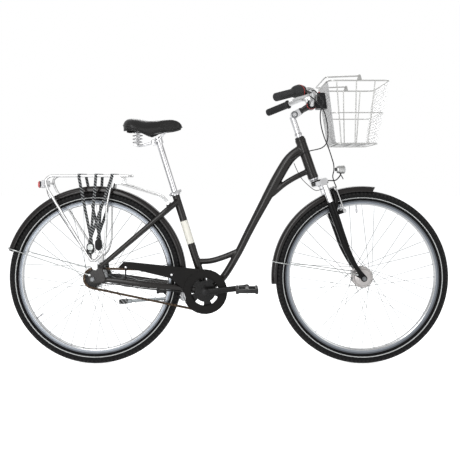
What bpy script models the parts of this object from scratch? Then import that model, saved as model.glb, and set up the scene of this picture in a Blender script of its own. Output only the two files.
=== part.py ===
"""Step-through city bicycle with a wire basket, a rear rack and an internally geared hub.

Metres, +Z up. +X is forward, +Y is the rider's left, so the chain side is at -Y.
The origin is on the ground, half way between the two axles, in the middle plane.
"""
import math

import bmesh
import bpy
import numpy as np
from mathutils import Matrix, Vector

# Clearance between neighbouring pieces
GAP = 0.0003

# Wheels
WHEELBASE = 1.098
BEAD_SEAT_RADIUS = 0.3125
TYRE_HEIGHT = 0.0435
TYRE_RADIUS = BEAD_SEAT_RADIUS + TYRE_HEIGHT
TYRE_WIDTH = 0.046
RIM_FLANGE_HEIGHT = 0.0045
RIM_WIDTH = 0.025
RIM_WALL = 0.0018
RIM_DEPTH = 0.0155
RIM_FLOOR_WIDTH = 0.018
WHEEL_STEPS = 36
SPOKES = 36
SPOKE_CROSSINGS = 3
SPOKE_RADIUS = 0.0009
SPOKE_LAP = 0.0010
VALVE_RADIUS = 0.0026
VALVE_LENGTH = 0.034

# Hubs
FRONT_HUB_RADIUS = 0.043
FRONT_HUB_WIDTH = 0.056
REAR_HUB_RADIUS = 0.033
REAR_FLANGE_RADIUS = 0.043
REAR_HUB_WIDTH = 0.062
FLANGE_THICKNESS = 0.0042
AXLE_RADIUS = 0.0048
FRONT_DROPOUT_SPACING = 0.100
REAR_DROPOUT_SPACING = 0.130
DROPOUT_THICKNESS = 0.006
AXLE_NUT_RADIUS = 0.0095
AXLE_NUT_LENGTH = 0.010
SHIFT_DRUM_RADIUS = 0.029
SHIFT_DRUM_THICKNESS = 0.007

# Drive
CHAIN_PITCH = 0.0127
CHAINRING_TEETH = 40
SPROCKET_TEETH = 20
CHAIN_STAY_REACH = TYRE_RADIUS + 0.0990
CHAINLINE = 0.043
CHAIN_PLATE_HEIGHT = 0.0084
CHAIN_PLATE_THICKNESS = 0.0011
CHAIN_INNER_WIDTH = 0.0034
CHAIN_ROLLER_HALF = 0.0030
TOOTH_THICKNESS = 0.0022
TOOTH_TIP_HEIGHT = 0.0040
BOTTOM_BRACKET_DROP = 0.053
BOTTOM_BRACKET_HEIGHT = TYRE_RADIUS - BOTTOM_BRACKET_DROP
BOTTOM_BRACKET_SHELL_RADIUS = 0.0205
BOTTOM_BRACKET_SHELL_WIDTH = 0.068
BOTTOM_BRACKET_CUP_RADIUS = 0.0172
SPINDLE_RADIUS = 0.0085
CRANK_LENGTH = 0.170
CRANK_ANGLE = math.radians(-7.0)
CRANK_INNER_Y = 0.0655
CRANK_THICKNESS = 0.013
CRANK_BOSS_RADIUS = 0.0165
CRANK_TIP_RADIUS = 0.0125
PEDAL_LENGTH = 0.088
PEDAL_WIDTH = 0.094
PEDAL_HEIGHT = 0.022
PEDAL_AXLE_RADIUS = 0.0045
PEDAL_FRAME_BAR = 0.012

# Chain guard
GUARD_Y = 0.0545
GUARD_THICKNESS = 0.0030
GUARD_RADIUS = 0.091
GUARD_WINDOW_RADIUS = 0.056

# Frame
HEAD_ANGLE = math.radians(19.0)
CROWN_CLEARANCE = 0.0943
FORK_REACH = TYRE_RADIUS + CROWN_CLEARANCE
FORK_OFFSET = 0.0562
HEAD_TUBE_LENGTH = 0.170
HEAD_TUBE_RADIUS = 0.0213
HEAD_TUBE_BORE = 0.0172
SEAT_ANGLE = math.radians(17.5)
SEAT_TUBE_LENGTH = 0.425
SEAT_TUBE_RADIUS = 0.0158
MAIN_TUBE_WIDTH_RATIO = 0.95
STRUT_RADIUS = 0.0118
CROSS_TUBE_RADIUS = 0.0122
CROSS_TUBE_SAG = 0.012
CROSS_TUBE_HEIGHT = 0.122
SEAT_STAY_DROP = 0.042
SEAT_STAY_HEIGHT = SEAT_TUBE_LENGTH - SEAT_STAY_DROP
SEAT_STAY_RADIUS = 0.0092
SEAT_STAY_TIP_RADIUS = 0.0066
CHAIN_STAY_HEIGHT = 0.0125
STAY_CLEARANCE_Y = 0.0325

# Steering
STEERER_RADIUS = 0.0143
STEERER_BORE = 0.0130
QUILL_RADIUS = 0.0124
HEADSET_CUP_RADIUS = 0.0205
HEADSET_CUP_HEIGHT = 0.010
STEM_PIVOT_RADIUS = 0.0165
STEM_PIVOT_WIDTH = 0.034
STEM_LENGTH = 0.081
STEM_RISE_ANGLE = math.radians(31.0)
STEM_PIVOT_ABOVE_HEAD = 0.1025
BAR_RADIUS = 0.0111
BAR_CENTRE_RADIUS = 0.0127
STEM_CLAMP_RADIUS = 0.021
STEM_CLAMP_WIDTH = 0.042
GRIP_RADIUS = 0.0162
GRIP_LENGTH = 0.118
SHORT_GRIP_LENGTH = 0.088
BAR_SPAN = 0.620
SHIFTER_RADIUS = 0.0215
SHIFTER_LENGTH = 0.040

# Fork
STANCHION_RADIUS = 0.0127
STANCHION_SPACING = 0.110
LEG_OFFSET = 0.028
LEG_RADIUS = 0.0150
FORK_TRAVEL = 0.022
CROWN_HEIGHT = 0.030

# Saddle
SEATPOST_RADIUS = 0.0127
SEATPOST_LENGTH = 0.390
SEATPOST_INSERTION = 0.155
SADDLE_LENGTH = 0.241
SADDLE_WIDTH = 0.190
SADDLE_ABOVE_CLAMP = 0.0906
SADDLE_BEHIND_CLAMP = 0.1247
RAIL_RADIUS = 0.0035
RAIL_SPACING = 0.044
SPRING_WIRE_RADIUS = 0.0019
SPRING_RADIUS = 0.0135
SPRING_TURNS = 4
SPRING_SPACING = 0.092
COLLAR_HEIGHT = 0.016
COLLAR_WALL = 0.0045

# Mudguards
MUDGUARD_WIDTH = 0.052
MUDGUARD_CLEARANCE = 0.0175
MUDGUARD_RADIUS = TYRE_RADIUS + MUDGUARD_CLEARANCE
MUDGUARD_THICKNESS = 0.0016
MUDGUARD_EDGE_DROP = 0.0200
STAY_WIRE_RADIUS = 0.0020

# Rack
RACK_CLEARANCE = 0.061
RACK_TOP = 2 * TYRE_RADIUS + RACK_CLEARANCE
RACK_HALF_WIDTH = 0.062
RACK_TUBE_RADIUS = 0.0052
RACK_AHEAD = 0.144
RACK_BEHIND = 0.196
STRAP_WIDTH = 0.010
STRAP_THICKNESS = 0.0028

# Basket
BASKET_ABOVE_BAR = 0.0782
BASKET_AHEAD = 0.0476
BASKET_HEIGHT = 0.245
BASKET_LENGTH = 0.243
BASKET_REAR_INSET = 0.033
BASKET_FRONT_INSET = 0.040
BASKET_TOP_HALF_WIDTH = 0.165
BASKET_FLOOR_HALF_WIDTH = 0.135
RIM_WIRE_RADIUS = 0.0030
NET_WIRE_RADIUS = 0.0013
HANDLE_WIRE_RADIUS = 0.0030
HANDLE_AHEAD = 0.123
HANDLE_RISE = 0.018

# Kickstand
KICKSTAND_LENGTH = 0.262
KICKSTAND_RADIUS = 0.0065
KICKSTAND_BEHIND = 0.0933
KICKSTAND_DROP = 0.041

# Finishes: base colour, roughness, metallic
FINISHES = {
    "frame_paint": ((0.022, 0.018, 0.016), 0.42, 0.35),
    "gloss_black": ((0.008, 0.008, 0.008), 0.20, 0.0),
    "matte_black": ((0.016, 0.016, 0.016), 0.60, 0.0),
    "rubber": ((0.022, 0.022, 0.022), 0.80, 0.0),
    "chrome": ((0.78, 0.78, 0.78), 0.12, 1.0),
    "alloy": ((0.62, 0.63, 0.64), 0.32, 1.0),
    "steel": ((0.45, 0.44, 0.42), 0.38, 1.0),
    "chain_steel": ((0.16, 0.11, 0.075), 0.42, 1.0),
    "plastic_black": ((0.018, 0.018, 0.019), 0.45, 0.0),
    "plastic_grey": ((0.16, 0.16, 0.17), 0.50, 0.0),
    "vinyl": ((0.012, 0.012, 0.012), 0.38, 0.0),
    "red_lens": ((0.55, 0.01, 0.01), 0.15, 0.0),
    "webbing": ((0.030, 0.030, 0.030), 0.75, 0.0),
}

ALONG_X = Vector((1, 0, 0))
ALONG_Y = Vector((0, 1, 0))
ALONG_Z = Vector((0, 0, 1))


def new_collection(name):
    collection = bpy.data.collections.new(name)
    bpy.context.scene.collection.children.link(collection)
    return collection


def clear_scene():
    for obj in list(bpy.data.objects):
        bpy.data.objects.remove(obj)
    for collection in list(bpy.data.collections):
        bpy.data.collections.remove(collection)


FLAT_ANGLE = math.radians(0.4)

clear_scene()
BICYCLE = new_collection("bicycle")
CUTTERS = new_collection("cutters")


def finish_material(name, finish):
    colour, roughness, metallic = FINISHES[finish]
    material = bpy.data.materials.new(name + "_finish")
    material.use_nodes = True
    shader = material.node_tree.nodes["Principled BSDF"]
    shader.inputs["Base Color"].default_value = (*colour, 1.0)
    shader.inputs["Roughness"].default_value = roughness
    shader.inputs["Metallic"].default_value = metallic
    material.diffuse_color = (*colour, 1.0)
    return material


def link(obj):
    BICYCLE.objects.link(obj)
    return obj


def object_from_bmesh(mesh_data, name="form"):
    mesh = bpy.data.meshes.new(name)
    mesh_data.to_mesh(mesh)
    mesh_data.free()
    return link(bpy.data.objects.new(name, mesh))


def realise(obj):
    """Turn a curve or an object with modifiers into a plain closed mesh in world space."""
    bpy.context.view_layer.update()
    graph = bpy.context.evaluated_depsgraph_get()
    mesh = bpy.data.meshes.new_from_object(obj.evaluated_get(graph))
    mesh.transform(obj.matrix_world)
    shape = bmesh.new()
    shape.from_mesh(mesh)
    bmesh.ops.remove_doubles(shape, verts=shape.verts, dist=1e-6)
    bmesh.ops.dissolve_degenerate(shape, dist=1e-6, edges=shape.edges)
    bmesh.ops.recalc_face_normals(shape, faces=shape.faces)
    shape.to_mesh(mesh)
    shape.free()
    result = link(bpy.data.objects.new(obj.name, mesh))
    bpy.data.objects.remove(obj)
    return result


def merge_flat_faces(obj):
    """Drop the edges and points that Booleans leave inside flat faces."""
    shape = bmesh.new()
    shape.from_mesh(obj.data)
    bmesh.ops.dissolve_limit(shape, angle_limit=FLAT_ANGLE, verts=shape.verts, edges=shape.edges)
    if all(edge.is_manifold for edge in shape.edges):
        shape.to_mesh(obj.data)
    shape.free()


def piece(name, finish, obj, sharp_angle=35.0):
    """Name a finished shape, give it its material and shade its round faces smooth."""
    merge_flat_faces(obj)
    obj.name = name
    obj.data.name = name
    obj.data.materials.clear()
    obj.data.materials.append(finish_material(name, finish))
    obj.data.shade_smooth()
    obj.data.set_sharp_from_angle(angle=math.radians(sharp_angle))
    return obj


def guide(name, centre, parent=None):
    """An empty on a joint's axis, which carries the pieces that move with it."""
    empty = link(bpy.data.objects.new(name, None))
    empty.empty_display_size = 0.03
    empty.location = centre
    bpy.context.view_layer.update()
    if parent:
        carry(empty, parent)
    return empty


def carry(child, parent):
    child.parent = parent
    child.matrix_parent_inverse = parent.matrix_world.inverted()
    bpy.context.view_layer.update()


def carry_all(parent, *children):
    for child in children:
        carry(child, parent)


def turn_to(axis):
    return ALONG_Z.rotation_difference(Vector(axis).normalized()).to_matrix().to_4x4()


def rod(points, radius, sides=8, radii=None, cyclic=False):
    """A round tube or wire along a list of points, with filled ends."""
    curve = bpy.data.curves.new("rod", "CURVE")
    curve.dimensions = "3D"
    curve.bevel_depth = radius
    curve.bevel_resolution = (sides - 4) // 2
    curve.use_fill_caps = True
    spline = curve.splines.new("POLY")
    spline.points.add(len(points) - 1)
    for index, point in enumerate(points):
        spline.points[index].co = (*point, 1.0)
        if radii:
            spline.points[index].radius = radii[index] / radius
    spline.use_cyclic_u = cyclic
    return realise(link(bpy.data.objects.new("rod", curve)))


def smooth_path(points, count):
    """Evenly spaced points on a smooth curve through a few hand-placed ones."""
    knots = [Vector(point) for point in points]
    knots = [knots[0] * 2 - knots[1], *knots, knots[-1] * 2 - knots[-2]]
    dense = []
    for index in range(1, len(knots) - 2):
        before, here, there, after = knots[index - 1:index + 3]
        for step in range(24):
            t = step / 24
            dense.append(0.5 * (2 * here + (there - before) * t
                                + (2 * before - 5 * here + 4 * there - after) * t ** 2
                                + (3 * here - before - 3 * there + after) * t ** 3))
    dense.append(knots[-2])
    lengths = np.concatenate([[0.0], np.cumsum([(b - a).length for a, b in zip(dense, dense[1:])])])
    stations = np.linspace(0.0, lengths[-1], count)
    columns = [np.interp(stations, lengths, [point[axis] for point in dense]) for axis in range(3)]
    return [Vector(values) for values in zip(*columns)]


def turned(profile, centre, axis=(0, 1, 0), steps=16, closed=False, phase=0.0):
    """Spin a profile of (radius, height) points, top first, round an axis through centre."""
    shape = bmesh.new()
    corners = [shape.verts.new((radius * math.cos(phase), radius * math.sin(phase), height))
               for radius, height in profile]
    for first, second in zip(corners, corners[1:]):
        shape.edges.new((first, second))
    if closed:
        shape.edges.new((corners[-1], corners[0]))
    obj = object_from_bmesh(shape, "turned")
    screw = obj.modifiers.new("spin", "SCREW")
    screw.axis = "Z"
    screw.steps = steps
    screw.render_steps = steps
    screw.use_merge_vertices = True
    screw.merge_threshold = 0.00001
    obj.matrix_world = Matrix.Translation(centre) @ turn_to(axis)
    return realise(obj)


def cylinder(centre, axis, radius, length, steps=16):
    half = length / 2
    return turned([(0, half), (radius, half), (radius, -half), (0, -half)], centre, axis, steps)


def ring(centre, axis, inner, outer, length, steps=16):
    half = length / 2
    corners = [(inner, half), (outer, half), (outer, -half), (inner, -half)]
    return turned(corners, centre, axis, steps, closed=True)


def bar_between(start, end, radius, steps=12):
    start = Vector(start)
    end = Vector(end)
    return cylinder((start + end) / 2, end - start, radius, (end - start).length, steps)


def plate(outlines, y, thickness):
    """A flat piece in the plane of the bicycle: its outlines are lists of (x, z) points."""
    curve = bpy.data.curves.new("plate", "CURVE")
    curve.dimensions = "2D"
    curve.fill_mode = "BOTH"
    curve.extrude = thickness / 2
    for outline in outlines:
        spline = curve.splines.new("POLY")
        spline.points.add(len(outline) - 1)
        for point, (x, z) in zip(spline.points, outline):
            point.co = (x, z, 0.0, 1.0)
        spline.use_cyclic_u = True
    obj = link(bpy.data.objects.new("plate", curve))
    obj.matrix_world = Matrix.Translation((0, y, 0)) @ Matrix.Rotation(math.pi / 2, 4, "X")
    return realise(obj)


def arc(centre, radius, start, end, steps):
    """Points (x, z) along an arc; the angles are in degrees from +X towards +Z."""
    angles = np.radians(np.linspace(start, end, steps + 1))
    return [(centre[0] + radius * math.cos(a), centre[1] + radius * math.sin(a)) for a in angles]


def block(centre, size, rotation=None, bevel=0.0):
    shape = bmesh.new()
    bmesh.ops.create_cube(shape, size=1.0)
    bmesh.ops.scale(shape, vec=size, verts=shape.verts)
    if bevel:
        bmesh.ops.bevel(shape, geom=shape.edges[:], offset=bevel, segments=1, profile=0.5,
                        affect="EDGES", clamp_overlap=True)
    obj = object_from_bmesh(shape, "block")
    obj.matrix_world = Matrix.Translation(centre) @ (rotation or Matrix.Identity(4))
    return realise(obj)


def loft(sections):
    """Skin a row of closed sections that have the same number of points, and cap its ends."""
    shape = bmesh.new()
    rows = [[shape.verts.new(point) for point in section] for section in sections]
    count = len(rows[0])
    for row, following in zip(rows, rows[1:]):
        for index in range(count):
            neighbour = (index + 1) % count
            shape.faces.new((row[index], row[neighbour], following[neighbour], following[index]))
    shape.faces.new(rows[0][::-1])
    shape.faces.new(rows[-1])
    bmesh.ops.recalc_face_normals(shape, faces=shape.faces)
    return object_from_bmesh(shape, "loft")


def oval_tube(points, side_radii, up_radii, sides=12, side=ALONG_Y):
    """A tube of oval section along a path; side radii lie across the bicycle."""
    points = [Vector(point) for point in points]
    sections = []
    for index, point in enumerate(points):
        before = points[max(index - 1, 0)]
        after = points[min(index + 1, len(points) - 1)]
        run = (after - before).normalized()
        across = (side - run * side.dot(run)).normalized()
        up = run.cross(across)
        section = []
        for step in range(sides):
            angle = 2 * math.pi * (step + 0.5) / sides
            section.append(point + across * (side_radii[index] * math.cos(angle))
                           + up * (up_radii[index] * math.sin(angle)))
        sections.append(section)
    return loft(sections)


def gather(shapes):
    """Put several loose shapes into one object, to be joined to another in one step."""
    shape = bmesh.new()
    for obj in shapes:
        shape.from_mesh(obj.data)
        bpy.data.objects.remove(obj)
    return object_from_bmesh(shape, "gathered")


def boolean(target, others, operation, self_crossing=False):
    for other in others:
        modifier = target.modifiers.new(operation.lower(), "BOOLEAN")
        modifier.operation = operation
        modifier.object = other
        modifier.use_self = self_crossing
        BICYCLE.objects.unlink(other)
        CUTTERS.objects.link(other)
        other.hide_render = True
        other.display_type = "WIRE"
        target = realise(target)
        bpy.data.objects.remove(other)
    return target


def union(target, *others):
    return boolean(target, others, "UNION")


def union_many(target, others):
    """Join many shapes that may cross one another."""
    return boolean(target, [gather(others)], "UNION", self_crossing=True)


def cut(target, *others):
    return boolean(target, others, "DIFFERENCE")


def mirrored(obj):
    """A copy of a shape on the other side of the bicycle's middle plane."""
    shape = bmesh.new()
    shape.from_mesh(obj.data)
    bmesh.ops.scale(shape, vec=(1, -1, 1), verts=shape.verts)
    bmesh.ops.reverse_faces(shape, faces=shape.faces)
    return object_from_bmesh(shape, obj.name)


# Places that the dimensions fix
REAR_AXLE = Vector((-WHEELBASE / 2, 0, TYRE_RADIUS))
FRONT_AXLE = Vector((WHEELBASE / 2, 0, TYRE_RADIUS))
HEAD_UP = Vector((-math.sin(HEAD_ANGLE), 0, math.cos(HEAD_ANGLE)))
HEAD_FORWARD = Vector((math.cos(HEAD_ANGLE), 0, math.sin(HEAD_ANGLE)))
HEAD_BASE = FRONT_AXLE + HEAD_UP * FORK_REACH - HEAD_FORWARD * FORK_OFFSET
CHAINRING_RADIUS = CHAIN_PITCH / (2 * math.sin(math.pi / CHAINRING_TEETH))
SPROCKET_RADIUS = CHAIN_PITCH / (2 * math.sin(math.pi / SPROCKET_TEETH))


def chain_links():
    """The whole, even number of links whose run suits the chain stay best."""
    lap = (CHAINRING_TEETH - SPROCKET_TEETH) / (2 * math.pi)
    links = (2 * CHAIN_STAY_REACH / CHAIN_PITCH + (CHAINRING_TEETH + SPROCKET_TEETH) / 2
             + lap ** 2 * CHAIN_PITCH / CHAIN_STAY_REACH)
    return 2 * round(links / 2)


CHAIN_LINKS = chain_links()


def chain_centre_distance():
    """Axle distance at which the whole number of links just closes round both wheels."""
    distance = CHAIN_LINKS * CHAIN_PITCH / 3
    for _ in range(60):
        lean = math.asin((CHAINRING_RADIUS - SPROCKET_RADIUS) / distance)
        wrapped = (CHAINRING_TEETH * (0.5 + lean / math.pi)
                   + SPROCKET_TEETH * (0.5 - lean / math.pi))
        run = (CHAIN_LINKS - wrapped) * CHAIN_PITCH / 2
        distance = math.hypot(run, CHAINRING_RADIUS - SPROCKET_RADIUS)
    return distance


CHAIN_STAY_LENGTH = chain_centre_distance()
BOTTOM_BRACKET = Vector((REAR_AXLE.x + math.sqrt(CHAIN_STAY_LENGTH ** 2 - BOTTOM_BRACKET_DROP ** 2),
                         0, BOTTOM_BRACKET_HEIGHT))
SEAT_UP = Vector((-math.sin(SEAT_ANGLE), 0, math.cos(SEAT_ANGLE)))
SEAT_FORWARD = Vector((math.cos(SEAT_ANGLE), 0, math.sin(SEAT_ANGLE)))


def head(along, forward=0.0, y=0.0):
    """A point beside the steering axis, measured from the foot of the head tube."""
    return HEAD_BASE + HEAD_UP * along + HEAD_FORWARD * forward + ALONG_Y * y


def seat(along, forward=0.0, y=0.0):
    """A point beside the seat tube's axis, measured from the bottom bracket."""
    return BOTTOM_BRACKET + SEAT_UP * along + SEAT_FORWARD * forward + ALONG_Y * y


def at(x, z, y=0.0):
    return Vector((x, y, z))


# Frame

# Stations of the curved main tube: share of the way from the bottom bracket to its
# joint with the head tube, bulge off that straight line, and half its depth there
MAIN_TUBE_ROUTE = [
    (0.00, 0.0000, 0.0150),
    (0.06, -0.0200, 0.0152),
    (0.13, -0.0315, 0.0155),
    (0.28, -0.0250, 0.0162),
    (0.44, -0.0147, 0.0170),
    (0.66, 0.0025, 0.0190),
    (0.853, 0.0137, 0.0172),
    (0.933, 0.0126, 0.0166),
    (1.000, 0.0000, 0.0165),
]
MAIN_TUBE_JOINT_HEIGHT = 0.128
STRUT_JOINT_HEIGHT = 0.036
# The strut's points: height and distance behind the steering axis
STRUT_ROUTE = [(0.0279, 0.0702), (0.0162, 0.1222), (-0.0044, 0.1762)]


def main_tube_point(station, bulge=0.0):
    joint = head(MAIN_TUBE_JOINT_HEIGHT, -0.004)
    run = joint - BOTTOM_BRACKET
    across = Vector((-run.z, 0, run.x)).normalized()
    return BOTTOM_BRACKET + run * station + across * bulge


def main_tube_axis(station):
    stations = [row[0] for row in MAIN_TUBE_ROUTE]
    bulges = [row[1] for row in MAIN_TUBE_ROUTE]
    return main_tube_point(station, float(np.interp(station, stations, bulges)))


def under_chain_stay(station, radius, across):
    """A cable's place against the underside of the chain stay."""
    point, half_width, height = chain_stay_route()[station]
    drop = height * math.sqrt(1 - (across / half_width) ** 2) + radius + 3 * GAP
    return point + at(0, -drop, across)


def seat_stay_point(share):
    """A point on the right seat stay, which bows out to pass the mudguard."""
    top = seat(SEAT_STAY_HEIGHT)
    end = REAR_AXLE + at(0.029, 0.050)
    clear = MUDGUARD_WIDTH / 2 + SEAT_STAY_RADIUS + 0.004
    outer = REAR_DROPOUT_SPACING / 2 + 0.001
    half_width = float(np.interp(share, [0.0, 0.06, 0.15, 0.5, 1.0],
                                 [0.010, 0.024, clear, (clear + outer) / 2 + 0.003, outer]))
    point = top.lerp(end, share)
    point.y = -half_width
    return point


def chain_stay_route():
    """Right chain stay: it squeezes between the tyre and the chainring, then spreads."""
    outer = REAR_DROPOUT_SPACING / 2 - 0.006
    return [
        (BOTTOM_BRACKET + at(-0.002, 0.001, -0.026), 0.0070, CHAIN_STAY_HEIGHT),
        (BOTTOM_BRACKET + at(-0.040, 0.006, -STAY_CLEARANCE_Y + 0.002), 0.0055, CHAIN_STAY_HEIGHT),
        (BOTTOM_BRACKET + at(-0.085, 0.011, -STAY_CLEARANCE_Y), 0.0053, CHAIN_STAY_HEIGHT),
        (BOTTOM_BRACKET + at(-0.140, 0.018, -0.0425), 0.0075, CHAIN_STAY_HEIGHT + 0.001),
        (REAR_AXLE + at(0.210, -0.024, -0.0540), 0.0090, CHAIN_STAY_HEIGHT + 0.001),
        (REAR_AXLE + at(0.100, -0.008, -outer), 0.0085, CHAIN_STAY_HEIGHT - 0.0005),
        (REAR_AXLE + at(0.046, -0.003, -outer - 0.002), 0.0070, CHAIN_STAY_HEIGHT - 0.003),
    ]


def rear_dropout(y):
    outline = [(0.050, -0.014), (0.052, 0.010), (0.043, 0.030), (0.040, 0.055), (0.020, 0.058),
               (0.004, 0.050), (-0.008, 0.034), (-0.020, 0.017), (-0.020, -0.010),
               (-0.010, -0.018), (0.015, -0.019)]
    points = [(REAR_AXLE.x + x, REAR_AXLE.z + z) for x, z in outline]
    hole = arc((REAR_AXLE.x, REAR_AXLE.z), bore(AXLE_RADIUS, 12), 0, 330, 11)
    return plate([points, hole], y, DROPOUT_THICKNESS)


def build_frame():
    route = MAIN_TUBE_ROUTE
    main_tube = oval_tube([main_tube_point(station, bulge) for station, bulge, _ in route],
                          [depth * MAIN_TUBE_WIDTH_RATIO for _, _, depth in route],
                          [depth for _, _, depth in route], sides=12)
    head_tube = cylinder(head(HEAD_TUBE_LENGTH / 2), HEAD_UP, HEAD_TUBE_RADIUS,
                         HEAD_TUBE_LENGTH, 16)
    seat_tube = cylinder(seat(SEAT_TUBE_LENGTH / 2), SEAT_UP, SEAT_TUBE_RADIUS,
                         SEAT_TUBE_LENGTH, 14)
    shell = cylinder(BOTTOM_BRACKET, ALONG_Y, BOTTOM_BRACKET_SHELL_RADIUS,
                     BOTTOM_BRACKET_SHELL_WIDTH, 16)
    strut_points = [head(STRUT_JOINT_HEIGHT, -0.004)]
    strut_points += [head(along, -behind) for along, behind in STRUT_ROUTE]
    strut_points.append(main_tube_axis(0.64))
    strut = rod(smooth_path(strut_points, 6), STRUT_RADIUS, 8)
    start = seat(CROSS_TUBE_HEIGHT)
    end = main_tube_axis(0.30)
    sag = ALONG_Z * CROSS_TUBE_SAG
    cross_tube = rod([start, start.lerp(end, 0.33) - sag, start.lerp(end, 0.66) - sag * 0.8, end],
                     CROSS_TUBE_RADIUS, 8)
    stays = []
    shares = [0.0, 0.06, 0.15, 0.55, 1.0]
    radii = np.interp(shares, [0.0, 1.0], [SEAT_STAY_RADIUS, SEAT_STAY_TIP_RADIUS]).tolist()
    seat_stay = rod([seat_stay_point(share) for share in shares], SEAT_STAY_RADIUS, 8, radii)
    chain_stay = oval_tube(*zip(*chain_stay_route()), sides=8)
    stays += [seat_stay, mirrored(seat_stay), chain_stay, mirrored(chain_stay)]
    for side in (-1, 1):
        stays.append(rear_dropout(side * (REAR_DROPOUT_SPACING + DROPOUT_THICKNESS) / 2))
    for bridge, half_length in mudguard_bridges():
        stays.append(cylinder(bridge, ALONG_Y, BRIDGE_RADIUS, 2 * half_length, 8))
    frame = union_many(head_tube, [main_tube, seat_tube, shell, strut, cross_tube, *stays])
    head_bore = cylinder(head(HEAD_TUBE_LENGTH / 2), HEAD_UP, HEAD_TUBE_BORE,
                         HEAD_TUBE_LENGTH + 0.02, 16)
    post_bore_depth = SEATPOST_INSERTION + SADDLE_DROP + 0.010
    post_bore = cylinder(seat(SEAT_TUBE_LENGTH - post_bore_depth / 2 + 0.005), SEAT_UP,
                         bore(SEATPOST_RADIUS, 14), post_bore_depth + 0.01, 14)
    bracket_bore = cylinder(BOTTOM_BRACKET, ALONG_Y, bore(BOTTOM_BRACKET_CUP_RADIUS, 16),
                            BOTTOM_BRACKET_SHELL_WIDTH + 0.02, 16)
    frame = cut(frame, head_bore, post_bore, bracket_bore)
    return piece("frame", "frame_paint", frame)


BRIDGE_RADIUS = 0.0050
SADDLE_DROP = 0.075
MUDGUARD_CROWN = MUDGUARD_RADIUS + MUDGUARD_THICKNESS


def mudguard_bridges():
    """Short bars between the stays, just clear of the rear mudguard's crown."""
    reach = MUDGUARD_CROWN + BRIDGE_RADIUS + GAP
    share = 0.0
    while (seat_stay_point(share) * Vector((1, 0, 1)) - REAR_AXLE).length > reach:
        share += 0.0005
    upper = seat_stay_point(share)
    lower_angle = math.radians(LOWER_BRIDGE_ANGLE)
    lower = REAR_AXLE + at(reach * math.cos(lower_angle), reach * math.sin(lower_angle))
    upper_run = Vector((upper.x, 0, upper.z)) - REAR_AXLE
    upper_axis = REAR_AXLE + upper_run.normalized() * reach
    return [(upper_axis, abs(upper.y)), (lower, STAY_CLEARANCE_Y)]


REAR_MUDGUARD_FRONT_ANGLE = -8.0
LOWER_BRIDGE_ANGLE = -5.5
REAR_MUDGUARD_REAR_ANGLE = 162.7
FRONT_MUDGUARD_FRONT_ANGLE = 81.8
FRONT_MUDGUARD_REAR_ANGLE = 184.3


# Wheels

# A wheel stands on the middle of one of its flats
HALF_STEP = math.pi / WHEEL_STEPS


def build_rim(name, axle, valve_angle):
    """Rim with braking flanks, a sloped well for the bead, and the valve on its inside."""
    half = RIM_WIDTH / 2
    flange = BEAD_SEAT_RADIUS + RIM_FLANGE_HEIGHT
    floor = BEAD_SEAT_RADIUS - RIM_DEPTH
    well = half - 2 * RIM_WALL
    profile = [(BEAD_SEAT_RADIUS, well), (flange, half), (floor, RIM_FLOOR_WIDTH / 2),
               (floor, -RIM_FLOOR_WIDTH / 2), (flange, -half), (BEAD_SEAT_RADIUS, -well)]
    rim = turned(profile, axle, ALONG_Y, WHEEL_STEPS, closed=True, phase=HALF_STEP)
    return piece(name, "alloy", union(rim, valve(axle, math.radians(valve_angle))))


def build_tyre(name, axle):
    half = TYRE_WIDTH / 2
    flange = BEAD_SEAT_RADIUS + RIM_FLANGE_HEIGHT
    well = RIM_WIDTH / 2 - 2 * RIM_WALL
    tread = TYRE_RADIUS / math.cos(HALF_STEP)
    side = [(tread, half * 0.42), (TYRE_RADIUS - 0.016, half),
            (flange + 2 * GAP, RIM_WIDTH / 2 - RIM_WALL - 3 * GAP),
            (BEAD_SEAT_RADIUS + GAP, well - 2 * GAP)]
    profile = side + [(radius, -y) for radius, y in reversed(side)]
    tyre = turned(profile, axle, ALONG_Y, WHEEL_STEPS, closed=True, phase=HALF_STEP)
    return piece(name, "rubber", tyre)


def spoke_set(axle, flange_radius, flange_y):
    """Crossed spokes from the two flanges, ending just inside the rim."""
    end_radius = (BEAD_SEAT_RADIUS - RIM_DEPTH) * math.cos(HALF_STEP) - 2 * GAP
    holes = SPOKES // 2
    lead = 2 * math.pi * SPOKE_CROSSINGS / holes
    spokes = []
    for index in range(SPOKES):
        side = 1 if index % 2 else -1
        hole = index // 2
        outward = 1 if hole % 2 else -1
        start_angle = 2 * math.pi * (hole + 0.25 * (side + 1)) / holes
        end_angle = start_angle + outward * lead
        start = Vector((math.cos(start_angle), 0, math.sin(start_angle))) * flange_radius
        start.y = side * flange_y + outward * SPOKE_LAP
        end = Vector((math.cos(end_angle), 0, math.sin(end_angle))) * end_radius
        end.y = side * SPOKE_LAP + outward * SPOKE_LAP
        spokes.append(bar_between(axle + start, axle + end, SPOKE_RADIUS, 3))
    return spokes


def build_front_hub():
    half = FRONT_HUB_WIDTH / 2
    hole = bore(AXLE_RADIUS)
    end = FRONT_DROPOUT_SPACING / 2 - 0.0006
    profile = [(hole, end), (0.012, end), (0.012, half + 0.002), (FRONT_HUB_RADIUS - 0.006, half),
               (FRONT_HUB_RADIUS, half - 0.006), (FRONT_HUB_RADIUS, -half + 0.006),
               (FRONT_HUB_RADIUS - 0.006, -half), (0.012, -half - 0.002), (0.012, -end),
               (hole, -end)]
    hub = turned(profile, FRONT_AXLE, ALONG_Y, 16, closed=True)
    spokes = spoke_set(FRONT_AXLE, FRONT_HUB_RADIUS - 0.002, half - 0.0085)
    hub = union_many(hub, spokes)
    return piece("front_hub", "alloy", hub)


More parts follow.
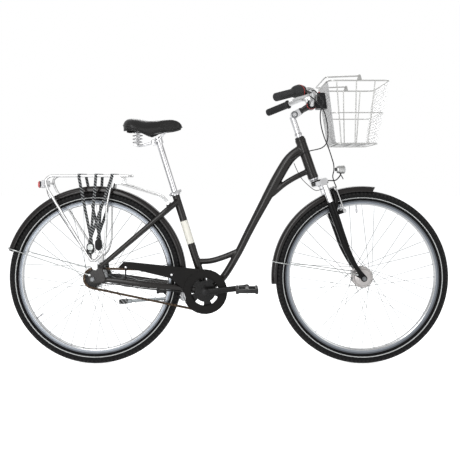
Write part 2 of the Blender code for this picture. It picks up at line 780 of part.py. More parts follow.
def build_rear_hub():
    half = REAR_HUB_WIDTH / 2
    hole = bore(AXLE_RADIUS)
    shell = REAR_HUB_RADIUS
    flange = REAR_FLANGE_RADIUS
    inset = FLANGE_THICKNESS
    left_end = REAR_DROPOUT_SPACING / 2 - 0.010
    right_end = -SPROCKET_INNER_Y
    profile = [(hole, left_end), (0.022, left_end), (0.026, half), (flange, half),
               (flange, half - inset), (shell, half - inset - 0.003),
               (shell, -half + inset + 0.003), (flange, -half + inset), (flange, -half),
               (0.026, -half), (0.026, right_end), (hole, right_end)]
    hub = turned(profile, REAR_AXLE, ALONG_Y, 16, closed=True)
    spokes = spoke_set(REAR_AXLE, flange - 0.002, half - inset / 2)
    hub = union_many(hub, spokes)
    return piece("rear_hub", "alloy", hub)


SPROCKET_INNER_Y = CHAINLINE - 0.004


def build_axle(name, centre, spacing):
    """An axle with a nut outside each dropout."""
    outer = spacing / 2 + DROPOUT_THICKNESS + GAP
    end = outer + AXLE_NUT_LENGTH + 0.004
    profile = [(0, end), (AXLE_RADIUS, end), (AXLE_RADIUS, end - 0.004),
               (AXLE_NUT_RADIUS, end - 0.004), (AXLE_NUT_RADIUS, outer), (AXLE_RADIUS, outer)]
    mirror = [(radius, -height) for radius, height in reversed(profile)]
    axle = turned(profile + mirror, centre, ALONG_Y, 8)
    return piece(name, "steel", axle)


def valve(axle, angle):
    """The tube's valve, standing out of the rim's inner face and pointing at the axle."""
    outer = BEAD_SEAT_RADIUS - RIM_DEPTH + 0.002
    direction = Vector((math.cos(angle), 0, math.sin(angle)))
    profile = [(0, 0), (VALVE_RADIUS, 0), (VALVE_RADIUS, -0.018), (VALVE_RADIUS + 0.0014, -0.020),
               (0, -VALVE_LENGTH)]
    return turned(profile, axle + direction * outer, direction, 6)


def build_wheels():
    front = guide("front_wheel_axis", FRONT_AXLE)
    rear = guide("rear_wheel_axis", REAR_AXLE)
    carry_all(front, build_front_hub(), build_rim("front_rim", FRONT_AXLE, FRONT_VALVE_ANGLE),
              build_tyre("front_tyre", FRONT_AXLE))
    carry_all(rear, build_rear_hub(), build_rim("rear_rim", REAR_AXLE, REAR_VALVE_ANGLE),
              build_tyre("rear_tyre", REAR_AXLE))
    return front, rear


FRONT_VALVE_ANGLE = 94.5
REAR_VALVE_ANGLE = 215.0


# Drive

def bore(radius, steps=16):
    """Radius of a faceted hole in which a shaft of this radius can turn."""
    return (radius + GAP) / math.cos(math.pi / steps)


def chain_point(place):
    """Place on the chain's pitch line, counted in links from the chainring's top."""
    run = BOTTOM_BRACKET - REAR_AXLE
    slope = math.atan2(run.z, run.x)
    lean = math.asin((CHAINRING_RADIUS - SPROCKET_RADIUS) / CHAIN_STAY_LENGTH)
    front_links = CHAINRING_TEETH * (0.5 + lean / math.pi)
    rear_links = SPROCKET_TEETH * (0.5 - lean / math.pi)
    run_links = (CHAIN_LINKS - front_links - rear_links) / 2
    top = slope + math.pi / 2 + lean
    place = place % CHAIN_LINKS
    if place < run_links:
        start = radial(BOTTOM_BRACKET, CHAINRING_RADIUS, top)
        end = radial(REAR_AXLE, SPROCKET_RADIUS, top)
        normal = radial(Vector(), 1.0, top)
        return start.lerp(end, place / run_links), normal
    place -= run_links
    if place < rear_links:
        angle = top + 2 * math.pi * place / SPROCKET_TEETH
        return radial(REAR_AXLE, SPROCKET_RADIUS, angle), radial(Vector(), 1.0, angle)
    place -= rear_links
    bottom = top + 2 * math.pi * rear_links / SPROCKET_TEETH
    if place < run_links:
        start = radial(REAR_AXLE, SPROCKET_RADIUS, bottom)
        end = radial(BOTTOM_BRACKET, CHAINRING_RADIUS, bottom)
        normal = radial(Vector(), 1.0, bottom)
        return start.lerp(end, place / run_links), normal
    place -= run_links
    angle = bottom + 2 * math.pi * place / CHAINRING_TEETH
    return radial(BOTTOM_BRACKET, CHAINRING_RADIUS, angle), radial(Vector(), 1.0, angle)


def radial(centre, radius, angle):
    return centre + Vector((radius * math.cos(angle), 0, radius * math.sin(angle)))


def chain_section(place, inner, outer):
    """Corners of both side plates across the chain at one place on its pitch line."""
    point, normal = chain_point(place)
    half = CHAIN_PLATE_HEIGHT / 2
    plates = []
    for side in (-1, 1):
        near = Vector((0, -CHAINLINE + side * inner, 0))
        far = Vector((0, -CHAINLINE + side * outer, 0))
        plates.append([point + near + normal * half, point + far + normal * half,
                       point + far - normal * half, point + near - normal * half])
    return plates


def build_chain():
    """Side plates that step in and out link by link, with a roller at each pin."""
    shape = bmesh.new()
    roller = CHAIN_ROLLER_HALF / CHAIN_PITCH
    sections = []
    for link_index in range(CHAIN_LINKS):
        step = link_index % 2
        inner = CHAIN_INNER_WIDTH / 2 + step * CHAIN_PLATE_THICKNESS
        outer = inner + CHAIN_PLATE_THICKNESS
        for place in (link_index + roller, link_index + 1 - roller):
            plates = chain_section(place, inner, outer)
            sections.append([[shape.verts.new(corner) for corner in corners] for corners in plates])
    count = len(sections)
    for index, section in enumerate(sections):
        following = sections[(index + 1) % count]
        at_pin = index % 2 == 1
        for plate_index in (0, 1):
            here = section[plate_index]
            there = following[plate_index]
            for corner in range(4):
                beside = (corner + 1) % 4
                inner_face = corner == 3
                if at_pin and inner_face:
                    continue
                shape.faces.new((here[corner], here[beside], there[beside], there[corner]))
        if at_pin:
            near = [section[0][3], section[0][0], following[0][0], following[0][3]]
            far = [section[1][3], section[1][0], following[1][0], following[1][3]]
            for corner in range(4):
                beside = (corner + 1) % 4
                shape.faces.new((near[corner], near[beside], far[beside], far[corner]))
    bmesh.ops.recalc_face_normals(shape, faces=shape.faces)
    return piece("chain", "chain_steel", object_from_bmesh(shape), 20.0)


def toothed_outline(centre, teeth, pitch_radius, phase):
    """Outline of a chain wheel whose teeth stand between the chain's rollers."""
    root = pitch_radius - CHAIN_PLATE_HEIGHT / 2 - 0.0006
    tip = pitch_radius + TOOTH_TIP_HEIGHT
    root_half = (CHAIN_PITCH / 2 - CHAIN_ROLLER_HALF - 0.0011) / pitch_radius
    outline = []
    for tooth in range(teeth):
        middle = phase + 2 * math.pi * (tooth + 0.5) / teeth
        for radius, offset in ((root, -root_half), (tip, 0.0), (root, root_half)):
            point = radial(centre, radius, middle + offset)
            outline.append((point.x, point.z))
    return outline


def wheel_phase(centre, first_place):
    point, _ = chain_point(first_place)
    run = point - centre
    return math.atan2(run.z, run.x)


SPIDER_ARMS = 5
SPIDER_HUB_RADIUS = 0.026
CHAINRING_INNER_RADIUS = 0.062
SPIDER_ARM_HALF_ANGLE = 17.0


def build_chainring():
    """Toothed ring, five-armed spider and hub in one plate."""
    phase = wheel_phase(BOTTOM_BRACKET, 0)
    centre = (BOTTOM_BRACKET.x, BOTTOM_BRACKET.z)
    outlines = [toothed_outline(BOTTOM_BRACKET, CHAINRING_TEETH, CHAINRING_RADIUS, phase)]
    outlines.append(arc(centre, SPIDER_HUB_RADIUS - 0.008, 0, 330, 11))
    for arm in range(SPIDER_ARMS):
        start = math.degrees(CRANK_ANGLE) + 360 * arm / SPIDER_ARMS + SPIDER_ARM_HALF_ANGLE
        end = start + 360 / SPIDER_ARMS - 2 * SPIDER_ARM_HALF_ANGLE
        window = arc(centre, CHAINRING_INNER_RADIUS, start, end, 4)
        window += arc(centre, SPIDER_HUB_RADIUS, end, start, 2)
        outlines.append(window)
    ring_plate = plate(outlines, -CHAINLINE, TOOTH_THICKNESS)
    boss = ring(BOTTOM_BRACKET - ALONG_Y * (CHAINLINE + 0.003), ALONG_Y,
                bore(SPINDLE_RADIUS, 14), SPIDER_HUB_RADIUS - 0.004, 0.011, 14)
    return piece("chainring", "gloss_black", union(ring_plate, boss))


SPROCKET_BODY_RADIUS = 0.017


def build_sprocket():
    """Rear sprocket on its driver, which turns on the axle beside the hub shell."""
    run_links = (CHAIN_LINKS - CHAINRING_TEETH * (0.5 + chain_lean() / math.pi)
                 - SPROCKET_TEETH * (0.5 - chain_lean() / math.pi)) / 2
    phase = wheel_phase(REAR_AXLE, math.ceil(run_links + 1))
    centre = (REAR_AXLE.x, REAR_AXLE.z)
    outlines = [toothed_outline(REAR_AXLE, SPROCKET_TEETH, SPROCKET_RADIUS, phase),
                arc(centre, SPROCKET_BODY_RADIUS - 0.004, 0, 324, 9)]
    disc = plate(outlines, -CHAINLINE, TOOTH_THICKNESS)
    driver_inner = SPROCKET_INNER_Y + GAP
    driver_outer = SHIFT_DRUM_INNER_Y - GAP
    middle = -(driver_inner + driver_outer) / 2
    driver = ring(REAR_AXLE + ALONG_Y * middle, ALONG_Y, bore(AXLE_RADIUS, 12),
                  SPROCKET_BODY_RADIUS, driver_outer - driver_inner, 12)
    return piece("sprocket", "steel", union(disc, driver))


def chain_lean():
    return math.asin((CHAINRING_RADIUS - SPROCKET_RADIUS) / CHAIN_STAY_LENGTH)


SHIFT_DRUM_INNER_Y = REAR_DROPOUT_SPACING / 2 - GAP - SHIFT_DRUM_THICKNESS - 0.0035


def build_shift_drum():
    """The gear hub's cable drum, fixed on the axle beside the right dropout."""
    outer = REAR_DROPOUT_SPACING / 2 - GAP
    inner = SHIFT_DRUM_INNER_Y
    groove = inner + SHIFT_DRUM_THICKNESS
    hole = bore(AXLE_RADIUS, 14)
    profile = [(hole, -inner), (SHIFT_DRUM_RADIUS, -inner), (SHIFT_DRUM_RADIUS, -groove + 0.002),
               (SHIFT_DRUM_RADIUS - 0.003, -groove), (0.014, -groove), (0.014, -outer),
               (hole, -outer)]
    drum = turned(profile, REAR_AXLE, ALONG_Y, 14, closed=True)
    lug_start = REAR_AXLE + at(0.020, -0.010, -(inner + groove) / 2)
    lug = bar_between(lug_start, lug_start + at(0.012, -0.007), 0.0030, 6)
    return piece("shift_drum", "plastic_black", union(drum, lug))


def build_coaster_arm():
    """Brake reaction arm from the hub's left side to a clip under the left chain stay."""
    inner = REAR_DROPOUT_SPACING / 2 - 0.010 + GAP
    y = (inner + REAR_DROPOUT_SPACING / 2 - GAP) / 2
    thickness = REAR_DROPOUT_SPACING / 2 - GAP - inner
    disc = ring(REAR_AXLE + ALONG_Y * y, ALONG_Y, bore(AXLE_RADIUS, 12), 0.024, thickness, 12)
    tip_y = y - 0.0005
    arm = oval_tube([REAR_AXLE + at(0.015, -0.012, tip_y), REAR_AXLE + at(0.080, -0.0360, tip_y),
                     REAR_AXLE + at(0.150, -0.0405, tip_y)], [0.0025] * 3,
                    [0.0095, 0.0080, 0.0065], sides=6)
    return piece("coaster_arm", "steel", union(disc, arm))


# Cranks and pedals

CRANK_DIRECTION = Vector((math.cos(CRANK_ANGLE), 0, -math.sin(CRANK_ANGLE)))


def pedal_centre(side):
    """Pedal axle at mid pedal: side is -1 on the right and 1 on the left."""
    reach = CRANK_DIRECTION * CRANK_LENGTH * (1 if side < 0 else -1)
    return BOTTOM_BRACKET + reach + ALONG_Y * side * PEDAL_MIDDLE_Y


PEDAL_INNER_Y = CRANK_INNER_Y + CRANK_THICKNESS + 0.008
PEDAL_MIDDLE_Y = PEDAL_INNER_Y + PEDAL_WIDTH / 2


def build_spindle():
    """The crank axle: it runs through its bearing cups into both crank bosses."""
    end = CRANK_INNER_Y + CRANK_THICKNESS - 0.002
    spindle = cylinder(BOTTOM_BRACKET, ALONG_Y, SPINDLE_RADIUS, 2 * end, 12)
    return piece("crank_spindle", "steel", spindle)


def build_bottom_bracket():
    half = BOTTOM_BRACKET_SHELL_WIDTH / 2
    hole = bore(SPINDLE_RADIUS, 14)
    cup = BOTTOM_BRACKET_CUP_RADIUS
    lip = half + GAP
    profile = [(hole, lip + 0.002), (cup + 0.001, lip + 0.002), (cup + 0.001, lip), (cup, lip),
               (cup, -half), (hole, -half)]
    cups = turned(profile, BOTTOM_BRACKET, ALONG_Y, 14, closed=True)
    return piece("bottom_bracket", "steel", cups)


def build_crank(name, side):
    direction = CRANK_DIRECTION * (1 if side < 0 else -1)
    middle_y = side * (CRANK_INNER_Y + CRANK_THICKNESS / 2)
    base = BOTTOM_BRACKET + ALONG_Y * middle_y
    tip = base + direction * CRANK_LENGTH
    boss_inner = BOSS_INNER_Y if side < 0 else BOTTOM_BRACKET_SHELL_WIDTH / 2 + 0.006
    boss_outer = CRANK_INNER_Y + CRANK_THICKNESS
    boss_middle = BOTTOM_BRACKET + ALONG_Y * side * (boss_inner + boss_outer) / 2
    boss = cylinder(boss_middle, ALONG_Y, CRANK_BOSS_RADIUS, boss_outer - boss_inner, 14)
    stations = [0.0, 1.0]
    heights = [0.0148, 0.0120]
    widths = [CRANK_THICKNESS / 2, 0.0060]
    arm = oval_tube([base.lerp(tip, share) for share in stations], widths, heights, sides=8)
    eye = cylinder(tip, ALONG_Y, CRANK_TIP_RADIUS, CRANK_THICKNESS, 12)
    crank = union(boss, arm, eye, pedal_axle(side))
    spindle_hole = cylinder(boss_middle, ALONG_Y, bore(SPINDLE_RADIUS, 12), 0.10, 12)
    return piece(name, "gloss_black", cut(crank, spindle_hole))


BOSS_INNER_Y = CHAINLINE + 0.0088


def build_pedal(name, side):
    """Pedal body: two side plates and two treads round the axle's sleeve."""
    centre = pedal_centre(side)
    sleeve = cylinder(centre, ALONG_Y, 0.0085, PEDAL_WIDTH - 0.004, 10)
    bars = []
    for end in (-1, 1):
        tread_x = end * (PEDAL_LENGTH - PEDAL_FRAME_BAR) / 2
        bars.append(block(centre + at(tread_x, 0), (PEDAL_FRAME_BAR, PEDAL_WIDTH, PEDAL_HEIGHT),
                          bevel=0.003))
        plate_y = end * (PEDAL_WIDTH - PEDAL_FRAME_BAR) / 2
        bars.append(block(centre + at(0, 0, plate_y),
                          (PEDAL_LENGTH - 0.004, PEDAL_FRAME_BAR, PEDAL_HEIGHT * 0.72)))
    body = union(sleeve, *bars)
    hole = cylinder(centre - ALONG_Y * side * 0.012, ALONG_Y, bore(PEDAL_AXLE_RADIUS, 8),
                    PEDAL_WIDTH, 8)
    return piece(name, "plastic_black", cut(body, hole))


def pedal_axle(side):
    """Axle screwed into the crank's eye, with its collar against the pedal's sleeve."""
    start = CRANK_INNER_Y + 0.004
    collar = CRANK_INNER_Y + CRANK_THICKNESS - 0.001
    collar_end = PEDAL_INNER_Y - GAP
    end = PEDAL_INNER_Y + PEDAL_WIDTH - 0.016
    middle = pedal_centre(side) - ALONG_Y * side * PEDAL_MIDDLE_Y
    profile = [(0, end), (PEDAL_AXLE_RADIUS, end), (PEDAL_AXLE_RADIUS, collar_end),
               (0.0085, collar_end), (0.0085, collar), (PEDAL_AXLE_RADIUS, collar),
               (PEDAL_AXLE_RADIUS, start), (0, start)]
    return turned(profile, middle, ALONG_Y * side, 8)


def build_drive():
    crank_axis = guide("crank_axis", BOTTOM_BRACKET)
    carry_all(crank_axis, build_spindle(), build_chainring(), build_crank("crank_right", -1),
              build_crank("crank_left", 1))
    for name, side in (("right", -1), ("left", 1)):
        pedal_axis = guide("pedal_axis_" + name, pedal_centre(side), crank_axis)
        carry(build_pedal("pedal_" + name, side), pedal_axis)
    sprocket_axis = guide("sprocket_axis", REAR_AXLE)
    carry(build_sprocket(), sprocket_axis)
    build_bottom_bracket()
    build_chain()
    build_shift_drum()
    build_coaster_arm()
    build_axle("rear_axle", REAR_AXLE, REAR_DROPOUT_SPACING)


# Chain guard

# The guard's tail from the rear tip over the top and back below, as (x, z) from the rear
# axle behind the break and from the bottom bracket ahead of it
GUARD_TAIL = [(0.1003, 0.0452), (0.122, 0.068), (0.1477, 0.068)]
GUARD_TOP = [(-0.027, 0.0923)]
GUARD_LOWER_FRONT = [(-0.0781, -0.0217), (-0.0952, 0.0183)]
GUARD_LOWER = [(0.3106, 0.0023), (0.179, 0.0335)]


def build_chain_guard():
    centre = (BOTTOM_BRACKET.x, BOTTOM_BRACKET.z)
    outline = [(REAR_AXLE.x + x, REAR_AXLE.z + z) for x, z in GUARD_TAIL]
    outline += [(BOTTOM_BRACKET.x + x, BOTTOM_BRACKET.z + z) for x, z in GUARD_TOP]
    outline += arc(centre, GUARD_RADIUS, 88, -152, 18)
    outline += [(BOTTOM_BRACKET.x + x, BOTTOM_BRACKET.z + z) for x, z in GUARD_LOWER_FRONT]
    outline += [(REAR_AXLE.x + x, REAR_AXLE.z + z) for x, z in GUARD_LOWER]
    window = arc(centre, GUARD_WINDOW_RADIUS, 0, 342, 19)
    y = -(GUARD_Y + GUARD_THICKNESS / 2)
    guard = plate([outline, window], y, GUARD_THICKNESS)
    brackets = []
    for place in (REAR_AXLE + at(0.131, 0.046), BOTTOM_BRACKET + at(-0.1353, 0.069)):
        foot = chain_stay_top(place.x)
        inner_y = -GUARD_Y + 0.001
        start = place + ALONG_Y * inner_y
        elbow = place + at(0, -0.004, min(foot.y, inner_y))
        brackets.append(rod([start, elbow, foot], 0.0030, 6))
    return piece("chain_guard", "matte_black", union(guard, *brackets))


def chain_stay_top(x):
    """The seat of a bracket on top of the right chain stay."""
    route = sorted(chain_stay_route(), key=lambda row: row[0].x)
    places = [row[0].x for row in route]
    y = float(np.interp(x, places, [row[0].y for row in route]))
    z = float(np.interp(x, places, [row[0].z + row[2] for row in route]))
    return Vector((x, y, z + 0.0006))


# Mudguards

def swept_shell(axle, section, start, end, steps, thickness):
    """Sweep an open section of (radius, y) points round an axle and give it a thickness."""
    shape = bmesh.new()
    angle = math.radians(start)
    corners = []
    for radius, y in section:
        corners.append(shape.verts.new(radial(axle, radius, angle) + ALONG_Y * y))
    edges = [shape.edges.new(pair) for pair in zip(corners, corners[1:])]
    bmesh.ops.spin(shape, geom=corners + edges, cent=axle, axis=(0, -1, 0), dvec=(0, 0, 0),
                   angle=math.radians(end - start), steps=steps, use_duplicate=False)
    bmesh.ops.recalc_face_normals(shape, faces=shape.faces)
    face = next(face for face in shape.faces if abs(face.normal.y) < 0.5)
    if face.normal.dot(face.calc_center_median() - axle) < 0:
        bmesh.ops.reverse_faces(shape, faces=shape.faces)
    obj = object_from_bmesh(shape, "shell")
    wall = obj.modifiers.new("wall", "SOLIDIFY")
    wall.thickness = thickness
    wall.offset = -1
    wall.use_even_offset = True
    return realise(obj)


MUDGUARD_STEP = 10.0


def mudguard_section():
    half = MUDGUARD_WIDTH / 2
    crown = MUDGUARD_CROWN
    return [(crown - MUDGUARD_EDGE_DROP, -half), (crown - 0.0035, -half * 0.80),
            (crown, -half * 0.30), (crown, half * 0.30), (crown - 0.0035, half * 0.80),
            (crown - MUDGUARD_EDGE_DROP, half)]


def build_mudguard(name, axle, start, end, stay_angle, eyelet, dropout_spacing):
    """Curved guard with the wire stay that is bolted to it and to both dropouts."""
    steps = round((end - start) / MUDGUARD_STEP)
    guard = swept_shell(axle, mudguard_section(), start, end, steps, MUDGUARD_THICKNESS)
    stay = mudguard_stay(axle, stay_angle, eyelet, dropout_spacing)
    return piece(name, "gloss_black", union(guard, stay), 50.0)


def stay_loop(axle, angle, eyelet, eyelet_y):
    """A wire from one dropout round the outside of the mudguard to the other dropout."""
    half = MUDGUARD_WIDTH / 2 + STAY_WIRE_RADIUS + 0.0008
    outside = MUDGUARD_CROWN - GAP
    turn = math.radians(angle)
    shoulder = radial(axle, outside - 0.010, turn)
    crown = radial(axle, outside, turn)
    foot = axle + eyelet
    right = [foot - ALONG_Y * eyelet_y, foot.lerp(shoulder, 0.06) - ALONG_Y * eyelet_y,
             foot.lerp(shoulder, 0.90) - ALONG_Y * (half + 0.006), shoulder - ALONG_Y * half,
             crown - ALONG_Y * (half - 0.004)]
    left = [point * Vector((1, -1, 1)) for point in reversed(right)]
    return rod(right + left, STAY_WIRE_RADIUS, 5)


def mudguard_stay(axle, angle, eyelet, dropout_spacing):
    eyelet_y = dropout_spacing / 2 + DROPOUT_THICKNESS + GAP + STAY_WIRE_RADIUS
    wire = stay_loop(axle, angle, eyelet, eyelet_y)
    bolts = []
    for side in (-1, 1):
        bolts.append(cylinder(axle + eyelet + ALONG_Y * side * eyelet_y, ALONG_Y, 0.0045,
                              2 * STAY_WIRE_RADIUS, 8))
    return union(wire, *bolts)


FRONT_STAY_ANGLE = 169.9
REAR_STAY_ANGLE = 161.2
FRONT_STAY_EYELET = at(-0.029, 0.016)
REAR_STAY_EYELET = at(-0.013, 0.017)


# Rack

RACK_FRONT_X = REAR_AXLE.x + RACK_AHEAD
RACK_REAR_X = REAR_AXLE.x - RACK_BEHIND
RACK_FOOT_Y = 0.0765
RACK_TUBE_SIDES = 6


def rack_side(side):
    """Top rail, rounded rear corner and rear leg in one tube, with the bolted foot."""
    foot_y = side * (REAR_DROPOUT_SPACING / 2 + DROPOUT_THICKNESS + GAP + 0.0016)
    top_y = side * RACK_HALF_WIDTH
    low_y = side * RACK_FOOT_Y
    points = [at(RACK_FRONT_X, RACK_TOP, top_y), at(RACK_REAR_X + 0.020, RACK_TOP, top_y),
              at(RACK_REAR_X + 0.004, RACK_TOP - 0.006, top_y),
              at(RACK_REAR_X, RACK_TOP - 0.022, top_y),
              at(RACK_REAR_X + 0.006, RACK_TOP - 0.040, top_y),
              REAR_AXLE + at(-0.017, 0.094, low_y), REAR_AXLE + at(-0.002, 0.074, low_y)]
    rail = rod(points, RACK_TUBE_RADIUS, RACK_TUBE_SIDES)
    top_x = REAR_AXLE.x + RACK_LEG_AHEAD
    front_leg = rod([at(top_x, RACK_TOP, top_y), at(top_x - 0.004, RACK_TOP - 0.033, top_y * 1.01),
                     REAR_AXLE + at(0.055, 0.293, side * 0.0675),
                     REAR_AXLE + at(0.052, 0.145, side * 0.0745),
                     REAR_AXLE + at(0.037, 0.096, low_y), REAR_AXLE + at(0.006, 0.072, low_y)],
                    RACK_TUBE_RADIUS * 0.85, RACK_TUBE_SIDES)
    tab_outline = [(-0.011, 0.084), (0.013, 0.084), (0.021, 0.043), (0.015, 0.036), (0.005, 0.036),
                   (-0.001, 0.043)]
    tab = plate([[(REAR_AXLE.x + x, REAR_AXLE.z + z) for x, z in tab_outline]], foot_y, 0.0032)
    web = block(REAR_AXLE + at(0.001, 0.0765, side * (RACK_FOOT_Y + abs(foot_y)) / 2),
                (0.020, 0.0075, 0.013))
    return [rail, front_leg, tab, web]


def build_rack():
    right = rack_side(-1)
    shapes = right[1:] + rack_side(1)
    for ahead in (RACK_AHEAD - 0.012, 0.044, -0.091):
        shapes.append(cylinder(at(REAR_AXLE.x + ahead, RACK_TOP), ALONG_Y, 0.0040, 2 * RACK_HALF_WIDTH, 6))
    shapes.append(cylinder(at(RACK_REAR_X + 0.001, RACK_TOP - 0.032), ALONG_Y, 0.0045,
                           2 * RACK_HALF_WIDTH, 6))
    shapes += rack_struts()
    return piece("rack", "alloy", union_many(right[0], shapes))


def rack_struts():
    """One bent rod: under both rack rails and forward to the seat stays."""
    seat_share = 0.130
    stay = seat_stay_point(seat_share)
    radius = 0.0036
    y = abs(stay.y) + SEAT_STAY_RADIUS + radius + 9 * GAP
    under = RACK_TOP - RACK_TUBE_RADIUS - radius * 0.4
    start = stay * Vector((1, 0, 1)) - ALONG_Y * y
    hold = at(REAR_AXLE.x + 0.109, under - 0.010, -RACK_HALF_WIDTH)
    middle = start.lerp(hold, 0.575)
    right = [start, start + at(-0.0268, 0.0558), at(middle.x, middle.z + 0.0155, -y), hold,
             hold + at(-0.007, 0.010, 0.002)]
    left = [point * Vector((1, -1, 1)) for point in reversed(right)]
    strut = rod(right + left, radius, 6)
    bolts = [cylinder(stay * Vector((1, 0, 1)) + ALONG_Y * side * y, ALONG_Y, 0.0065,
                      2 * radius, 8) for side in (-1, 1)]
    return [strut, *bolts]


RACK_LEG_AHEAD = 0.077
# How far each strap lies ahead of the rear axle
STRAP_PLACES = [-0.056, 0.0125, 0.077]
STRAP_BLOCK = (REAR_AXLE.x - 0.006, REAR_AXLE.z + 0.125)
STRAP_BLOCK_Y = 0.0858


def build_straps():
    """Three flat elastic straps over the rack that meet at a block on each side."""
    top = RACK_TOP + RACK_TUBE_RADIUS + GAP + STRAP_THICKNESS / 2
    rail_y = RACK_HALF_WIDTH + RACK_TUBE_RADIUS + GAP + STRAP_THICKNESS / 2
    straps = []
    middle_z = STRAP_BLOCK[1] + 0.613 * (RACK_TOP - STRAP_BLOCK[1])
    for index, ahead in enumerate(STRAP_PLACES):
        x = REAR_AXLE.x + ahead
        gather_x = STRAP_BLOCK[0] + (index - 1) * -0.006
        side = [at(gather_x, STRAP_BLOCK[1] + 0.0225, -STRAP_BLOCK_Y + 0.0008 * index),
                at(gather_x + (x - gather_x) * 0.60, middle_z, -rail_y - 0.0075),
                at(x, RACK_TOP - 0.004, -rail_y - 0.0012), at(x, RACK_TOP + 0.003, -rail_y - 0.0008),
                at(x, top + 0.0004, -rail_y + 0.0035)]
        path = side + [point * Vector((1, -1, 1)) for point in reversed(side)]
        straps.append(flat_band(path, STRAP_WIDTH, STRAP_THICKNESS))
    for side in (-1, 1):
        straps += strap_block(side)
    return piece("rack_straps", "webbing", union_many(straps[0], straps[1:]))


def flat_band(path, width, thickness):
    """A flat strap whose width lies along the bicycle."""
    sections = []
    for index, point in enumerate(path):
        run = (path[min(index + 1, len(path) - 1)] - path[max(index - 1, 0)]).normalized()
        across = (ALONG_X - run * run.x).normalized() * width / 2
        up = run.cross(across).normalized() * thickness / 2
        sections.append([point + across + up, point - across + up,
                         point - across - up, point + across - up])
    return loft(sections)


def strap_block(side):
    """Moulded block that holds the strap ends, with its hook round the rack leg's foot."""
    x, z = STRAP_BLOCK
    body = block(at(x, z, side * STRAP_BLOCK_Y), (0.028, 0.009, 0.048))
    hook = rod([at(x, z - 0.020, side * STRAP_BLOCK_Y), at(x, z - 0.034, side * STRAP_BLOCK_Y),
                at(x + 0.004, z - 0.043, side * (STRAP_BLOCK_Y - 0.0004))], 0.0020, 5)
    return [body, hook]


def build_tail_light():
    face = RACK_REAR_X + 0.001 - 0.0045 - GAP
    housing = block(at(face - 0.009, RACK_TOP - 0.034), (0.018, 0.084, 0.032), bevel=0.004)
    lens = block(at(face - 0.024, RACK_TOP - 0.035), (0.014, 0.078, 0.028), bevel=0.005)
    return piece("tail_light", "red_lens", union(housing, lens))


LIGHT_WIRE_RADIUS = 0.0014


def build_light_wire():
    """Wire from the tail light down the rear leg and along the chain stay to the shell."""
    leg_top = at(RACK_REAR_X + 0.006, RACK_TOP - 0.040)
    leg_foot = REAR_AXLE + at(-0.017, 0.094)
    route = [at(RACK_REAR_X - 0.003, RACK_TOP - 0.0472, -0.030),
             at(RACK_REAR_X + 0.007, RACK_TOP - 0.073, -0.045)]
    for share, behind, y in ((0.3286, 0.0178, 0.0590), (0.6466, 0.0129, 0.0625),
                             (0.9293, 0.0067, 0.0640)):
        route.append(leg_top.lerp(leg_foot, share) + at(-behind, 0, -y))
    route.append(REAR_AXLE + at(0.004, 0.069, -0.0600))
    for station in (4, 3, 2, 1):
        route.append(under_chain_stay(station, LIGHT_WIRE_RADIUS + 5 * GAP, 0.004))
    route.insert(6, REAR_AXLE + at(0.066, 0.026, -0.050))
    route.insert(7, REAR_AXLE + at(0.100, -0.024, -0.0475))
    wire = rod(smooth_path(route, 20), LIGHT_WIRE_RADIUS, 4)
    return piece("light_wire", "plastic_black", wire)


# Kickstand

KICKSTAND_PIVOT = BOTTOM_BRACKET + at(-KICKSTAND_BEHIND, -KICKSTAND_DROP, 0.0530)
KICKSTAND_DIRECTION = Vector((-1.0, 0.050, -0.075)).normalized()


def build_kickstand():
    """Mount under the left chain stay, the leg that folds back, and its rubber foot."""
    stay_bottom = BOTTOM_BRACKET.z + 0.0103 - CHAIN_STAY_HEIGHT
    mount_x = KICKSTAND_PIVOT.x
    plate_top = stay_bottom - GAP
    clamp = block(at(mount_x + 0.004, plate_top - 0.005, 0.040), (0.040, 0.030, 0.010), bevel=0.002)
    ear = plate([arc((mount_x, KICKSTAND_PIVOT.z), 0.014, 200, 340, 6)
                 + [(mount_x + 0.014, plate_top - 0.006), (mount_x - 0.014, plate_top - 0.006)],
                 arc((mount_x, KICKSTAND_PIVOT.z), bore(0.0045, 12), 0, 330, 11)], 0.0440, 0.006)
    mount = union(clamp, ear)
    piece("kickstand_mount", "alloy", mount)
    leg_inner = 0.0470 + GAP
    eye_middle = KICKSTAND_PIVOT + ALONG_Y * (leg_inner + 0.006 - KICKSTAND_PIVOT.y)
    eye = cylinder(eye_middle, ALONG_Y, 0.012, 0.012, 12)
    pin = cylinder(eye_middle - ALONG_Y * 0.008, ALONG_Y, 0.0045, 0.016, 10)
    tip = KICKSTAND_PIVOT + KICKSTAND_DIRECTION * KICKSTAND_LENGTH
    leg = rod([eye_middle, eye_middle.lerp(tip, 0.12), tip], KICKSTAND_RADIUS, 8)
    foot_run = (tip - eye_middle).normalized()
    foot = turned([(0, 0.0345), (0.0095, 0.0345), (0.0110, 0.020), (0.0095, -0.018), (0, -0.018)],
                  tip - foot_run * 0.022, foot_run, 8)
    node = piece("kickstand_leg", "chrome", union(eye, pin, leg, foot))
    carry(node, guide("kickstand_axis", KICKSTAND_PIVOT))


# Seat

POST_TOP = SEAT_TUBE_LENGTH - SEATPOST_INSERTION + SEATPOST_LENGTH


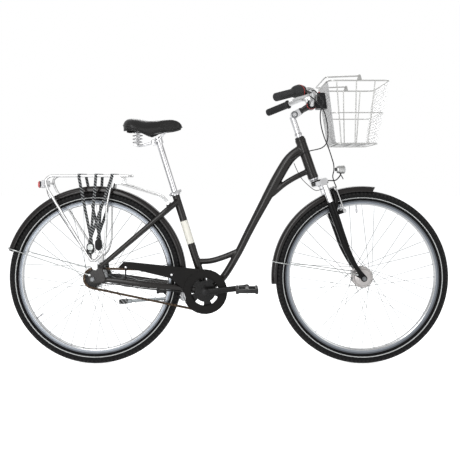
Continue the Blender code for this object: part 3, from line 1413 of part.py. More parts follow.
def build_seat_collar():
    """Split collar at the seat tube's mouth; its ears are drawn together by the lever's bolt."""
    centre = seat(SEAT_TUBE_LENGTH - COLLAR_HEIGHT / 2)
    hole = bore(SEAT_TUBE_RADIUS, 14)
    band = ring(centre, SEAT_UP, hole, SEAT_TUBE_RADIUS + COLLAR_WALL, COLLAR_HEIGHT, 14)
    turn = Matrix.Rotation(-SEAT_ANGLE, 4, "Y")
    ears = []
    for side in (-1, 1):
        ears.append(block(seat(SEAT_TUBE_LENGTH - COLLAR_HEIGHT / 2, -0.0265, side * 0.0050),
                          (0.016, 0.0060, COLLAR_HEIGHT * 0.85), turn))
    collar = union(band, *ears)
    bolt_hole = cylinder(seat(SEAT_TUBE_LENGTH - COLLAR_HEIGHT / 2, -0.0285), ALONG_Y,
                         bore(0.0025, 8), 0.04, 8)
    return piece("seat_collar", "alloy", cut(collar, bolt_hole))


def build_seat_lever():
    """Quick release: bolt through the ears, nut on the left and the curved lever on the right."""
    pivot = seat(SEAT_TUBE_LENGTH - COLLAR_HEIGHT / 2, -0.0285)
    nut_face = 0.0080 + GAP
    bolt = cylinder(pivot, ALONG_Y, 0.0025, 2 * nut_face + 0.010, 8)
    nut = cylinder(pivot + ALONG_Y * (nut_face + 0.003), ALONG_Y, 0.0060, 0.006, 6)
    head_piece = cylinder(pivot - ALONG_Y * (nut_face + 0.004), ALONG_Y, 0.0075, 0.008, 10)
    y = -(nut_face + 0.0055)
    lever_path = [pivot + ALONG_Y * y, pivot + SEAT_FORWARD * 0.018 + ALONG_Y * (y - 0.0105),
                  pivot + SEAT_FORWARD * 0.040 + SEAT_UP * 0.002 + ALONG_Y * (y - 0.0105),
                  pivot + SEAT_FORWARD * 0.058 + SEAT_UP * 0.005 + ALONG_Y * (y - 0.0065)]
    lever = oval_tube(lever_path, [0.0030, 0.0030, 0.0028, 0.0022], [0.0055, 0.0060, 0.0065, 0.0050],
                      sides=6)
    node = piece("seat_lever", "alloy", union(bolt, nut, head_piece, lever))
    carry(node, guide("seat_lever_axis", pivot))


def build_seatpost():
    """Straight post, its head clamp, and the barrel behind it for the rail bolt."""
    post = bar_between(seat(SEAT_TUBE_LENGTH - SEATPOST_INSERTION), seat(POST_TOP),
                       SEATPOST_RADIUS, 14)
    band = cylinder(seat(CLAMP_ALONG), SEAT_UP, SEATPOST_RADIUS + 0.0050, 0.022, 12)
    barrel = cylinder(CLAMP_PIVOT, ALONG_Y, 0.0088, 2 * CLAMP_HALF_WIDTH, 12)
    hole = cylinder(CLAMP_PIVOT, ALONG_Y, bore(CLAMP_BOLT_RADIUS, 8), 0.05, 8)
    return piece("seatpost", "chrome", cut(union(post, band, barrel), hole))


CLAMP_ALONG = POST_TOP - 0.018
CLAMP_PIVOT = seat(CLAMP_ALONG, -0.0195)
CLAMP_BOLT_RADIUS = 0.0040
CLAMP_HALF_WIDTH = 0.0172
WASHER_THICKNESS = 0.0110
SADDLE_TOP = CLAMP_PIVOT.z + SADDLE_ABOVE_CLAMP
SADDLE_REAR_X = CLAMP_PIVOT.x - SADDLE_BEHIND_CLAMP
PAN_TOP = SADDLE_TOP - 0.0563
PAN_THICKNESS = 0.0030
SPRING_SEAT = PAN_TOP - 0.0460
SPRING_X = SADDLE_REAR_X + 0.056


def build_saddle_rails():
    """Both rails in one wire, the washers that grip them, the bolt, and the spring bridge."""
    half = RAIL_SPACING / 2
    under_pan = PAN_TOP - PAN_THICKNESS - RAIL_RADIUS - GAP
    pivot = CLAMP_PIVOT
    bridge_z = SPRING_SEAT - 0.0015
    right = [at(SPRING_X, bridge_z, -half - 0.004), at(SPRING_X + 0.026, bridge_z + 0.003, -half),
             at(pivot.x, pivot.z + 0.003, -half), at(pivot.x + 0.024, pivot.z + 0.016, -half),
             at(pivot.x + 0.048, under_pan - 0.001, -half * 0.86),
             at(pivot.x + 0.080, under_pan, -half * 0.55), at(pivot.x + 0.092, under_pan, -half * 0.2)]
    left = [point * Vector((1, -1, 1)) for point in reversed(right)]
    wire = rod(right + left, RAIL_RADIUS, 6)
    washers = []
    for side in (-1, 1):
        middle = CLAMP_HALF_WIDTH + GAP + WASHER_THICKNESS / 2
        washers.append(cylinder(pivot + ALONG_Y * side * middle, ALONG_Y, 0.0120,
                                WASHER_THICKNESS, 10))
    bolt = cylinder(pivot, ALONG_Y, CLAMP_BOLT_RADIUS, 0.064, 8)
    bridge = block(at(SPRING_X, bridge_z), (0.020, SPRING_SPACING + 0.034, 0.0030))
    rails = union_many(wire, [*washers, bolt, bridge])
    return piece("saddle_rails", "chrome", rails)


def build_saddle_spring(name, side):
    """A coil between the spring bridge and the saddle's pan, its ends straight and upright."""
    bottom = SPRING_SEAT + GAP
    top = PAN_TOP - PAN_THICKNESS - GAP
    straight = 2 * SPRING_WIRE_RADIUS
    centre = at(SPRING_X, 0, side * SPRING_SPACING / 2)
    count = 8 * SPRING_TURNS
    points = []
    for index in range(count + 1):
        share = index / count
        angle = side * 2 * math.pi * SPRING_TURNS * share
        height = bottom + straight + (top - bottom - 2 * straight) * share
        points.append(centre + Vector((SPRING_RADIUS * math.cos(angle),
                                       SPRING_RADIUS * math.sin(angle), height)))
    points.insert(0, points[0] - ALONG_Z * straight)
    points.append(points[-1] + ALONG_Z * straight)
    pitch = (top - bottom - 2 * straight) / SPRING_TURNS
    print(name, "least gap to itself", round((pitch - 2 * SPRING_WIRE_RADIUS) * 1000, 2), "mm")
    return piece(name, "chrome", rod(points, SPRING_WIRE_RADIUS, 5))


# Saddle stations from rear to nose: distance from the rear, half width, top, side and skirt
# heights below the saddle's highest level
SADDLE_STATIONS = [
    (0.000, 0.045, 0.0260, 0.034, 0.0450),
    (0.012, 0.078, 0.0080, 0.026, 0.0560),
    (0.040, 0.094, 0.0000, 0.020, 0.0670),
    (0.075, 0.090, 0.0030, 0.022, 0.0720),
    (0.108, 0.070, 0.0080, 0.026, 0.0720),
    (0.140, 0.049, 0.0075, 0.026, 0.0640),
    (0.170, 0.037, 0.0040, 0.023, 0.0580),
    (0.200, 0.031, 0.0050, 0.022, 0.0540),
    (0.226, 0.026, 0.0130, 0.026, 0.0500),
    (0.241, 0.014, 0.0260, 0.034, 0.0460),
]


def build_saddle():
    """Padded top: a crowned form with a skirt, wide behind and narrow at the nose."""
    under = PAN_TOP + GAP
    width_scale = SADDLE_WIDTH / 0.190
    length_scale = SADDLE_LENGTH / 0.241
    sections = []
    for along, half_width, top, side, skirt in SADDLE_STATIONS:
        x = SADDLE_REAR_X + along * length_scale
        half = half_width * width_scale
        peak = SADDLE_TOP + 0.006 - top
        side_z = SADDLE_TOP + 0.006 - side
        skirt_z = SADDLE_TOP + 0.006 - skirt
        low = min(skirt_z, under)
        half_section = [(0.0, peak - 0.0010), (half * 0.45, peak), (half * 0.86, side_z + 0.006),
                        (half, (side_z + skirt_z) / 2), (half * 0.97, low),
                        (half * 0.84, low + 0.001), (half * 0.76, under), (0.0, under)]
        right = [at(x, z, -y) for y, z in half_section]
        left = [at(x, z, y) for y, z in half_section[1:-1]]
        sections.append(right + left[::-1])
    return piece("saddle", "vinyl", loft(sections), 60.0)


def build_saddle_pan():
    """Stiff base inside the skirt, which the springs and the rails' nose bear on."""
    outline = []
    for along, half_width, _, _, _ in SADDLE_STATIONS[1:-1]:
        outline.append((SADDLE_REAR_X + along * SADDLE_LENGTH / 0.241,
                        half_width * 0.66 * SADDLE_WIDTH / 0.190))
    corners = outline + [(x, -y) for x, y in reversed(outline)]
    curve = bpy.data.curves.new("pan", "CURVE")
    curve.dimensions = "2D"
    curve.fill_mode = "BOTH"
    curve.extrude = PAN_THICKNESS / 2
    spline = curve.splines.new("POLY")
    spline.points.add(len(corners) - 1)
    for point, (x, y) in zip(spline.points, corners):
        point.co = (x, y, 0.0, 1.0)
    spline.use_cyclic_u = True
    obj = link(bpy.data.objects.new("pan", curve))
    obj.location = (0, 0, PAN_TOP - PAN_THICKNESS / 2)
    return piece("saddle_pan", "plastic_black", realise(obj))


def build_seat_group():
    build_seat_collar()
    build_seat_lever()
    slide = guide("saddle_height_axis", seat(POST_TOP))
    carry(build_seatpost(), slide)
    tilt = guide("saddle_tilt_axis", CLAMP_PIVOT, slide)
    carry_all(tilt, build_saddle_rails(), build_saddle_pan(), build_saddle(),
              build_saddle_spring("saddle_spring_right", -1),
              build_saddle_spring("saddle_spring_left", 1))


# Fork

HEAD_TURN = Matrix.Rotation(-HEAD_ANGLE, 4, "Y")
LEG_Y = STANCHION_SPACING / 2
CROWN_TOP = -HEADSET_CUP_HEIGHT - GAP
CROWN_MIDDLE = CROWN_TOP - CROWN_HEIGHT / 2
LOWER_TOP = -0.1120
STANCHION_END = LOWER_TOP - 0.110
LOCKNUT_BASE = HEAD_TUBE_LENGTH + HEADSET_CUP_HEIGHT + GAP


def build_headset(name, low):
    """Bearing cup pressed on one end of the head tube; its skirt sits in the tube's bore."""
    skirt = 0.008
    hole = bore(STEERER_RADIUS, 14)
    inside = (HEAD_TUBE_BORE - GAP) * math.cos(math.pi / 16)
    base = 0.0 if low else HEAD_TUBE_LENGTH
    turn = -1 if low else 1
    profile = [(hole, HEADSET_CUP_HEIGHT), (HEADSET_CUP_RADIUS - 0.003, HEADSET_CUP_HEIGHT),
               (HEADSET_CUP_RADIUS, HEADSET_CUP_HEIGHT * 0.55), (HEADSET_CUP_RADIUS, GAP),
               (inside, GAP), (inside, -skirt), (hole, -skirt)]
    cup = turned(profile, head(base), HEAD_UP * turn, 14, closed=True)
    return piece(name, "alloy", cup)


def build_fork_crown():
    """Steerer, crown and the two stanchions that slide in the lower legs."""
    bottom = CROWN_MIDDLE
    top = LOCKNUT_BASE + 0.008
    steerer = cylinder(head((bottom + top) / 2), HEAD_UP, STEERER_RADIUS, top - bottom, 14)
    race = bar_between(head(CROWN_TOP - 0.004), head(CROWN_TOP), HEADSET_CUP_RADIUS, 14)
    stanchions = []
    for side in (-1, 1):
        y = side * LEG_Y
        stanchions.append(bar_between(head(CROWN_TOP - 0.006, LEG_OFFSET, y),
                                      head(STANCHION_END, LEG_OFFSET, y), STANCHION_RADIUS, 12))
    fork = union_many(crown_body(), [steerer, race, *stanchions])
    steerer_bore = cylinder(head(0.06), HEAD_UP, STEERER_BORE, 0.32, 14)
    return piece("fork_crown", "alloy", cut(fork, steerer_bore))


def crown_body():
    """Crown forging: deep at the steerer and tapering to the two leg sockets."""
    sections = []
    for y, back, front, low in ((-LEG_Y - 0.0165, 0.013, 0.040, 0.0), (-LEG_Y, 0.009, 0.0465, 0.0),
                                (-0.024, -0.020, 0.042, 0.004), (0.024, -0.020, 0.042, 0.004),
                                (LEG_Y, 0.009, 0.0465, 0.0), (LEG_Y + 0.0165, 0.013, 0.040, 0.0)):
        top = CROWN_TOP - 0.0005
        foot = CROWN_TOP - CROWN_HEIGHT + low
        chamfer = 0.006
        sections.append([head(top, back + chamfer, y), head(top, front - chamfer, y),
                         head(top - chamfer, front, y), head(foot + chamfer, front, y),
                         head(foot, front - chamfer, y), head(foot, back + chamfer, y),
                         head(foot + chamfer, back, y), head(top - chamfer, back, y)])
    return loft(sections)


# Lower leg stations: height along the steering axis, distance ahead of it, radius
LEG_STATIONS = [
    (LOWER_TOP, LEG_OFFSET, LEG_RADIUS + 0.0015),
    (LOWER_TOP - 0.012, LEG_OFFSET, LEG_RADIUS + 0.0015),
    (LOWER_TOP - 0.020, LEG_OFFSET, LEG_RADIUS),
    (LOWER_TOP - 0.150, LEG_OFFSET, LEG_RADIUS),
    (0.1303 - FORK_REACH, LEG_OFFSET + 0.001, 0.0125),
    (0.0653 - FORK_REACH, LEG_OFFSET + 0.010, 0.0106),
    (0.0183 - FORK_REACH, LEG_OFFSET + 0.024, 0.0088),
]


def build_fork_lowers():
    """Both lower legs, the arch over the wheel, brake bosses and the dropouts."""
    shapes = []
    for side in (-1, 1):
        path = [head(along, forward, side * LEG_Y) for along, forward, _ in LEG_STATIONS]
        radii = [radius for _, _, radius in LEG_STATIONS]
        shapes.append(rod(path, LEG_RADIUS, 10, radii))
        dropout_y = side * (FRONT_DROPOUT_SPACING + DROPOUT_THICKNESS) / 2
        shapes.append(front_dropout(dropout_y))
        shapes += brake_boss(side)
    shapes.append(fork_arch())
    lowers = union_many(shapes[0], shapes[1:])
    cutters = []
    depth = LOWER_TOP - STANCHION_END + FORK_TRAVEL + 0.006
    for side in (-1, 1):
        start = head(LOWER_TOP + 0.01, LEG_OFFSET, side * LEG_Y)
        end = head(LOWER_TOP - depth, LEG_OFFSET, side * LEG_Y)
        cutters.append(bar_between(start, end, bore(STANCHION_RADIUS, 12), 12))
    hole = cylinder(FRONT_AXLE, ALONG_Y, bore(AXLE_RADIUS, 10), 0.16, 10)
    return piece("fork_lowers", "gloss_black", cut(lowers, *cutters, hole))


ARCH_TOP = -0.0655
ARCH_FORWARD = 0.0555


def fork_arch():
    """Bridge between the lower legs: it rises in front of the crown and over the mudguard."""
    right = [head(LOWER_TOP - 0.040, LEG_OFFSET + 0.008, -LEG_Y),
             head(LOWER_TOP - 0.006, ARCH_FORWARD - 0.004, -LEG_Y + 0.001),
             head(ARCH_TOP - 0.012, ARCH_FORWARD, -0.043), head(ARCH_TOP, ARCH_FORWARD, -0.026)]
    left = [point * Vector((1, -1, 1)) for point in reversed(right)]
    depths = [0.0090, 0.0085, 0.0075, 0.0075]
    return oval_tube(right + left, depths + depths[::-1], [0.0055] * 8, sides=6, side=HEAD_FORWARD)


def front_dropout(y):
    """Teardrop plate between the leg's tip and the front axle."""
    tip = head(LEG_STATIONS[-1][0] + 0.012, LEG_STATIONS[-1][1] - 0.003)
    centre = (FRONT_AXLE.x, FRONT_AXLE.z)
    outline = arc(centre, 0.0135, -170, 50, 8)
    outline += [(tip.x + 0.0075, tip.z + 0.004), (tip.x - 0.0075, tip.z - 0.002),
                (FRONT_AXLE.x - 0.0345, FRONT_AXLE.z + 0.0215),
                (FRONT_AXLE.x - 0.0345, FRONT_AXLE.z + 0.0105)]
    return plate([outline], y, DROPOUT_THICKNESS)


BRAKE_BOSS_RADIUS = 0.0075
BRAKE_PIN_RADIUS = 0.0035
BRAKE_PIVOT_ALONG = -0.1655
BRAKE_ARM_FORWARD = LEG_OFFSET + LEG_RADIUS + 0.0270
BRAKE_ARM_THICKNESS = 0.0090


def brake_pivot(side):
    return head(BRAKE_PIVOT_ALONG, BRAKE_ARM_FORWARD, side * (LEG_Y - 0.010))


def brake_boss(side):
    """Boss in front of the leg, the pin that the brake arm turns on, and its bolt head."""
    pivot = brake_pivot(side)
    face = BRAKE_ARM_THICKNESS / 2 + GAP
    root = pivot - HEAD_FORWARD * (BRAKE_ARM_FORWARD - LEG_OFFSET - 0.004)
    boss = bar_between(root, pivot - HEAD_FORWARD * face, BRAKE_BOSS_RADIUS, 8)
    pin = bar_between(pivot - HEAD_FORWARD * (face + 0.004), pivot + HEAD_FORWARD * (face + 0.002),
                      BRAKE_PIN_RADIUS, 8)
    bolt = bar_between(pivot + HEAD_FORWARD * face, pivot + HEAD_FORWARD * (face + 0.004), 0.0060, 6)
    return [boss, pin, bolt]


def build_brake_arm(name, side):
    """Brake arm on its boss, with the pad holder and pad facing the rim."""
    y = brake_pivot(side).y
    arm_forward = BRAKE_ARM_FORWARD
    arm = oval_tube([head(BRAKE_PIVOT_ALONG - 0.006, arm_forward, y),
                     head(BRAKE_PIVOT_ALONG + 0.035, arm_forward, y),
                     head(BRAKE_PIVOT_ALONG + 0.070, arm_forward, y - side * 0.004),
                     head(BRAKE_PIVOT_ALONG + 0.100, arm_forward, y - side * 0.006)],
                    [0.0085, 0.0070, 0.0060, 0.0050], [0.0040, 0.0040, 0.0036, 0.0034], sides=6)
    hub = cylinder(head(BRAKE_PIVOT_ALONG, arm_forward, y), HEAD_FORWARD, 0.0095,
                   BRAKE_ARM_THICKNESS, 10)
    pad_along = pad_height()
    pad_y = side * (RIM_WIDTH / 2 + PAD_GAP + 0.0055)
    pad_centre = head(pad_along, arm_forward - 0.001, pad_y)
    pad = block(pad_centre, (0.0110, 0.0110, 0.0110), HEAD_TURN)
    rail = bar_between(head(pad_along, arm_forward, pad_y),
                       head(pad_along, arm_forward, y + side * 0.006), 0.0035, 6)
    arm = union(arm, hub, rail, pad)
    hole = cylinder(head(BRAKE_PIVOT_ALONG, arm_forward, y), HEAD_FORWARD,
                    bore(BRAKE_PIN_RADIUS, 8), 0.0250, 8)
    return piece(name, "alloy", cut(arm, hole))


PAD_GAP = 0.0020


def pad_height():
    """Height along the steering axis at which the pad meets the rim's flank."""
    flank = BEAD_SEAT_RADIUS - RIM_DEPTH * 0.2
    forward = BRAKE_ARM_FORWARD - FORK_OFFSET
    return -FORK_REACH + math.sqrt(flank ** 2 - forward ** 2)


def build_headlamp():
    """Lamp on a bent bracket that is bolted to the front of the crown."""
    face = head(CROWN_MIDDLE, 0.042 + GAP)
    lamp_back = HEAD_BASE + at(0.0950, 0.0355)
    profile = [(0, 0.0390), (0.0150, 0.0370), (0.0178, 0.0310), (0.0178, 0.0250), (0.0165, 0.0100),
               (0.0110, 0.0020), (0, 0.0)]
    lamp = turned(profile, lamp_back, ALONG_X, 14)
    foot = cylinder(face + HEAD_FORWARD * 0.003, HEAD_FORWARD, 0.0075, 0.006, 8)
    bend = [face + HEAD_FORWARD * 0.003, face + at(0.022, 0.002), face + at(0.043, 0.018),
            lamp_back + at(0.012, -0.008)]
    bracket = oval_tube(smooth_path(bend, 5), [0.0070] * 5, [0.0022] * 5, sides=4)
    return piece("headlamp", "chrome", union(lamp, foot, bracket))


# Stem and handlebar

STEM_PIVOT = head(HEAD_TUBE_LENGTH + STEM_PIVOT_ABOVE_HEAD, 0.010)
STEM_DIRECTION = Vector((math.cos(STEM_RISE_ANGLE), 0, math.sin(STEM_RISE_ANGLE)))
BAR_CLAMP = STEM_PIVOT + STEM_DIRECTION * STEM_LENGTH
STEM_BOLT_RADIUS = 0.0040
QUILL_DEPTH = 0.120


def build_stem_quill():
    """Column in the steerer with the barrel of the angle joint at its top, and the locknut."""
    top = HEAD_TUBE_LENGTH + STEM_PIVOT_ABOVE_HEAD - 0.004
    bottom = LOCKNUT_BASE + 0.008 - QUILL_DEPTH
    column = cylinder(head((top + bottom) / 2), HEAD_UP, QUILL_RADIUS, top - bottom, 14)
    barrel = cylinder(STEM_PIVOT, ALONG_Y, STEM_PIVOT_RADIUS, STEM_PIVOT_WIDTH, 14)
    nut_base = LOCKNUT_BASE + 0.008 + GAP
    locknut = turned([(0, nut_base + 0.009), (STEERER_RADIUS, nut_base + 0.009),
                      (STEERER_RADIUS + 0.002, nut_base), (0, nut_base)], head(0), HEAD_UP, 14)
    hole = cylinder(STEM_PIVOT, ALONG_Y, bore(STEM_BOLT_RADIUS, 8), STEM_PIVOT_WIDTH + 0.02, 8)
    return piece("stem_quill", "alloy", cut(union(column, barrel, locknut), hole))


def build_stem_extension():
    """Arm of the stem: two cheeks on the angle joint, and the handlebar clamp."""
    inner = STEM_PIVOT_WIDTH / 2 + GAP
    cheek_thickness = 0.0050
    shapes = []
    for side in (-1, 1):
        y = side * (inner + cheek_thickness / 2)
        centre = (STEM_PIVOT.x, STEM_PIVOT.z)
        rise = math.degrees(STEM_RISE_ANGLE)
        outline = arc(centre, STEM_PIVOT_RADIUS - 0.001, rise + 75, rise + 285, 8)
        for drop in (-1, 1):
            point = STEM_PIVOT + STEM_DIRECTION * 0.034
            across = Vector((-STEM_DIRECTION.z, 0, STEM_DIRECTION.x)) * 0.0125 * drop
            outline.append(((point + across).x, (point + across).z))
        shapes.append(plate([outline], y, cheek_thickness))
    start = STEM_PIVOT + STEM_DIRECTION * (STEM_PIVOT_RADIUS + 0.0020)
    middle = STEM_PIVOT + STEM_DIRECTION * (STEM_LENGTH * 0.55)
    half = inner + cheek_thickness
    shapes.append(oval_tube([start, middle, BAR_CLAMP], [half, half * 0.95, half * 0.85],
                            [0.0115, 0.0125, 0.0150], sides=8))
    clamp = cylinder(BAR_CLAMP, ALONG_Y, STEM_CLAMP_RADIUS, STEM_CLAMP_WIDTH, 14)
    bolt = cylinder(STEM_PIVOT, ALONG_Y, STEM_BOLT_RADIUS, 2 * half + 0.004, 8)
    arm = union_many(clamp, [*shapes, bolt])
    hole = cylinder(BAR_CLAMP, ALONG_Y, bore(BAR_CENTRE_RADIUS, 12), STEM_CLAMP_WIDTH + 0.03, 12)
    return piece("stem_extension", "gloss_black", cut(arm, hole))


# The handlebar's left half from the clamp outwards, as offsets from the clamp: forward, up, out
BAR_ROUTE = [(0.000, 0.000, 0.000), (0.000, 0.000, 0.0365), (-0.002, 0.012, 0.070),
             (-0.004, 0.031, 0.108), (-0.012, 0.041, 0.145), (-0.027, 0.0425, 0.176)]
BAR_TIP_BACK = 0.1624
BAR_TIP_DROP = 0.0028
BAR_TIP_OUT = BAR_SPAN / 2 - 0.0130
BAR_BEND = (-0.0464, 0.0372, BAR_TIP_OUT - 0.097)


def bar_bend(side):
    forward, up, out = BAR_BEND
    return BAR_CLAMP + at(forward, up, side * out)


def bar_tip(side):
    return BAR_CLAMP + at(-BAR_TIP_BACK, -BAR_TIP_DROP, side * BAR_TIP_OUT)


def bar_outward(side):
    return (bar_tip(side) - bar_bend(side)).normalized()


def bar_station(side, from_tip):
    return bar_tip(side) - bar_outward(side) * from_tip


def build_handlebar():
    widening = BAR_BEND[2] / 0.200
    half = [BAR_CLAMP + at(forward, up, out * widening) for forward, up, out in BAR_ROUTE[1:]]
    curve = smooth_path(half + [bar_bend(1)], 8)
    left = curve + [bar_tip(1)]
    radii = [BAR_CENTRE_RADIUS] + [BAR_RADIUS] * (len(left) - 1)
    right = [point * Vector((1, -1, 1)) for point in left]
    points = right[::-1] + left
    bar = rod(points, BAR_RADIUS, 10, radii[::-1] + radii)
    return piece("handlebar", "alloy", bar)


def build_grip(name, side, length, flange):
    """Rubber sleeve with a closed end, ribbed by a few shallow steps."""
    hole = bore(BAR_RADIUS, 12)
    end = 0.0040
    stop = 0.0006
    ribs = []
    count = 3
    for rib in range(count):
        low = -length + 0.012 + rib * (length - 0.020) / count
        ribs.append((GRIP_RADIUS, low))
        ribs.append((GRIP_RADIUS - 0.0010, low + 0.004))
    outer = [(GRIP_RADIUS - 0.003, end), (GRIP_RADIUS, end - 0.003)]
    outer += ribs[::-1]
    outer += [(GRIP_RADIUS + flange, -length + 0.008), (GRIP_RADIUS + flange, -length)]
    profile = [(0, end)] + outer + [(hole, -length), (hole, stop), (0, stop)]
    grip = turned(profile, bar_tip(side), bar_outward(side), 12)
    return piece(name, "rubber", grip)


def bar_sleeve(side, start, end, outer_start, outer_end, steps=12):
    """A ring round the straight part of the bar, between two distances from its tip."""
    hole = bore(BAR_RADIUS, steps)
    profile = [(hole, -start), (outer_start, -start), (outer_end, -end), (hole, -end)]
    return turned(profile, bar_tip(side), bar_outward(side), steps, closed=True)


SHIFTER_START = SHORT_GRIP_LENGTH + GAP
SHIFTER_END = SHIFTER_START + SHIFTER_LENGTH
CONTROL_START = SHIFTER_END + GAP
CONTROL_END = CONTROL_START + 0.026
LEVER_REACH = 0.036
LEVER_THICKNESS = 0.0090
LEVER_LENGTH = 0.112


def lever_forward():
    outward = bar_outward(-1)
    level = ALONG_Z.cross(outward).normalized()
    upright = (ALONG_Z - outward * outward.z).normalized()
    droop = math.radians(28)
    return (level * math.cos(droop) - upright * math.sin(droop)).normalized()


def lever_pivot():
    return bar_station(-1, CONTROL_END - 0.008) + lever_forward() * LEVER_REACH


def build_shift_grip():
    """Bulbous twist grip that turns on the bar between the short grip and the controls."""
    hole = bore(BAR_RADIUS, 12)
    start = -SHIFTER_START
    end = -SHIFTER_END
    profile = [(hole, start), (GRIP_RADIUS + 0.001, start), (SHIFTER_RADIUS - 0.001, start - 0.012),
               (SHIFTER_RADIUS, start - 0.026), (SHIFTER_RADIUS - 0.001, end), (hole, end)]
    grip = turned(profile, bar_tip(-1), bar_outward(-1), 12, closed=True)
    return piece("shift_grip", "rubber", grip)


def build_controls():
    """Fixed shifter housing and the brake lever's bracket, clamped on the bar as one unit."""
    outward = bar_outward(-1)
    forward = lever_forward()
    hinge = outward.cross(forward)
    housing = bar_sleeve(-1, CONTROL_START, CONTROL_START + 0.014, SHIFTER_RADIUS + 0.0015,
                         SHIFTER_RADIUS)
    clamp = bar_sleeve(-1, CONTROL_START + 0.0138, CONTROL_END, 0.0165, 0.0165)
    pivot = lever_pivot()
    base = bar_station(-1, CONTROL_END - 0.008)
    arms = []
    for side in (-1, 1):
        offset = hinge * side * (LEVER_THICKNESS / 2 + GAP + 0.0020)
        arms.append(oval_tube([base + forward * 0.014 + offset, pivot + forward * 0.006 + offset],
                              [0.0020, 0.0020], [0.0075, 0.0065], sides=6, side=hinge))
    barrel = bar_between(base + forward * 0.0190 - outward * 0.004,
                         base + forward * 0.0190 - outward * 0.024, 0.0045, 8)
    block_body = bar_between(base + forward * 0.010, base + forward * 0.0215, 0.0082, 8)
    pin = bar_between(pivot - hinge * 0.0085, pivot + hinge * 0.0085, LEVER_PIN_RADIUS, 8)
    controls = union_many(housing, [clamp, *arms, barrel, block_body, pin])
    tip = bar_tip(-1)
    hole = bar_between(tip - outward * (CONTROL_START - 0.01), tip - outward * (CONTROL_END + 0.01),
                       bore(BAR_RADIUS, 12), 12)
    return piece("bar_controls", "alloy", cut(controls, hole))


LEVER_PIN_RADIUS = 0.0028


def build_brake_lever():
    """Brake lever blade: it hangs in its bracket and reaches out under the grip."""
    outward = bar_outward(-1)
    forward = lever_forward()
    hinge = outward.cross(forward)
    pivot = lever_pivot()
    blade = oval_tube([pivot - outward * 0.006 - forward * 0.002, pivot + outward * 0.012 + forward * 0.006,
                       pivot + outward * 0.040 + forward * 0.011,
                       pivot + outward * LEVER_LENGTH * 0.75 + forward * 0.011,
                       pivot + outward * LEVER_LENGTH + forward * 0.016],
                      [LEVER_THICKNESS / 2, LEVER_THICKNESS / 2, 0.0070, 0.0075, 0.0060],
                      [0.0060, 0.0055, 0.0030, 0.0030, 0.0030], sides=6, side=hinge)
    knuckle = bar_between(pivot - hinge * LEVER_THICKNESS / 2, pivot + hinge * LEVER_THICKNESS / 2,
                          0.0075, 10)
    lever = union(blade, knuckle)
    hole = bar_between(pivot - hinge * 0.02, pivot + hinge * 0.02, bore(LEVER_PIN_RADIUS, 8), 8)
    return piece("brake_lever", "alloy", cut(lever, hole))


# Basket and its adapter

BASKET_TOP_Z = BAR_CLAMP.z + BASKET_ABOVE_BAR
BASKET_FLOOR_Z = BASKET_TOP_Z - BASKET_HEIGHT
BASKET_REAR_X = BAR_CLAMP.x + BASKET_AHEAD
BASKET_FRONT_X = BASKET_REAR_X + BASKET_LENGTH
BASKET_MIDDLE_Z = BASKET_FLOOR_Z + (BASKET_TOP_Z - BASKET_FLOOR_Z) * 0.494
MOUNT_PLATE_THICKNESS = 0.0060
MOUNT_PLATE_HALF_WIDTH = 0.031
ADAPTER_TOP_RISE = 0.0470
ADAPTER_DROP = 0.0175
BUTTON_RADIUS = 0.0055


def basket_level(z):
    """Rear x, front x and half width of the basket's walls at a height."""
    share = (BASKET_TOP_Z - z) / (BASKET_TOP_Z - BASKET_FLOOR_Z)
    rear = BASKET_REAR_X + share * BASKET_REAR_INSET
    front = BASKET_FRONT_X - share * BASKET_FRONT_INSET
    half = BASKET_TOP_HALF_WIDTH + share * (BASKET_FLOOR_HALF_WIDTH - BASKET_TOP_HALF_WIDTH)
    return rear, front, half


def basket_ring(z, radius):
    rear, front, half = basket_level(z)
    corner = 0.028
    points = []
    for x, y, start in ((front - corner, half - corner, 0), (rear + corner, half - corner, 90),
                        (rear + corner, -half + corner, 180), (front - corner, -half + corner, 270)):
        for angle in np.radians(np.linspace(start, start + 90, 3)):
            points.append(at(x + corner * math.cos(angle), z, y + corner * math.sin(angle)))
    return rod(points, radius, 5, cyclic=True)


BASKET_HOOP_SHARES = [0.14, 0.46, 0.76]
WALL_WIRE_RADIUS = RIM_WIRE_RADIUS * 0.75
NET_WIRES = 15
NET_MARGIN = 0.030


def basket_hoop(share):
    """A wire down one side wall, under the floor and up the other side wall."""
    half_path = []
    for z in (BASKET_TOP_Z, BASKET_FLOOR_Z):
        rear, front, half = basket_level(z)
        half_path.append(at(rear + share * (front - rear), z - GAP, -half + WALL_WIRE_RADIUS / 2))
    path = half_path + [point * Vector((1, -1, 1)) for point in reversed(half_path)]
    return rod(path, WALL_WIRE_RADIUS, 5)


def basket_net_wire(share):
    """A thin wire from the rim down the front wall, over the floor and up the rear wall.

    It leaves the rim's middle and leans inwards, so that it passes inside the other wires.
    """
    clear = WALL_WIRE_RADIUS + NET_WIRE_RADIUS + GAP
    rear, front, half = basket_level(BASKET_TOP_Z)
    top_y = share * (half - NET_MARGIN)
    low_rear, low_front, low_half = basket_level(BASKET_FLOOR_Z)
    low_y = share * (low_half - NET_MARGIN)
    low_z = BASKET_FLOOR_Z + clear
    path = [at(front, BASKET_TOP_Z - GAP, top_y), at(low_front - 2.2 * clear, low_z, low_y),
            at(low_rear + 2.2 * clear, low_z, low_y), at(rear, BASKET_TOP_Z - GAP, top_y)]
    return rod(path, NET_WIRE_RADIUS, 4)


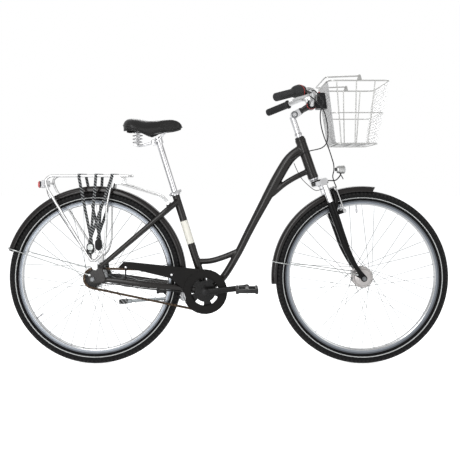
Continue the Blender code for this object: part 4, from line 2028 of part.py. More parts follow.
def build_basket():
    wires = []
    for z in (BASKET_MIDDLE_Z, BASKET_FLOOR_Z):
        wires.append(basket_ring(z, WALL_WIRE_RADIUS))
    for share in BASKET_HOOP_SHARES:
        wires.append(basket_hoop(share))
    for index in range(NET_WIRES):
        wires.append(basket_net_wire(2 * index / (NET_WIRES - 1) - 1))
    for side in (-1, 1):
        x = HANDLE_X
        ear = [(x - 0.016, BASKET_TOP_Z - 0.001), (x + 0.016, BASKET_TOP_Z - 0.001),
               (x + 0.006, HANDLE_Z + 0.006), (x - 0.006, HANDLE_Z + 0.006)]
        wires.append(plate([ear], side * BASKET_TOP_HALF_WIDTH, 0.0030))
    wires.append(mount_plate())
    basket = union_many(basket_ring(BASKET_TOP_Z, RIM_WIRE_RADIUS), wires)
    hole = cylinder(at(HANDLE_X, HANDLE_Z), ALONG_Y, bore(HANDLE_PIN_RADIUS, 8),
                    2 * BASKET_TOP_HALF_WIDTH + 0.05, 8)
    return piece("basket", "alloy", cut(basket, hole))


HANDLE_X = BASKET_REAR_X + HANDLE_AHEAD
HANDLE_Z = BASKET_TOP_Z + HANDLE_RISE
HANDLE_PIN_RADIUS = 0.0022


def wall_slope():
    rear_top, _, _ = basket_level(BASKET_TOP_Z)
    rear_floor, _, _ = basket_level(BASKET_FLOOR_Z)
    return Vector((rear_top - rear_floor, 0, BASKET_TOP_Z - BASKET_FLOOR_Z)).normalized()


def mount_plate():
    """Plate on the basket's rear wall that slides down over the adapter's face."""
    middle_z = BAR_CLAMP.z + (ADAPTER_TOP_RISE - ADAPTER_DROP) / 2
    rear, _, _ = basket_level(middle_z)
    slope = wall_slope()
    turn = Matrix.Rotation(math.atan2(slope.x, slope.z), 4, "Y")
    return block(at(rear, middle_z), (MOUNT_PLATE_THICKNESS, 2 * MOUNT_PLATE_HALF_WIDTH,
                                      ADAPTER_TOP_RISE + ADAPTER_DROP), turn)


def build_basket_adapter():
    """Block in front of the stem, held to the bar by two lugs, with the release button's well."""
    top = BAR_CLAMP.z + ADAPTER_TOP_RISE
    low = BAR_CLAMP.z - ADAPTER_DROP
    offset = MOUNT_PLATE_THICKNESS / 2 + GAP * 1.3
    back = BAR_CLAMP.x + STEM_CLAMP_RADIUS + 2 * GAP
    front_top = basket_level(top)[0] - offset
    front_low = basket_level(low)[0] - offset
    outline = [(back, low), (back, top - 0.004), (back + 0.004, top), (front_top, top),
               (front_low, low)]
    body = plate([outline], 0.0, 2 * MOUNT_PLATE_HALF_WIDTH + 0.008)
    shapes = []
    for side in (-1, 1):
        y = side * (STEM_CLAMP_WIDTH / 2 + GAP + 0.0055)
        shapes.append(cylinder(at(BAR_CLAMP.x, BAR_CLAMP.z, y), ALONG_Y, 0.0185, 0.0110, 12))
        shapes.append(block(at(BAR_CLAMP.x + 0.016, BAR_CLAMP.z, y), (0.020, 0.0100, 0.022)))
    adapter = union_many(body, shapes)
    bar_hole = cylinder(BAR_CLAMP, ALONG_Y, bore(BAR_CENTRE_RADIUS, 12), 0.12, 12)
    well = cylinder(button_centre() - ALONG_Z * 0.004, ALONG_Z, bore(BUTTON_RADIUS, 10), 0.020, 10)
    return piece("basket_adapter", "plastic_black", cut(adapter, bar_hole, well))


def button_centre():
    top = BAR_CLAMP.z + ADAPTER_TOP_RISE
    return at(BAR_CLAMP.x + STEM_CLAMP_RADIUS + 0.0125, top)


def build_release_button():
    centre = button_centre()
    profile = [(0, 0.0060), (BUTTON_RADIUS - 0.001, 0.0060), (BUTTON_RADIUS, 0.0050),
               (BUTTON_RADIUS, -0.0095), (0, -0.0095)]
    return piece("release_button", "red_lens", turned(profile, centre, ALONG_Z, 10))


def build_basket_handle():
    """Bail handle: two arms from the ears and the cross bar behind the basket's rear rim."""
    ear_face = BASKET_TOP_HALF_WIDTH - 0.0015
    arm_y = ear_face - GAP - HANDLE_WIRE_RADIUS
    rear = BASKET_REAR_X - 0.010
    right = [at(HANDLE_X, HANDLE_Z, -arm_y), at(rear + 0.024, HANDLE_Z - 0.004, -arm_y),
             at(rear + 0.007, HANDLE_Z - 0.005, -arm_y + 0.007), at(rear, HANDLE_Z - 0.005, -arm_y + 0.024)]
    left = [point * Vector((1, -1, 1)) for point in reversed(right)]
    wire = rod(right + left, HANDLE_WIRE_RADIUS, 6)
    pins = []
    for side in (-1, 1):
        pins.append(cylinder(at(HANDLE_X, HANDLE_Z, side * (arm_y + 0.004)), ALONG_Y,
                             HANDLE_PIN_RADIUS, 0.012, 6))
    return piece("basket_handle", "alloy", union(wire, *pins))


# Cables

CABLE_RADIUS = 0.0023


def build_brake_cable():
    """From the lever's barrel, down behind the basket, and over to the brake arms."""
    outward = bar_outward(-1)
    barrel_end = (bar_station(-1, CONTROL_END - 0.008) + lever_forward() * 0.0190
                  - outward * (0.024 + 3 * GAP))
    top_along = BRAKE_PIVOT_ALONG + 0.100 + CABLE_RADIUS + 2 * GAP
    forward = BRAKE_ARM_FORWARD
    behind_basket = [(0.0466, 0.0059, 0.125), (0.0566, -0.0361, 0.088), (0.0626, -0.1061, 0.062),
                     (0.0686, -0.1711, 0.050), (0.0826, -0.2511, 0.058)]
    route = [barrel_end, barrel_end - outward * 0.018]
    route += [BAR_CLAMP + at(x, z, -y) for x, z, y in behind_basket]
    route += [head(top_along + 0.040, forward - 0.004, -0.070),
             head(top_along + 0.012, forward, -0.064), head(top_along, forward, -0.048),
             head(top_along, forward, 0.0), head(top_along, forward, 0.044)]
    return piece("brake_cable", "plastic_black", rod(smooth_path(route, 24), CABLE_RADIUS, 5))


def build_shift_cable():
    """From the shifter round the head tube to its entry in the side of the main tube."""
    outward = bar_outward(-1)
    under = (ALONG_Z - outward * outward.z).normalized() * -0.0196
    start = bar_station(-1, CONTROL_START + 0.014 + 2 * GAP) + under
    entry_station = 0.90
    entry = main_tube_axis(entry_station) - ALONG_Y * (0.0166 * MAIN_TUBE_WIDTH_RATIO + 0.0043)
    head_side = HEAD_TUBE_RADIUS + CABLE_RADIUS + 0.0012
    route = [start, start - outward * 0.020 + at(0.004, 0.0), BAR_CLAMP + at(0.0326, -0.0261, -0.118),
             BAR_CLAMP + at(0.0586, -0.1061, -0.080), BAR_CLAMP + at(0.0506, -0.1711, -0.050),
             head(0.112, 0.012, -head_side),
             head(0.110, -0.010, -head_side - 0.003), entry]
    return piece("shift_cable", "plastic_black", rod(smooth_path(route, 20), CABLE_RADIUS, 5))


def build_rear_shift_cable():
    """From the bottom bracket along the underside of the chain stay to the cable drum."""
    shell_foot = BOTTOM_BRACKET_SHELL_RADIUS + CABLE_RADIUS + 0.0022
    route = [BOTTOM_BRACKET + at(0.012, -shell_foot * 0.94, -0.012),
             BOTTOM_BRACKET + at(-0.006, -shell_foot, -0.018)]
    for station in (1, 2, 3, 4, 5):
        route.append(under_chain_stay(station, CABLE_RADIUS, -0.0015))
    lug = REAR_AXLE + at(0.034, -0.016, -(SHIFT_DRUM_INNER_Y + SHIFT_DRUM_THICKNESS / 2))
    route += [REAR_AXLE + at(0.062, -0.0200, -0.0595), lug + at(0.0012, -0.0006)]
    return piece("shift_cable_rear", "plastic_black", rod(smooth_path(route, 18), CABLE_RADIUS, 5))


def build_lamp_wire():
    """Wire from the main tube's underside past the head tube to the lamp bracket."""
    past_the_head = [(-0.0807, 0.0620, 0.0060), (-0.0713, 0.0365, 0.0180), (-0.0510, -0.0015, 0.0250),
                     (-0.0197, -0.0325, 0.0290), (0.0107, -0.0505, 0.0240)]
    route = [HEAD_BASE + at(x, z, -y) for x, z, y in past_the_head]
    route.append(head(-0.052, 0.046, -0.010))
    return piece("lamp_wire", "plastic_black", rod(smooth_path(route, 12), LIGHT_WIRE_RADIUS, 4))


# Assembly

def build_front_end():
    build_headset("headset_lower", True)
    build_headset("headset_upper", False)
    steering = guide("steering_axis", head(0))
    carry_all(steering, build_fork_crown(), build_stem_quill(), build_headlamp(), build_brake_cable())
    travel = guide("fork_travel_axis", head(LOWER_TOP, LEG_OFFSET), steering)
    carry_all(travel, build_fork_lowers(),
              build_axle("front_axle", FRONT_AXLE, FRONT_DROPOUT_SPACING),
              build_mudguard("front_mudguard", FRONT_AXLE, FRONT_MUDGUARD_FRONT_ANGLE,
                             FRONT_MUDGUARD_REAR_ANGLE, FRONT_STAY_ANGLE, FRONT_STAY_EYELET,
                             FRONT_DROPOUT_SPACING))
    for name, side in (("right", -1), ("left", 1)):
        arm_axis = guide("brake_arm_axis_" + name, brake_pivot(side), travel)
        carry(build_brake_arm("brake_arm_" + name, side), arm_axis)
    stem = guide("stem_angle_axis", STEM_PIVOT, steering)
    carry_all(stem, build_stem_extension(), build_handlebar(),
              build_grip("grip_right", -1, SHORT_GRIP_LENGTH, 0.0),
              build_grip("grip_left", 1, GRIP_LENGTH, 0.0030), build_controls(),
              build_basket_adapter())
    carry(build_shift_grip(), guide("shift_grip_axis", bar_tip(-1), stem))
    carry(build_brake_lever(), guide("brake_lever_axis", lever_pivot(), stem))
    carry(build_release_button(), guide("release_button_axis", button_centre(), stem))
    lift = guide("basket_lift_axis", at(BASKET_REAR_X, BASKET_TOP_Z), stem)
    carry(build_basket(), lift)
    carry(build_basket_handle(), guide("basket_handle_axis", at(HANDLE_X, HANDLE_Z), lift))
    return travel


def build_rear_end():
    build_mudguard("rear_mudguard", REAR_AXLE, REAR_MUDGUARD_FRONT_ANGLE,
                   REAR_MUDGUARD_REAR_ANGLE, REAR_STAY_ANGLE, REAR_STAY_EYELET,
                   REAR_DROPOUT_SPACING)
    build_rack()
    build_straps()
    build_tail_light()
    build_light_wire()
    build_kickstand()
    build_rear_shift_cable()
    build_shift_cable()
    build_lamp_wire()


build_frame()
build_drive()
build_chain_guard()
build_rear_end()
build_seat_group()
TRAVEL = build_front_end()
FRONT_WHEEL, REAR_WHEEL = build_wheels()
carry(FRONT_WHEEL, TRAVEL)
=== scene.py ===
"""Looks of the step-through city bicycle: finishes, round tubes and wires, tread and padding."""
import math
import bmesh
import bpy
from mathutils import Matrix, Vector


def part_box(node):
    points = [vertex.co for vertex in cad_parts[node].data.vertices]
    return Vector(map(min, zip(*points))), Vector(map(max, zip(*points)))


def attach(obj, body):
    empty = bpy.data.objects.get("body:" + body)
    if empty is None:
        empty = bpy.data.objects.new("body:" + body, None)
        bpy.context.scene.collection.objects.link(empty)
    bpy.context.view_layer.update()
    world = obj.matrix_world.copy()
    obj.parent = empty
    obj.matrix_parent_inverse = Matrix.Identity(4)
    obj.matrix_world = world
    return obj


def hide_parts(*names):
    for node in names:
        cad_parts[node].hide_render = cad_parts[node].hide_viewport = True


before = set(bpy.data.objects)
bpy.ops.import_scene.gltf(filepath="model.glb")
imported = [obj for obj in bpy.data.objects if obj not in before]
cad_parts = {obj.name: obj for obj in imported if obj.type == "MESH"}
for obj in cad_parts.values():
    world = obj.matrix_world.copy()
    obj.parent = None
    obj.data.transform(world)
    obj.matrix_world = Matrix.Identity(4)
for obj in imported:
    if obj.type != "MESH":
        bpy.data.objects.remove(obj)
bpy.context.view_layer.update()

UP = Vector((0, 0, 1))
ACROSS = Vector((0, 1, 0))
AHEAD = Vector((1, 0, 0))

# Places shared with the solids
REAR_AXLE = Vector((-0.549, 0, 0.356))
FRONT_AXLE = Vector((0.549, 0, 0.356))
BOTTOM_BRACKET = Vector((-0.09669, 0, 0.303))
HEAD_BASE = Vector((0.34926, 0, 0.76347))
HEAD_UP = Vector((-0.32557, 0, 0.94552))
HEAD_FORWARD = Vector((0.94552, 0, 0.32557))
SEAT_UP = Vector((-0.30071, 0, 0.95372))
SEAT_FORWARD = Vector((0.95372, 0, 0.30071))


def head(along, forward=0.0, y=0.0):
    """A point beside the steering axis, measured from the foot of the head tube."""
    return HEAD_BASE + HEAD_UP * along + HEAD_FORWARD * forward + ACROSS * y


def seat(along, forward=0.0, y=0.0):
    """A point beside the seat tube's axis, measured from the bottom bracket."""
    return BOTTOM_BRACKET + SEAT_UP * along + SEAT_FORWARD * forward + ACROSS * y


# Camera, floor and light

IMAGE_SIZE = 460
LENS_LENGTH = 54.9
EYE = (0.021, -2.9, 0.754)
# How far the lens is shifted, in pixels of the image
SHIFT = (-4.0, -49.5)
FLOOR_HALF = 30.0
FLOOR_DROP = 0.0005
FLOOR_GLOW = 0.74
AMBIENT = 0.42
# Name, place, size and power of each lamp
LAMPS = [
    ("key", Vector((-1.6, -2.6, 3.2)), (2.2, 1.6), 36.0),
    ("strip", Vector((-1.0, -3.4, 1.3)), (1.0, 2.5), 58.0),
    ("fill", Vector((2.6, -2.2, 1.8)), (1.8, 1.8), 18.0),
    ("rim", Vector((0.4, 2.6, 2.6)), (2.6, 1.2), 30.0),
]
LAMP_TARGET = Vector((0, 0, 0.5))


def set_the_stage():
    camera = bpy.data.cameras.new("camera")
    camera.lens = LENS_LENGTH
    camera.sensor_width = 36.0
    camera.shift_x = SHIFT[0] / IMAGE_SIZE
    camera.shift_y = SHIFT[1] / IMAGE_SIZE
    camera.clip_end = 60.0
    eye = bpy.data.objects.new("camera", camera)
    eye.location = EYE
    eye.rotation_euler = (math.pi / 2, 0, 0)
    bpy.context.scene.collection.objects.link(eye)
    bpy.context.scene.camera = eye
    bpy.context.scene.view_settings.view_transform = "Standard"

    world = bpy.data.worlds.new("studio")
    bpy.context.scene.world = world
    world.use_nodes = True
    tree = world.node_tree
    tree.nodes.clear()
    output = tree.nodes.new("ShaderNodeOutputWorld")
    path = tree.nodes.new("ShaderNodeLightPath")
    seen = tree.nodes.new("ShaderNodeMath")
    seen.operation = "MAXIMUM"
    tree.links.new(path.outputs["Is Camera Ray"], seen.inputs[0])
    tree.links.new(path.outputs["Is Transmission Ray"], seen.inputs[1])
    seen_too = tree.nodes.new("ShaderNodeMath")
    seen_too.operation = "MAXIMUM"
    tree.links.new(seen.outputs[0], seen_too.inputs[0])
    tree.links.new(path.outputs["Is Glossy Ray"], seen_too.inputs[1])
    ambient = tree.nodes.new("ShaderNodeBackground")
    ambient.inputs["Color"].default_value = (0.93, 0.96, 1.0, 1.0)
    ambient.inputs["Strength"].default_value = AMBIENT
    white = tree.nodes.new("ShaderNodeBackground")
    white.inputs["Color"].default_value = (1.0, 1.0, 1.0, 1.0)
    white.inputs["Strength"].default_value = 1.0
    mix = tree.nodes.new("ShaderNodeMixShader")
    tree.links.new(seen_too.outputs[0], mix.inputs[0])
    tree.links.new(ambient.outputs[0], mix.inputs[1])
    tree.links.new(white.outputs[0], mix.inputs[2])
    tree.links.new(mix.outputs[0], output.inputs[0])

    shape = bmesh.new()
    bmesh.ops.create_grid(shape, x_segments=1, y_segments=1, size=FLOOR_HALF)
    floor = mesh_piece("floor", shape, floor_finish())
    floor.location = (0, 0, -FLOOR_DROP)

    for name, place, size, power in LAMPS:
        light = bpy.data.lights.new(name, "AREA")
        light.shape = "RECTANGLE"
        light.size, light.size_y = size
        light.energy = power
        lamp = bpy.data.objects.new(name, light)
        lamp.location = place
        lamp.rotation_euler = (LAMP_TARGET - lamp.location).to_track_quat("-Z", "Y").to_euler()
        lamp.visible_camera = False
        bpy.context.scene.collection.objects.link(lamp)


# Finishes

class Field:
    """A number or colour that varies over a surface, with arithmetic."""

    def __init__(self, finish, socket):
        self.finish = finish
        self.socket = socket

    def combine(self, operation, *inputs):
        return self.finish.node("ShaderNodeMath", inputs, operation=operation)

    def __add__(self, other):
        return self.combine("ADD", self, other)

    def __sub__(self, other):
        return self.combine("SUBTRACT", self, other)

    def __rsub__(self, other):
        return self.combine("SUBTRACT", other, self)

    def __mul__(self, other):
        return self.combine("MULTIPLY", self, other)

    def __mod__(self, other):
        return self.combine("FLOORED_MODULO", self, other)

    def __abs__(self):
        return self.combine("ABSOLUTE", self)

    def highest(self, other):
        return self.combine("MAXIMUM", self, other)

    def sine(self):
        return self.combine("SINE", self)

    def root(self):
        return self.combine("SQRT", self)

    def atan2(self, other):
        return self.combine("ARCTAN2", self, other)

    def smooth(self, low, high, to_low=0.0, to_high=1.0):
        """Smooth step from to_low to to_high as this goes from low to high."""
        return self.finish.node("ShaderNodeMapRange", [self, low, high, to_low, to_high],
                                interpolation_type="SMOOTHSTEP")

    __radd__ = __add__
    __rmul__ = __mul__


class Finish:
    """A material with one shader, and helpers that give it grain, wear and pattern."""

    def __init__(self, name, colour, roughness, metallic=0.0, **fixed):
        self.material = bpy.data.materials.new(name)
        self.material.use_nodes = True
        self.tree = self.material.node_tree
        self.shader = self.tree.nodes["Principled BSDF"]
        self.colour = colour
        self.set("Base Color", colour)
        self.set("Roughness", roughness)
        self.set("Metallic", metallic)
        for key, value in fixed.items():
            self.set(key.replace("_", " ").title().replace("Ior", "IOR"), value)

    def feed(self, socket, value):
        if isinstance(value, Field):
            self.tree.links.new(value.socket, socket)
        elif isinstance(value, tuple) and len(value) == 3 and socket.type == "RGBA":
            socket.default_value = (*value, 1.0)
        else:
            socket.default_value = value

    def set(self, name, value):
        self.feed(self.shader.inputs[name], value)
        return self

    def node(self, kind, inputs=(), output=0, **settings):
        """A node with its settings and inputs, which are listed or go by name."""
        made = self.tree.nodes.new(kind)
        for key, value in settings.items():
            setattr(made, key, value)
        named = inputs.items() if isinstance(inputs, dict) else enumerate(inputs)
        for key, value in named:
            self.feed(made.inputs[key], value)
        return Field(self, made.outputs[output])

    def place(self, origin=(0, 0, 0)):
        """The surface point's x, y and z from an origin, in metres."""
        spot = self.node("ShaderNodeTexCoord", output="Object")
        moved = self.node("ShaderNodeVectorMath", [spot, origin], operation="SUBTRACT")
        split = self.tree.nodes.new("ShaderNodeSeparateXYZ")
        self.tree.links.new(moved.socket, split.inputs[0])
        return [Field(self, output) for output in split.outputs]

    def spot(self, stretch=(1, 1, 1)):
        """The surface point, stretched, to place a grain on it."""
        spot = self.node("ShaderNodeTexCoord", output="Object")
        return self.node("ShaderNodeVectorMath", [spot, stretch], operation="MULTIPLY")

    def grain(self, size, detail=3.0, roughness=0.55, stretch=(1, 1, 1)):
        """Cloudy grain from 0 to 1 with features of the size given in metres."""
        inputs = {"Vector": self.spot(stretch), "Scale": 1.0 / size, "Detail": detail,
                  "Roughness": roughness}
        return self.node("ShaderNodeTexNoise", inputs)

    def cells(self, size, feature="F1", stretch=(1, 1, 1)):
        return self.node("ShaderNodeTexVoronoi", {"Vector": self.spot(stretch), "Scale": 1.0 / size},
                         feature=feature)

    def blend(self, share, low, high):
        """Mixes two colours by a share."""
        made = self.tree.nodes.new("ShaderNodeMix")
        made.data_type = "RGBA"
        self.feed(made.inputs[0], share)
        self.feed(made.inputs[6], low)
        self.feed(made.inputs[7], high)
        return Field(self, made.outputs[2])

    def bump(self, height, depth, strength=0.6):
        """Raises the surface by height, in metres at 1."""
        chained = {"Height": height, "Distance": depth, "Strength": strength}
        if self.shader.inputs["Normal"].is_linked:
            chained["Normal"] = Field(self, self.shader.inputs["Normal"].links[0].from_socket)
        return self.set("Normal", self.node("ShaderNodeBump", chained))


def shade(colour, share):
    return tuple(min(1.0, channel * share) for channel in colour)


def painted(name, colour, roughness, coat=0.0, peel=0.00005, dust=0.05, specular=0.30):
    """Sprayed paint: a fine orange peel, cloudy gloss and a little dust."""
    finish = Finish(name, colour, roughness, Coat_Weight=coat, Coat_Roughness=0.06, Specular_Ior_Level=specular)
    cloud = finish.grain(0.07, 4.0)
    speck = finish.grain(0.0016, 2.0)
    finish.set("Base Color", finish.blend(cloud.smooth(0.3, 0.75) * dust + speck.smooth(0.62, 0.8) * 0.04,
                                          colour, (0.24, 0.22, 0.20)))
    finish.set("Roughness", roughness * (0.86 + cloud * 0.28))
    finish.bump(finish.grain(0.0011, 1.0), peel, 0.35)
    return finish


def metal(name, colour, roughness, brush=(1, 1, 1), fine=0.0009, scratch=0.25, stain=0.0):
    """Bare metal: brushed or cast grain that changes its gloss, with faint scratches."""
    finish = Finish(name, colour, roughness, 1.0)
    grain = finish.grain(fine, 3.0, 0.6, brush)
    cloud = finish.grain(0.045, 3.0)
    marks = finish.cells(0.006, "DISTANCE_TO_EDGE", (1.0, 1.0, 0.14)).smooth(0.0, 0.012, 1.0, 0.0)
    finish.set("Base Color", finish.blend(cloud * 0.5 + stain, colour, shade(colour, 0.62)))
    finish.set("Roughness", roughness * (0.7 + grain * 0.4 + cloud * 0.2) + marks * roughness * scratch)
    finish.bump(grain, 0.00002, 0.25)
    return finish


def moulded(name, colour, roughness, size=0.0008, depth=0.00008, specular=0.28):
    """Moulded plastic or rubber with a fine spark-eroded texture."""
    finish = Finish(name, colour, roughness, Specular_Ior_Level=specular)
    grain = finish.cells(size)
    cloud = finish.grain(0.03, 4.0)
    finish.set("Base Color", finish.blend(cloud * 0.5, colour, tuple(channel * 1.5 + 0.004 for channel in colour)))
    finish.set("Roughness", roughness * (0.88 + cloud * 0.24))
    finish.bump(grain, depth, 0.5)
    return finish


# Shapes

SHARP = math.radians(32)
JOIN = 0.00001


def mesh_piece(name, shape, finish, body=None):
    """An object from a bmesh, shaded smooth apart from its sharp edges."""
    for face in shape.faces:
        face.smooth = True
    for edge in shape.edges:
        edge.smooth = edge.calc_face_angle(0.0) < SHARP
    data = bpy.data.meshes.new(name)
    shape.to_mesh(data)
    shape.free()
    obj = bpy.data.objects.new(name, data)
    bpy.context.scene.collection.objects.link(obj)
    data.materials.append(finish.material)
    if body:
        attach(obj, body)
    return obj


def frames_along(points, closed=False, across=None):
    """Side and up directions that travel along a path without twisting."""
    count = len(points)
    runs = []
    for index in range(count):
        before = points[index - 1] if closed or index else points[0]
        after = points[(index + 1) % count] if closed or index < count - 1 else points[-1]
        runs.append((after - before).normalized())
    side = Vector(across) if across else runs[0].orthogonal()
    result = []
    for run in runs:
        side = Vector(across) if across else side
        side = (side - run * side.dot(run)).normalized()
        result.append((run, side, run.cross(side)))
    return result


def drawn_out(shape, edges):
    """Extrudes a ring of edges once and gives its new corners and its new edges."""
    fresh = bmesh.ops.extrude_edge_only(shape, edges=edges)["geom"]
    return ([item for item in fresh if isinstance(item, bmesh.types.BMVert)],
            [item for item in fresh if isinstance(item, bmesh.types.BMEdge)])


def cap_ends(shape, *rings):
    for edges in rings:
        bmesh.ops.edgeloop_fill(shape, edges=edges)


def skin(shape, rows):
    """Draws the outline in the first row out through the places of the later rows, and caps both ends."""
    corners = [shape.verts.new(point) for point in rows[0]]
    start = edges = [shape.edges.new(pair) for pair in zip(corners, corners[1:] + corners[:1])]
    for row in rows[1:]:
        made, edges = drawn_out(shape, edges)
        fresh = set(made)
        corners = [next(edge.other_vert(corner) for edge in corner.link_edges if edge.other_vert(corner) in fresh)
                   for corner in corners]
        for corner, point in zip(corners, row):
            corner.co = point
    cap_ends(shape, start, edges)


def oval(shape, points, half_widths, half_heights, sides=20, across=ACROSS, closed=False):
    """A circle drawn along a path as a tube, its section as wide and as high as the tables say."""
    places = []
    for (run, side, up), point, wide, high in zip(frames_along(points, closed, across), points, half_widths,
                                                  half_heights):
        place = Matrix((-up * high, side * wide, run)).transposed().to_4x4()
        place.translation = point
        places.append(place)
    ring = bmesh.ops.create_circle(shape, segments=sides, radius=1.0, matrix=places[0])["verts"]
    start = edges = list(dict.fromkeys(edge for corner in ring for edge in corner.link_edges))
    for before, place in zip(places, places[1:] + places[:1] if closed else places[1:]):
        made, edges = drawn_out(shape, edges)
        bmesh.ops.transform(shape, matrix=place @ before.inverted(), verts=made)
    if closed:
        bmesh.ops.remove_doubles(shape, verts=ring + made, dist=JOIN)
    else:
        cap_ends(shape, start, edges)


def sweep(shape, points, radius, sides=12, closed=False):
    """A round tube along points; radius is one number or one for each point."""
    points = [Vector(point) for point in points]
    radii = list(radius) if hasattr(radius, "__len__") else [radius] * len(points)
    oval(shape, points, radii, radii, sides, None, closed)


def round_ends(points, radius):
    """A tube's path and radii, with the rings that turn its two ends into shallow domes."""
    flat = 0.55
    start_run = (points[0] - points[1]).normalized()
    end_run = (points[-1] - points[-2]).normalized()
    steps = [0.35, 0.7, 0.93]
    first = [(points[0] + start_run * radius * flat * (step - 1), radius * math.sqrt(1 - step ** 2))
             for step in reversed(steps)]
    last = [(points[-1] + end_run * radius * flat * (step - 1), radius * math.sqrt(1 - step ** 2))
            for step in steps]
    joined = first + [(point, radius) for point in points[1:-1]] + last
    return [point for point, _ in joined], [size for _, size in joined]


def smooth_path(points, count):
    """Evenly spaced points on a smooth curve through a few given ones."""
    knots = [Vector(point) for point in points]
    knots = [knots[0] * 2 - knots[1], *knots, knots[-1] * 2 - knots[-2]]
    dense = []
    for index in range(1, len(knots) - 2):
        before, here, there, after = knots[index - 1:index + 3]
        for step in range(16):
            t = step / 16
            dense.append(0.5 * (2 * here + (there - before) * t
                                + (2 * before - 5 * here + 4 * there - after) * t ** 2
                                + (3 * here - before - 3 * there + after) * t ** 3))
    dense.append(knots[-2])
    lengths = [0.0]
    for start, end in zip(dense, dense[1:]):
        lengths.append(lengths[-1] + (end - start).length)
    result = []
    spot = 0
    for step in range(count):
        goal = lengths[-1] * step / (count - 1)
        while spot < len(lengths) - 2 and lengths[spot + 1] < goal:
            spot += 1
        share = (goal - lengths[spot]) / max(lengths[spot + 1] - lengths[spot], 1e-9)
        result.append(dense[spot].lerp(dense[spot + 1], share))
    return result


def turned(shape, profile, centre, axis=ACROSS, steps=48, closed=False, ribs=None):
    """Spins a profile of (radius, height) points about an axis; ribs gives the swell at an angle and height."""
    axis = Vector(axis).normalized()
    centre = Vector(centre)
    turn = UP.rotation_difference(axis).to_matrix()
    line = [shape.verts.new(centre + turn @ Vector((radius, 0, height))) for radius, height in profile]
    edges = [shape.edges.new(pair) for pair in zip(line, line[1:] + line[:1] if closed else line[1:])]
    bmesh.ops.spin(shape, geom=line + edges, cent=centre, axis=axis, dvec=(0, 0, 0), angle=2 * math.pi,
                   steps=steps, use_merge=True)
    bmesh.ops.remove_doubles(shape, verts=shape.verts[:], dist=JOIN / 10)
    if ribs:
        for corner in shape.verts:
            x, y, height = turn.inverted() @ (corner.co - centre)
            swell = ribs(math.atan2(y, x), height)
            corner.co = centre + turn @ Vector((x * swell, y * swell, height))


def ring(shape, centre, radius, wire, axis=ACROSS, steps=96, sides=10):
    """A round wire bent to a circle."""
    turn = UP.rotation_difference(Vector(axis).normalized()).to_matrix()
    points = [Vector(centre) + turn @ Vector((radius * math.cos(a), radius * math.sin(a), 0))
              for a in [2 * math.pi * step / steps for step in range(steps)]]
    sweep(shape, points, wire, sides, closed=True)


def rod(shape, start, end, radius, sides=12):
    sweep(shape, [start, end], radius, sides)


def hexagon_nut(shape, centre, axis, across_flats, length, washer=1.35):
    """A hexagon nut on a round washer."""
    axis = Vector(axis).normalized()
    radius = across_flats / math.sqrt(3)
    start = Vector(centre)
    thin = length * 0.16
    sweep(shape, [start, start + axis * thin], across_flats / 2 * washer, 24)
    sweep(shape, [start + axis * thin, start + axis * (length * 0.92), start + axis * length],
          [radius, radius, radius * 0.88], 6)


def slab(shape, outline, y, thickness, bevel=0.0008):
    """A flat plate in the bicycle's plane, its edge bevelled; the outline holds (x, z) points."""
    half = thickness / 2
    inner = inset(outline, bevel)
    rows = [[Vector((x, y + height, z)) for x, z in points]
            for points, height in ((inner, -half), (outline, bevel - half),
                                   (outline, half - bevel), (inner, half))]
    skin(shape, rows)
    bmesh.ops.triangulate(shape, faces=[face for face in shape.faces if len(face.verts) > 4])


def inset(outline, distance):
    """The outline drawn in by a distance along each corner's bisector."""
    area = sum(a[0] * b[1] - b[0] * a[1] for a, b in zip(outline, outline[1:] + outline[:1]))
    sign = 1 if area > 0 else -1
    result = []
    for index, point in enumerate(outline):
        before, after = Vector(outline[index - 1]), Vector(outline[(index + 1) % len(outline)])
        here = Vector(point)
        first = (here - before).normalized()
        second = (after - here).normalized()
        normal = Vector((-(first.y + second.y), first.x + second.x)) * sign
        length = normal.length
        if length < 1e-6:
            result.append(tuple(here))
            continue
        shift = distance / max(0.4, length / 2)
        result.append(tuple(here + normal / length * shift))
    return result


def make(name, finish, body, build, *nodes, slot=None):
    """Runs a function on an empty bmesh and makes the piece, which stands for the CAD nodes named."""
    shape = bmesh.new()
    build(shape)
    bmesh.ops.recalc_face_normals(shape, faces=shape.faces[:])
    obj = mesh_piece(name, shape, finish, body)
    if nodes:
        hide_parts(*nodes)
    return obj


def melt_joints(obj, voxel, rounds):
    """Melts a piece's crossing tubes into one skin with small fillets."""
    remesh = obj.modifiers.new("melt", "REMESH")
    remesh.mode = "VOXEL"
    remesh.voxel_size = voxel
    remesh.use_smooth_shade = True
    ease = obj.modifiers.new("ease", "SMOOTH")
    ease.factor = 0.5
    ease.iterations = rounds


def soften_group(angle):
    """Smooth shading with sharp edges kept, as a modifier that leaves the mesh as it is."""
    group = bpy.data.node_groups.new("soften", "GeometryNodeTree")
    group.interface.new_socket("Geometry", in_out="INPUT", socket_type="NodeSocketGeometry")
    group.interface.new_socket("Geometry", in_out="OUTPUT", socket_type="NodeSocketGeometry")
    entry = group.nodes.new("NodeGroupInput")
    leave = group.nodes.new("NodeGroupOutput")
    merge = group.nodes.new("GeometryNodeMergeByDistance")
    merge.inputs["Distance"].default_value = JOIN
    edge = group.nodes.new("GeometryNodeInputMeshEdgeAngle")
    bent = group.nodes.new("FunctionNodeCompare")
    bent.inputs["B"].default_value = angle
    normal = group.nodes.new("GeometryNodeSetMeshNormal")
    normal.mode = "SHARPNESS"
    normal.inputs["Remove Custom"].default_value = True
    group.links.new(entry.outputs[0], merge.inputs["Geometry"])
    group.links.new(merge.outputs[0], normal.inputs["Mesh"])
    group.links.new(edge.outputs["Unsigned Angle"], bent.inputs["A"])
    group.links.new(bent.outputs[0], normal.inputs["Edge Sharpness"])
    group.links.new(normal.outputs[0], leave.inputs[0])
    return group


# Frame

